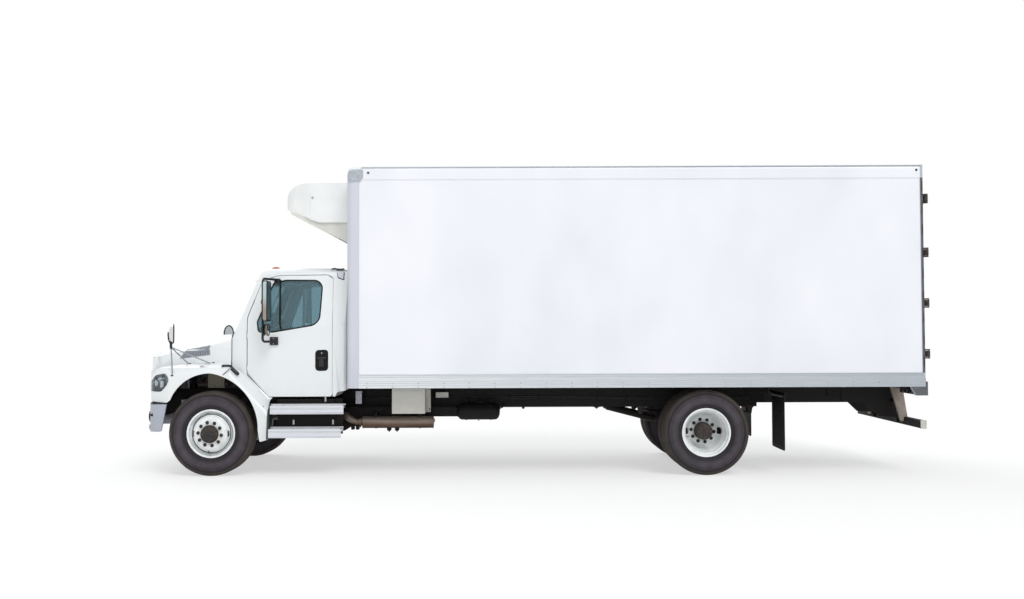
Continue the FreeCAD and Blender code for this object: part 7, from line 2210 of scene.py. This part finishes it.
class TruckFinish(bpy.types.PropertyGroup):
    """Colours of the truck."""
    cab_colour: bpy.props.StringProperty(
        name="Cab colour", description="sRGB hex value of the cab and hood enamel", default="#E8ECED")
    panel_colour: bpy.props.StringProperty(
        name="Body colour", description="sRGB hex value of the van body's sheets", default="#F0F1F6")


class TruckStudio(bpy.types.PropertyGroup):
    """Floor, lights and camera."""
    floor_size: bpy.props.FloatProperty(
        name="Floor size", description="Side of the square floor", default=400.0, min=20.0, unit="LENGTH")
    dome_level: bpy.props.FloatProperty(
        name="Dome level", description="Strength of the light from all round", default=0.655, min=0.0)
    lamp_level: bpy.props.FloatProperty(
        name="Lamp level", description="Strength of the main soft lamp", default=1.25, min=0.0)
    camera_place: bpy.props.FloatVectorProperty(
        name="Camera place", description="Where the camera stands", default=(0.185, 13.973, 1.7745),
        subtype="TRANSLATION", unit="LENGTH")
    camera_pitch: bpy.props.FloatProperty(
        name="Camera pitch", description="How far the camera looks up", default=radians(1.744),
        unit="ROTATION")
    camera_yaw: bpy.props.FloatProperty(
        name="Camera yaw", description="How far the camera turns from square on", default=radians(0.045),
        unit="ROTATION")
    camera_roll: bpy.props.FloatProperty(
        name="Camera roll", description="How far the camera leans", default=radians(-0.197), unit="ROTATION")
    camera_lens: bpy.props.FloatProperty(
        name="Camera lens", description="Focal length on a 36 mm sensor", default=36.46, unit="CAMERA")


class BOXTRUCK_OT_Finishes(bpy.types.Operator):
    """Makes every material of the truck"""
    bl_idname = "boxtruck.finishes"
    bl_label = "Finishes"
    bl_options = {"REGISTER", "UNDO"}

    def execute(self, context):
        FINISHES.update(make_finishes(context.scene.truck_finish))
        return {"FINISHED"}


class BOXTRUCK_OT_Wheels(bpy.types.Operator):
    """Builds tyres, rims, hubs and nuts of the six wheels"""
    bl_idname = "boxtruck.wheels"
    bl_label = "Wheels"
    bl_options = {"REGISTER", "UNDO"}

    def execute(self, context):
        for side, sign in SIDES:
            wheels(side, sign)
        return {"FINISHED"}


class BOXTRUCK_OT_RunningGear(bpy.types.Operator):
    """Builds the frame, springs, axles, driveshaft, engine and gearbox"""
    bl_idname = "boxtruck.running_gear"
    bl_label = "Frame and running gear"
    bl_options = {"REGISTER", "UNDO"}

    def execute(self, context):
        chassis_frame()
        springs()
        front_axle()
        rear_axle()
        driveshaft()
        power_unit()
        return {"FINISHED"}


class BOXTRUCK_OT_Exhaust(bpy.types.Operator):
    """Builds the muffler and its pipes"""
    bl_idname = "boxtruck.exhaust"
    bl_label = "Exhaust"
    bl_options = {"REGISTER", "UNDO"}

    def execute(self, context):
        exhaust()
        return {"FINISHED"}


class BOXTRUCK_OT_FrameBoxes(bpy.types.Operator):
    """Builds the tanks, battery box and equipment box on the frame"""
    bl_idname = "boxtruck.frame_boxes"
    bl_label = "Tanks and boxes"
    bl_options = {"REGISTER", "UNDO"}

    def execute(self, context):
        equipment_box()
        tanks()
        side_boxes()
        return {"FINISHED"}


class BOXTRUCK_OT_Steps(bpy.types.Operator):
    """Builds the two steps under each door"""
    bl_idname = "boxtruck.steps"
    bl_label = "Cab steps"
    bl_options = {"REGISTER", "UNDO"}

    def execute(self, context):
        steps()
        return {"FINISHED"}


class BOXTRUCK_OT_RearFittings(bpy.types.Operator):
    """Builds the mudflaps and the underride guard"""
    bl_idname = "boxtruck.rear_fittings"
    bl_label = "Mudflaps and guard"
    bl_options = {"REGISTER", "UNDO"}

    def execute(self, context):
        mudflaps()
        guard()
        return {"FINISHED"}


class BOXTRUCK_OT_VanBody(bpy.types.Operator):
    """Builds the floor, walls, roof, rails and posts of the van"""
    bl_idname = "boxtruck.van_body"
    bl_label = "Van body"
    bl_options = {"REGISTER", "UNDO"}

    def execute(self, context):
        van_floor()
        van_walls()
        van_roof()
        van_rails()
        corner_posts()
        return {"FINISHED"}


class BOXTRUCK_OT_VanRear(bpy.types.Operator):
    """Builds the rear portal and both cargo doors"""
    bl_idname = "boxtruck.van_rear"
    bl_label = "Van rear"
    bl_options = {"REGISTER", "UNDO"}

    def execute(self, context):
        rear_portal()
        cargo_doors()
        return {"FINISHED"}


class BOXTRUCK_OT_Refrigeration(bpy.types.Operator):
    """Builds the unit on the front wall"""
    bl_idname = "boxtruck.refrigeration"
    bl_label = "Refrigeration unit"
    bl_options = {"REGISTER", "UNDO"}

    def execute(self, context):
        refrigeration()
        return {"FINISHED"}


class BOXTRUCK_OT_Cab(bpy.types.Operator):
    """Builds the cab shell, screens and seals"""
    bl_idname = "boxtruck.cab"
    bl_label = "Cab"
    bl_options = {"REGISTER", "UNDO"}

    def execute(self, context):
        cab()
        return {"FINISHED"}


class BOXTRUCK_OT_Doors(bpy.types.Operator):
    """Builds both cab doors with their glass and mirrors"""
    bl_idname = "boxtruck.doors"
    bl_label = "Cab doors"
    bl_options = {"REGISTER", "UNDO"}

    def execute(self, context):
        doors()
        return {"FINISHED"}


class BOXTRUCK_OT_Interior(bpy.types.Operator):
    """Builds the dashboard, wheel, seats and their bases"""
    bl_idname = "boxtruck.interior"
    bl_label = "Cab interior"
    bl_options = {"REGISTER", "UNDO"}

    def execute(self, context):
        cab_inside()
        seats()
        return {"FINISHED"}


class BOXTRUCK_OT_Hood(bpy.types.Operator):
    """Builds the hood with fenders, grille, lamps and mirrors"""
    bl_idname = "boxtruck.hood"
    bl_label = "Hood and nose"
    bl_options = {"REGISTER", "UNDO"}

    def execute(self, context):
        hood()
        grille()
        headlights()
        hood_mirrors()
        return {"FINISHED"}


class BOXTRUCK_OT_Bumper(bpy.types.Operator):
    """Builds the front bumper"""
    bl_idname = "boxtruck.bumper"
    bl_label = "Front bumper"
    bl_options = {"REGISTER", "UNDO"}

    def execute(self, context):
        bumper()
        return {"FINISHED"}


class BOXTRUCK_OT_Studio(bpy.types.Operator):
    """Sets the floor, the light and the camera"""
    bl_idname = "boxtruck.studio"
    bl_label = "Studio"
    bl_options = {"REGISTER", "UNDO"}

    def execute(self, context):
        studio = context.scene.truck_studio
        make_floor(studio.floor_size)
        make_world(studio.dome_level)
        make_lamp("Main lamp", (-0.35, 0.75, 0.90), studio.lamp_level, radians(30))
        make_lamp("Fill lamp", (0.55, -0.70, 0.80), studio.lamp_level * 0.6, radians(40))
        make_camera(studio.camera_place, studio.camera_pitch, studio.camera_yaw, studio.camera_roll,
                    studio.camera_lens)
        context.scene.view_settings.view_transform = "Standard"
        return {"FINISHED"}


PIECES = (
    BOXTRUCK_OT_Finishes,
    BOXTRUCK_OT_Wheels,
    BOXTRUCK_OT_RunningGear,
    BOXTRUCK_OT_Exhaust,
    BOXTRUCK_OT_FrameBoxes,
    BOXTRUCK_OT_Steps,
    BOXTRUCK_OT_RearFittings,
    BOXTRUCK_OT_VanBody,
    BOXTRUCK_OT_VanRear,
    BOXTRUCK_OT_Refrigeration,
    BOXTRUCK_OT_Cab,
    BOXTRUCK_OT_Doors,
    BOXTRUCK_OT_Interior,
    BOXTRUCK_OT_Hood,
    BOXTRUCK_OT_Bumper,
    BOXTRUCK_OT_Studio,
)


class BOXTRUCK_PT_Panel(bpy.types.Panel):
    """Lists every group of pieces"""
    bl_idname = "BOXTRUCK_PT_panel"
    bl_label = "Box Truck"
    bl_space_type = "VIEW_3D"
    bl_region_type = "UI"
    bl_category = "Box Truck"

    def draw(self, context):
        for settings in (context.scene.truck_finish, context.scene.truck_studio):
            column = self.layout.column()
            for name in settings.bl_rna.properties.keys():
                if name not in ("rna_type", "name"):
                    column.prop(settings, name)
        for piece in PIECES:
            self.layout.operator(piece.bl_idname)


CLASSES = (TruckFinish, TruckStudio, *PIECES, BOXTRUCK_PT_Panel)


def register():
    for item in CLASSES:
        bpy.utils.register_class(item)
    bpy.types.Scene.truck_finish = bpy.props.PointerProperty(type=TruckFinish)
    bpy.types.Scene.truck_studio = bpy.props.PointerProperty(type=TruckStudio)


def unregister():
    del bpy.types.Scene.truck_studio
    del bpy.types.Scene.truck_finish
    for item in reversed(CLASSES):
        bpy.utils.unregister_class(item)


def main():
    """Builds everything in order."""
    register()
    bpy.ops.boxtruck.finishes()
    bpy.ops.boxtruck.wheels()
    bpy.ops.boxtruck.running_gear()
    bpy.ops.boxtruck.exhaust()
    bpy.ops.boxtruck.frame_boxes()
    bpy.ops.boxtruck.steps()
    bpy.ops.boxtruck.rear_fittings()
    bpy.ops.boxtruck.van_body()
    bpy.ops.boxtruck.van_rear()
    bpy.ops.boxtruck.refrigeration()
    bpy.ops.boxtruck.cab()
    bpy.ops.boxtruck.doors()
    bpy.ops.boxtruck.interior()
    bpy.ops.boxtruck.hood()
    bpy.ops.boxtruck.bumper()
    bpy.ops.boxtruck.studio()


if __name__ == "__main__":
    main()
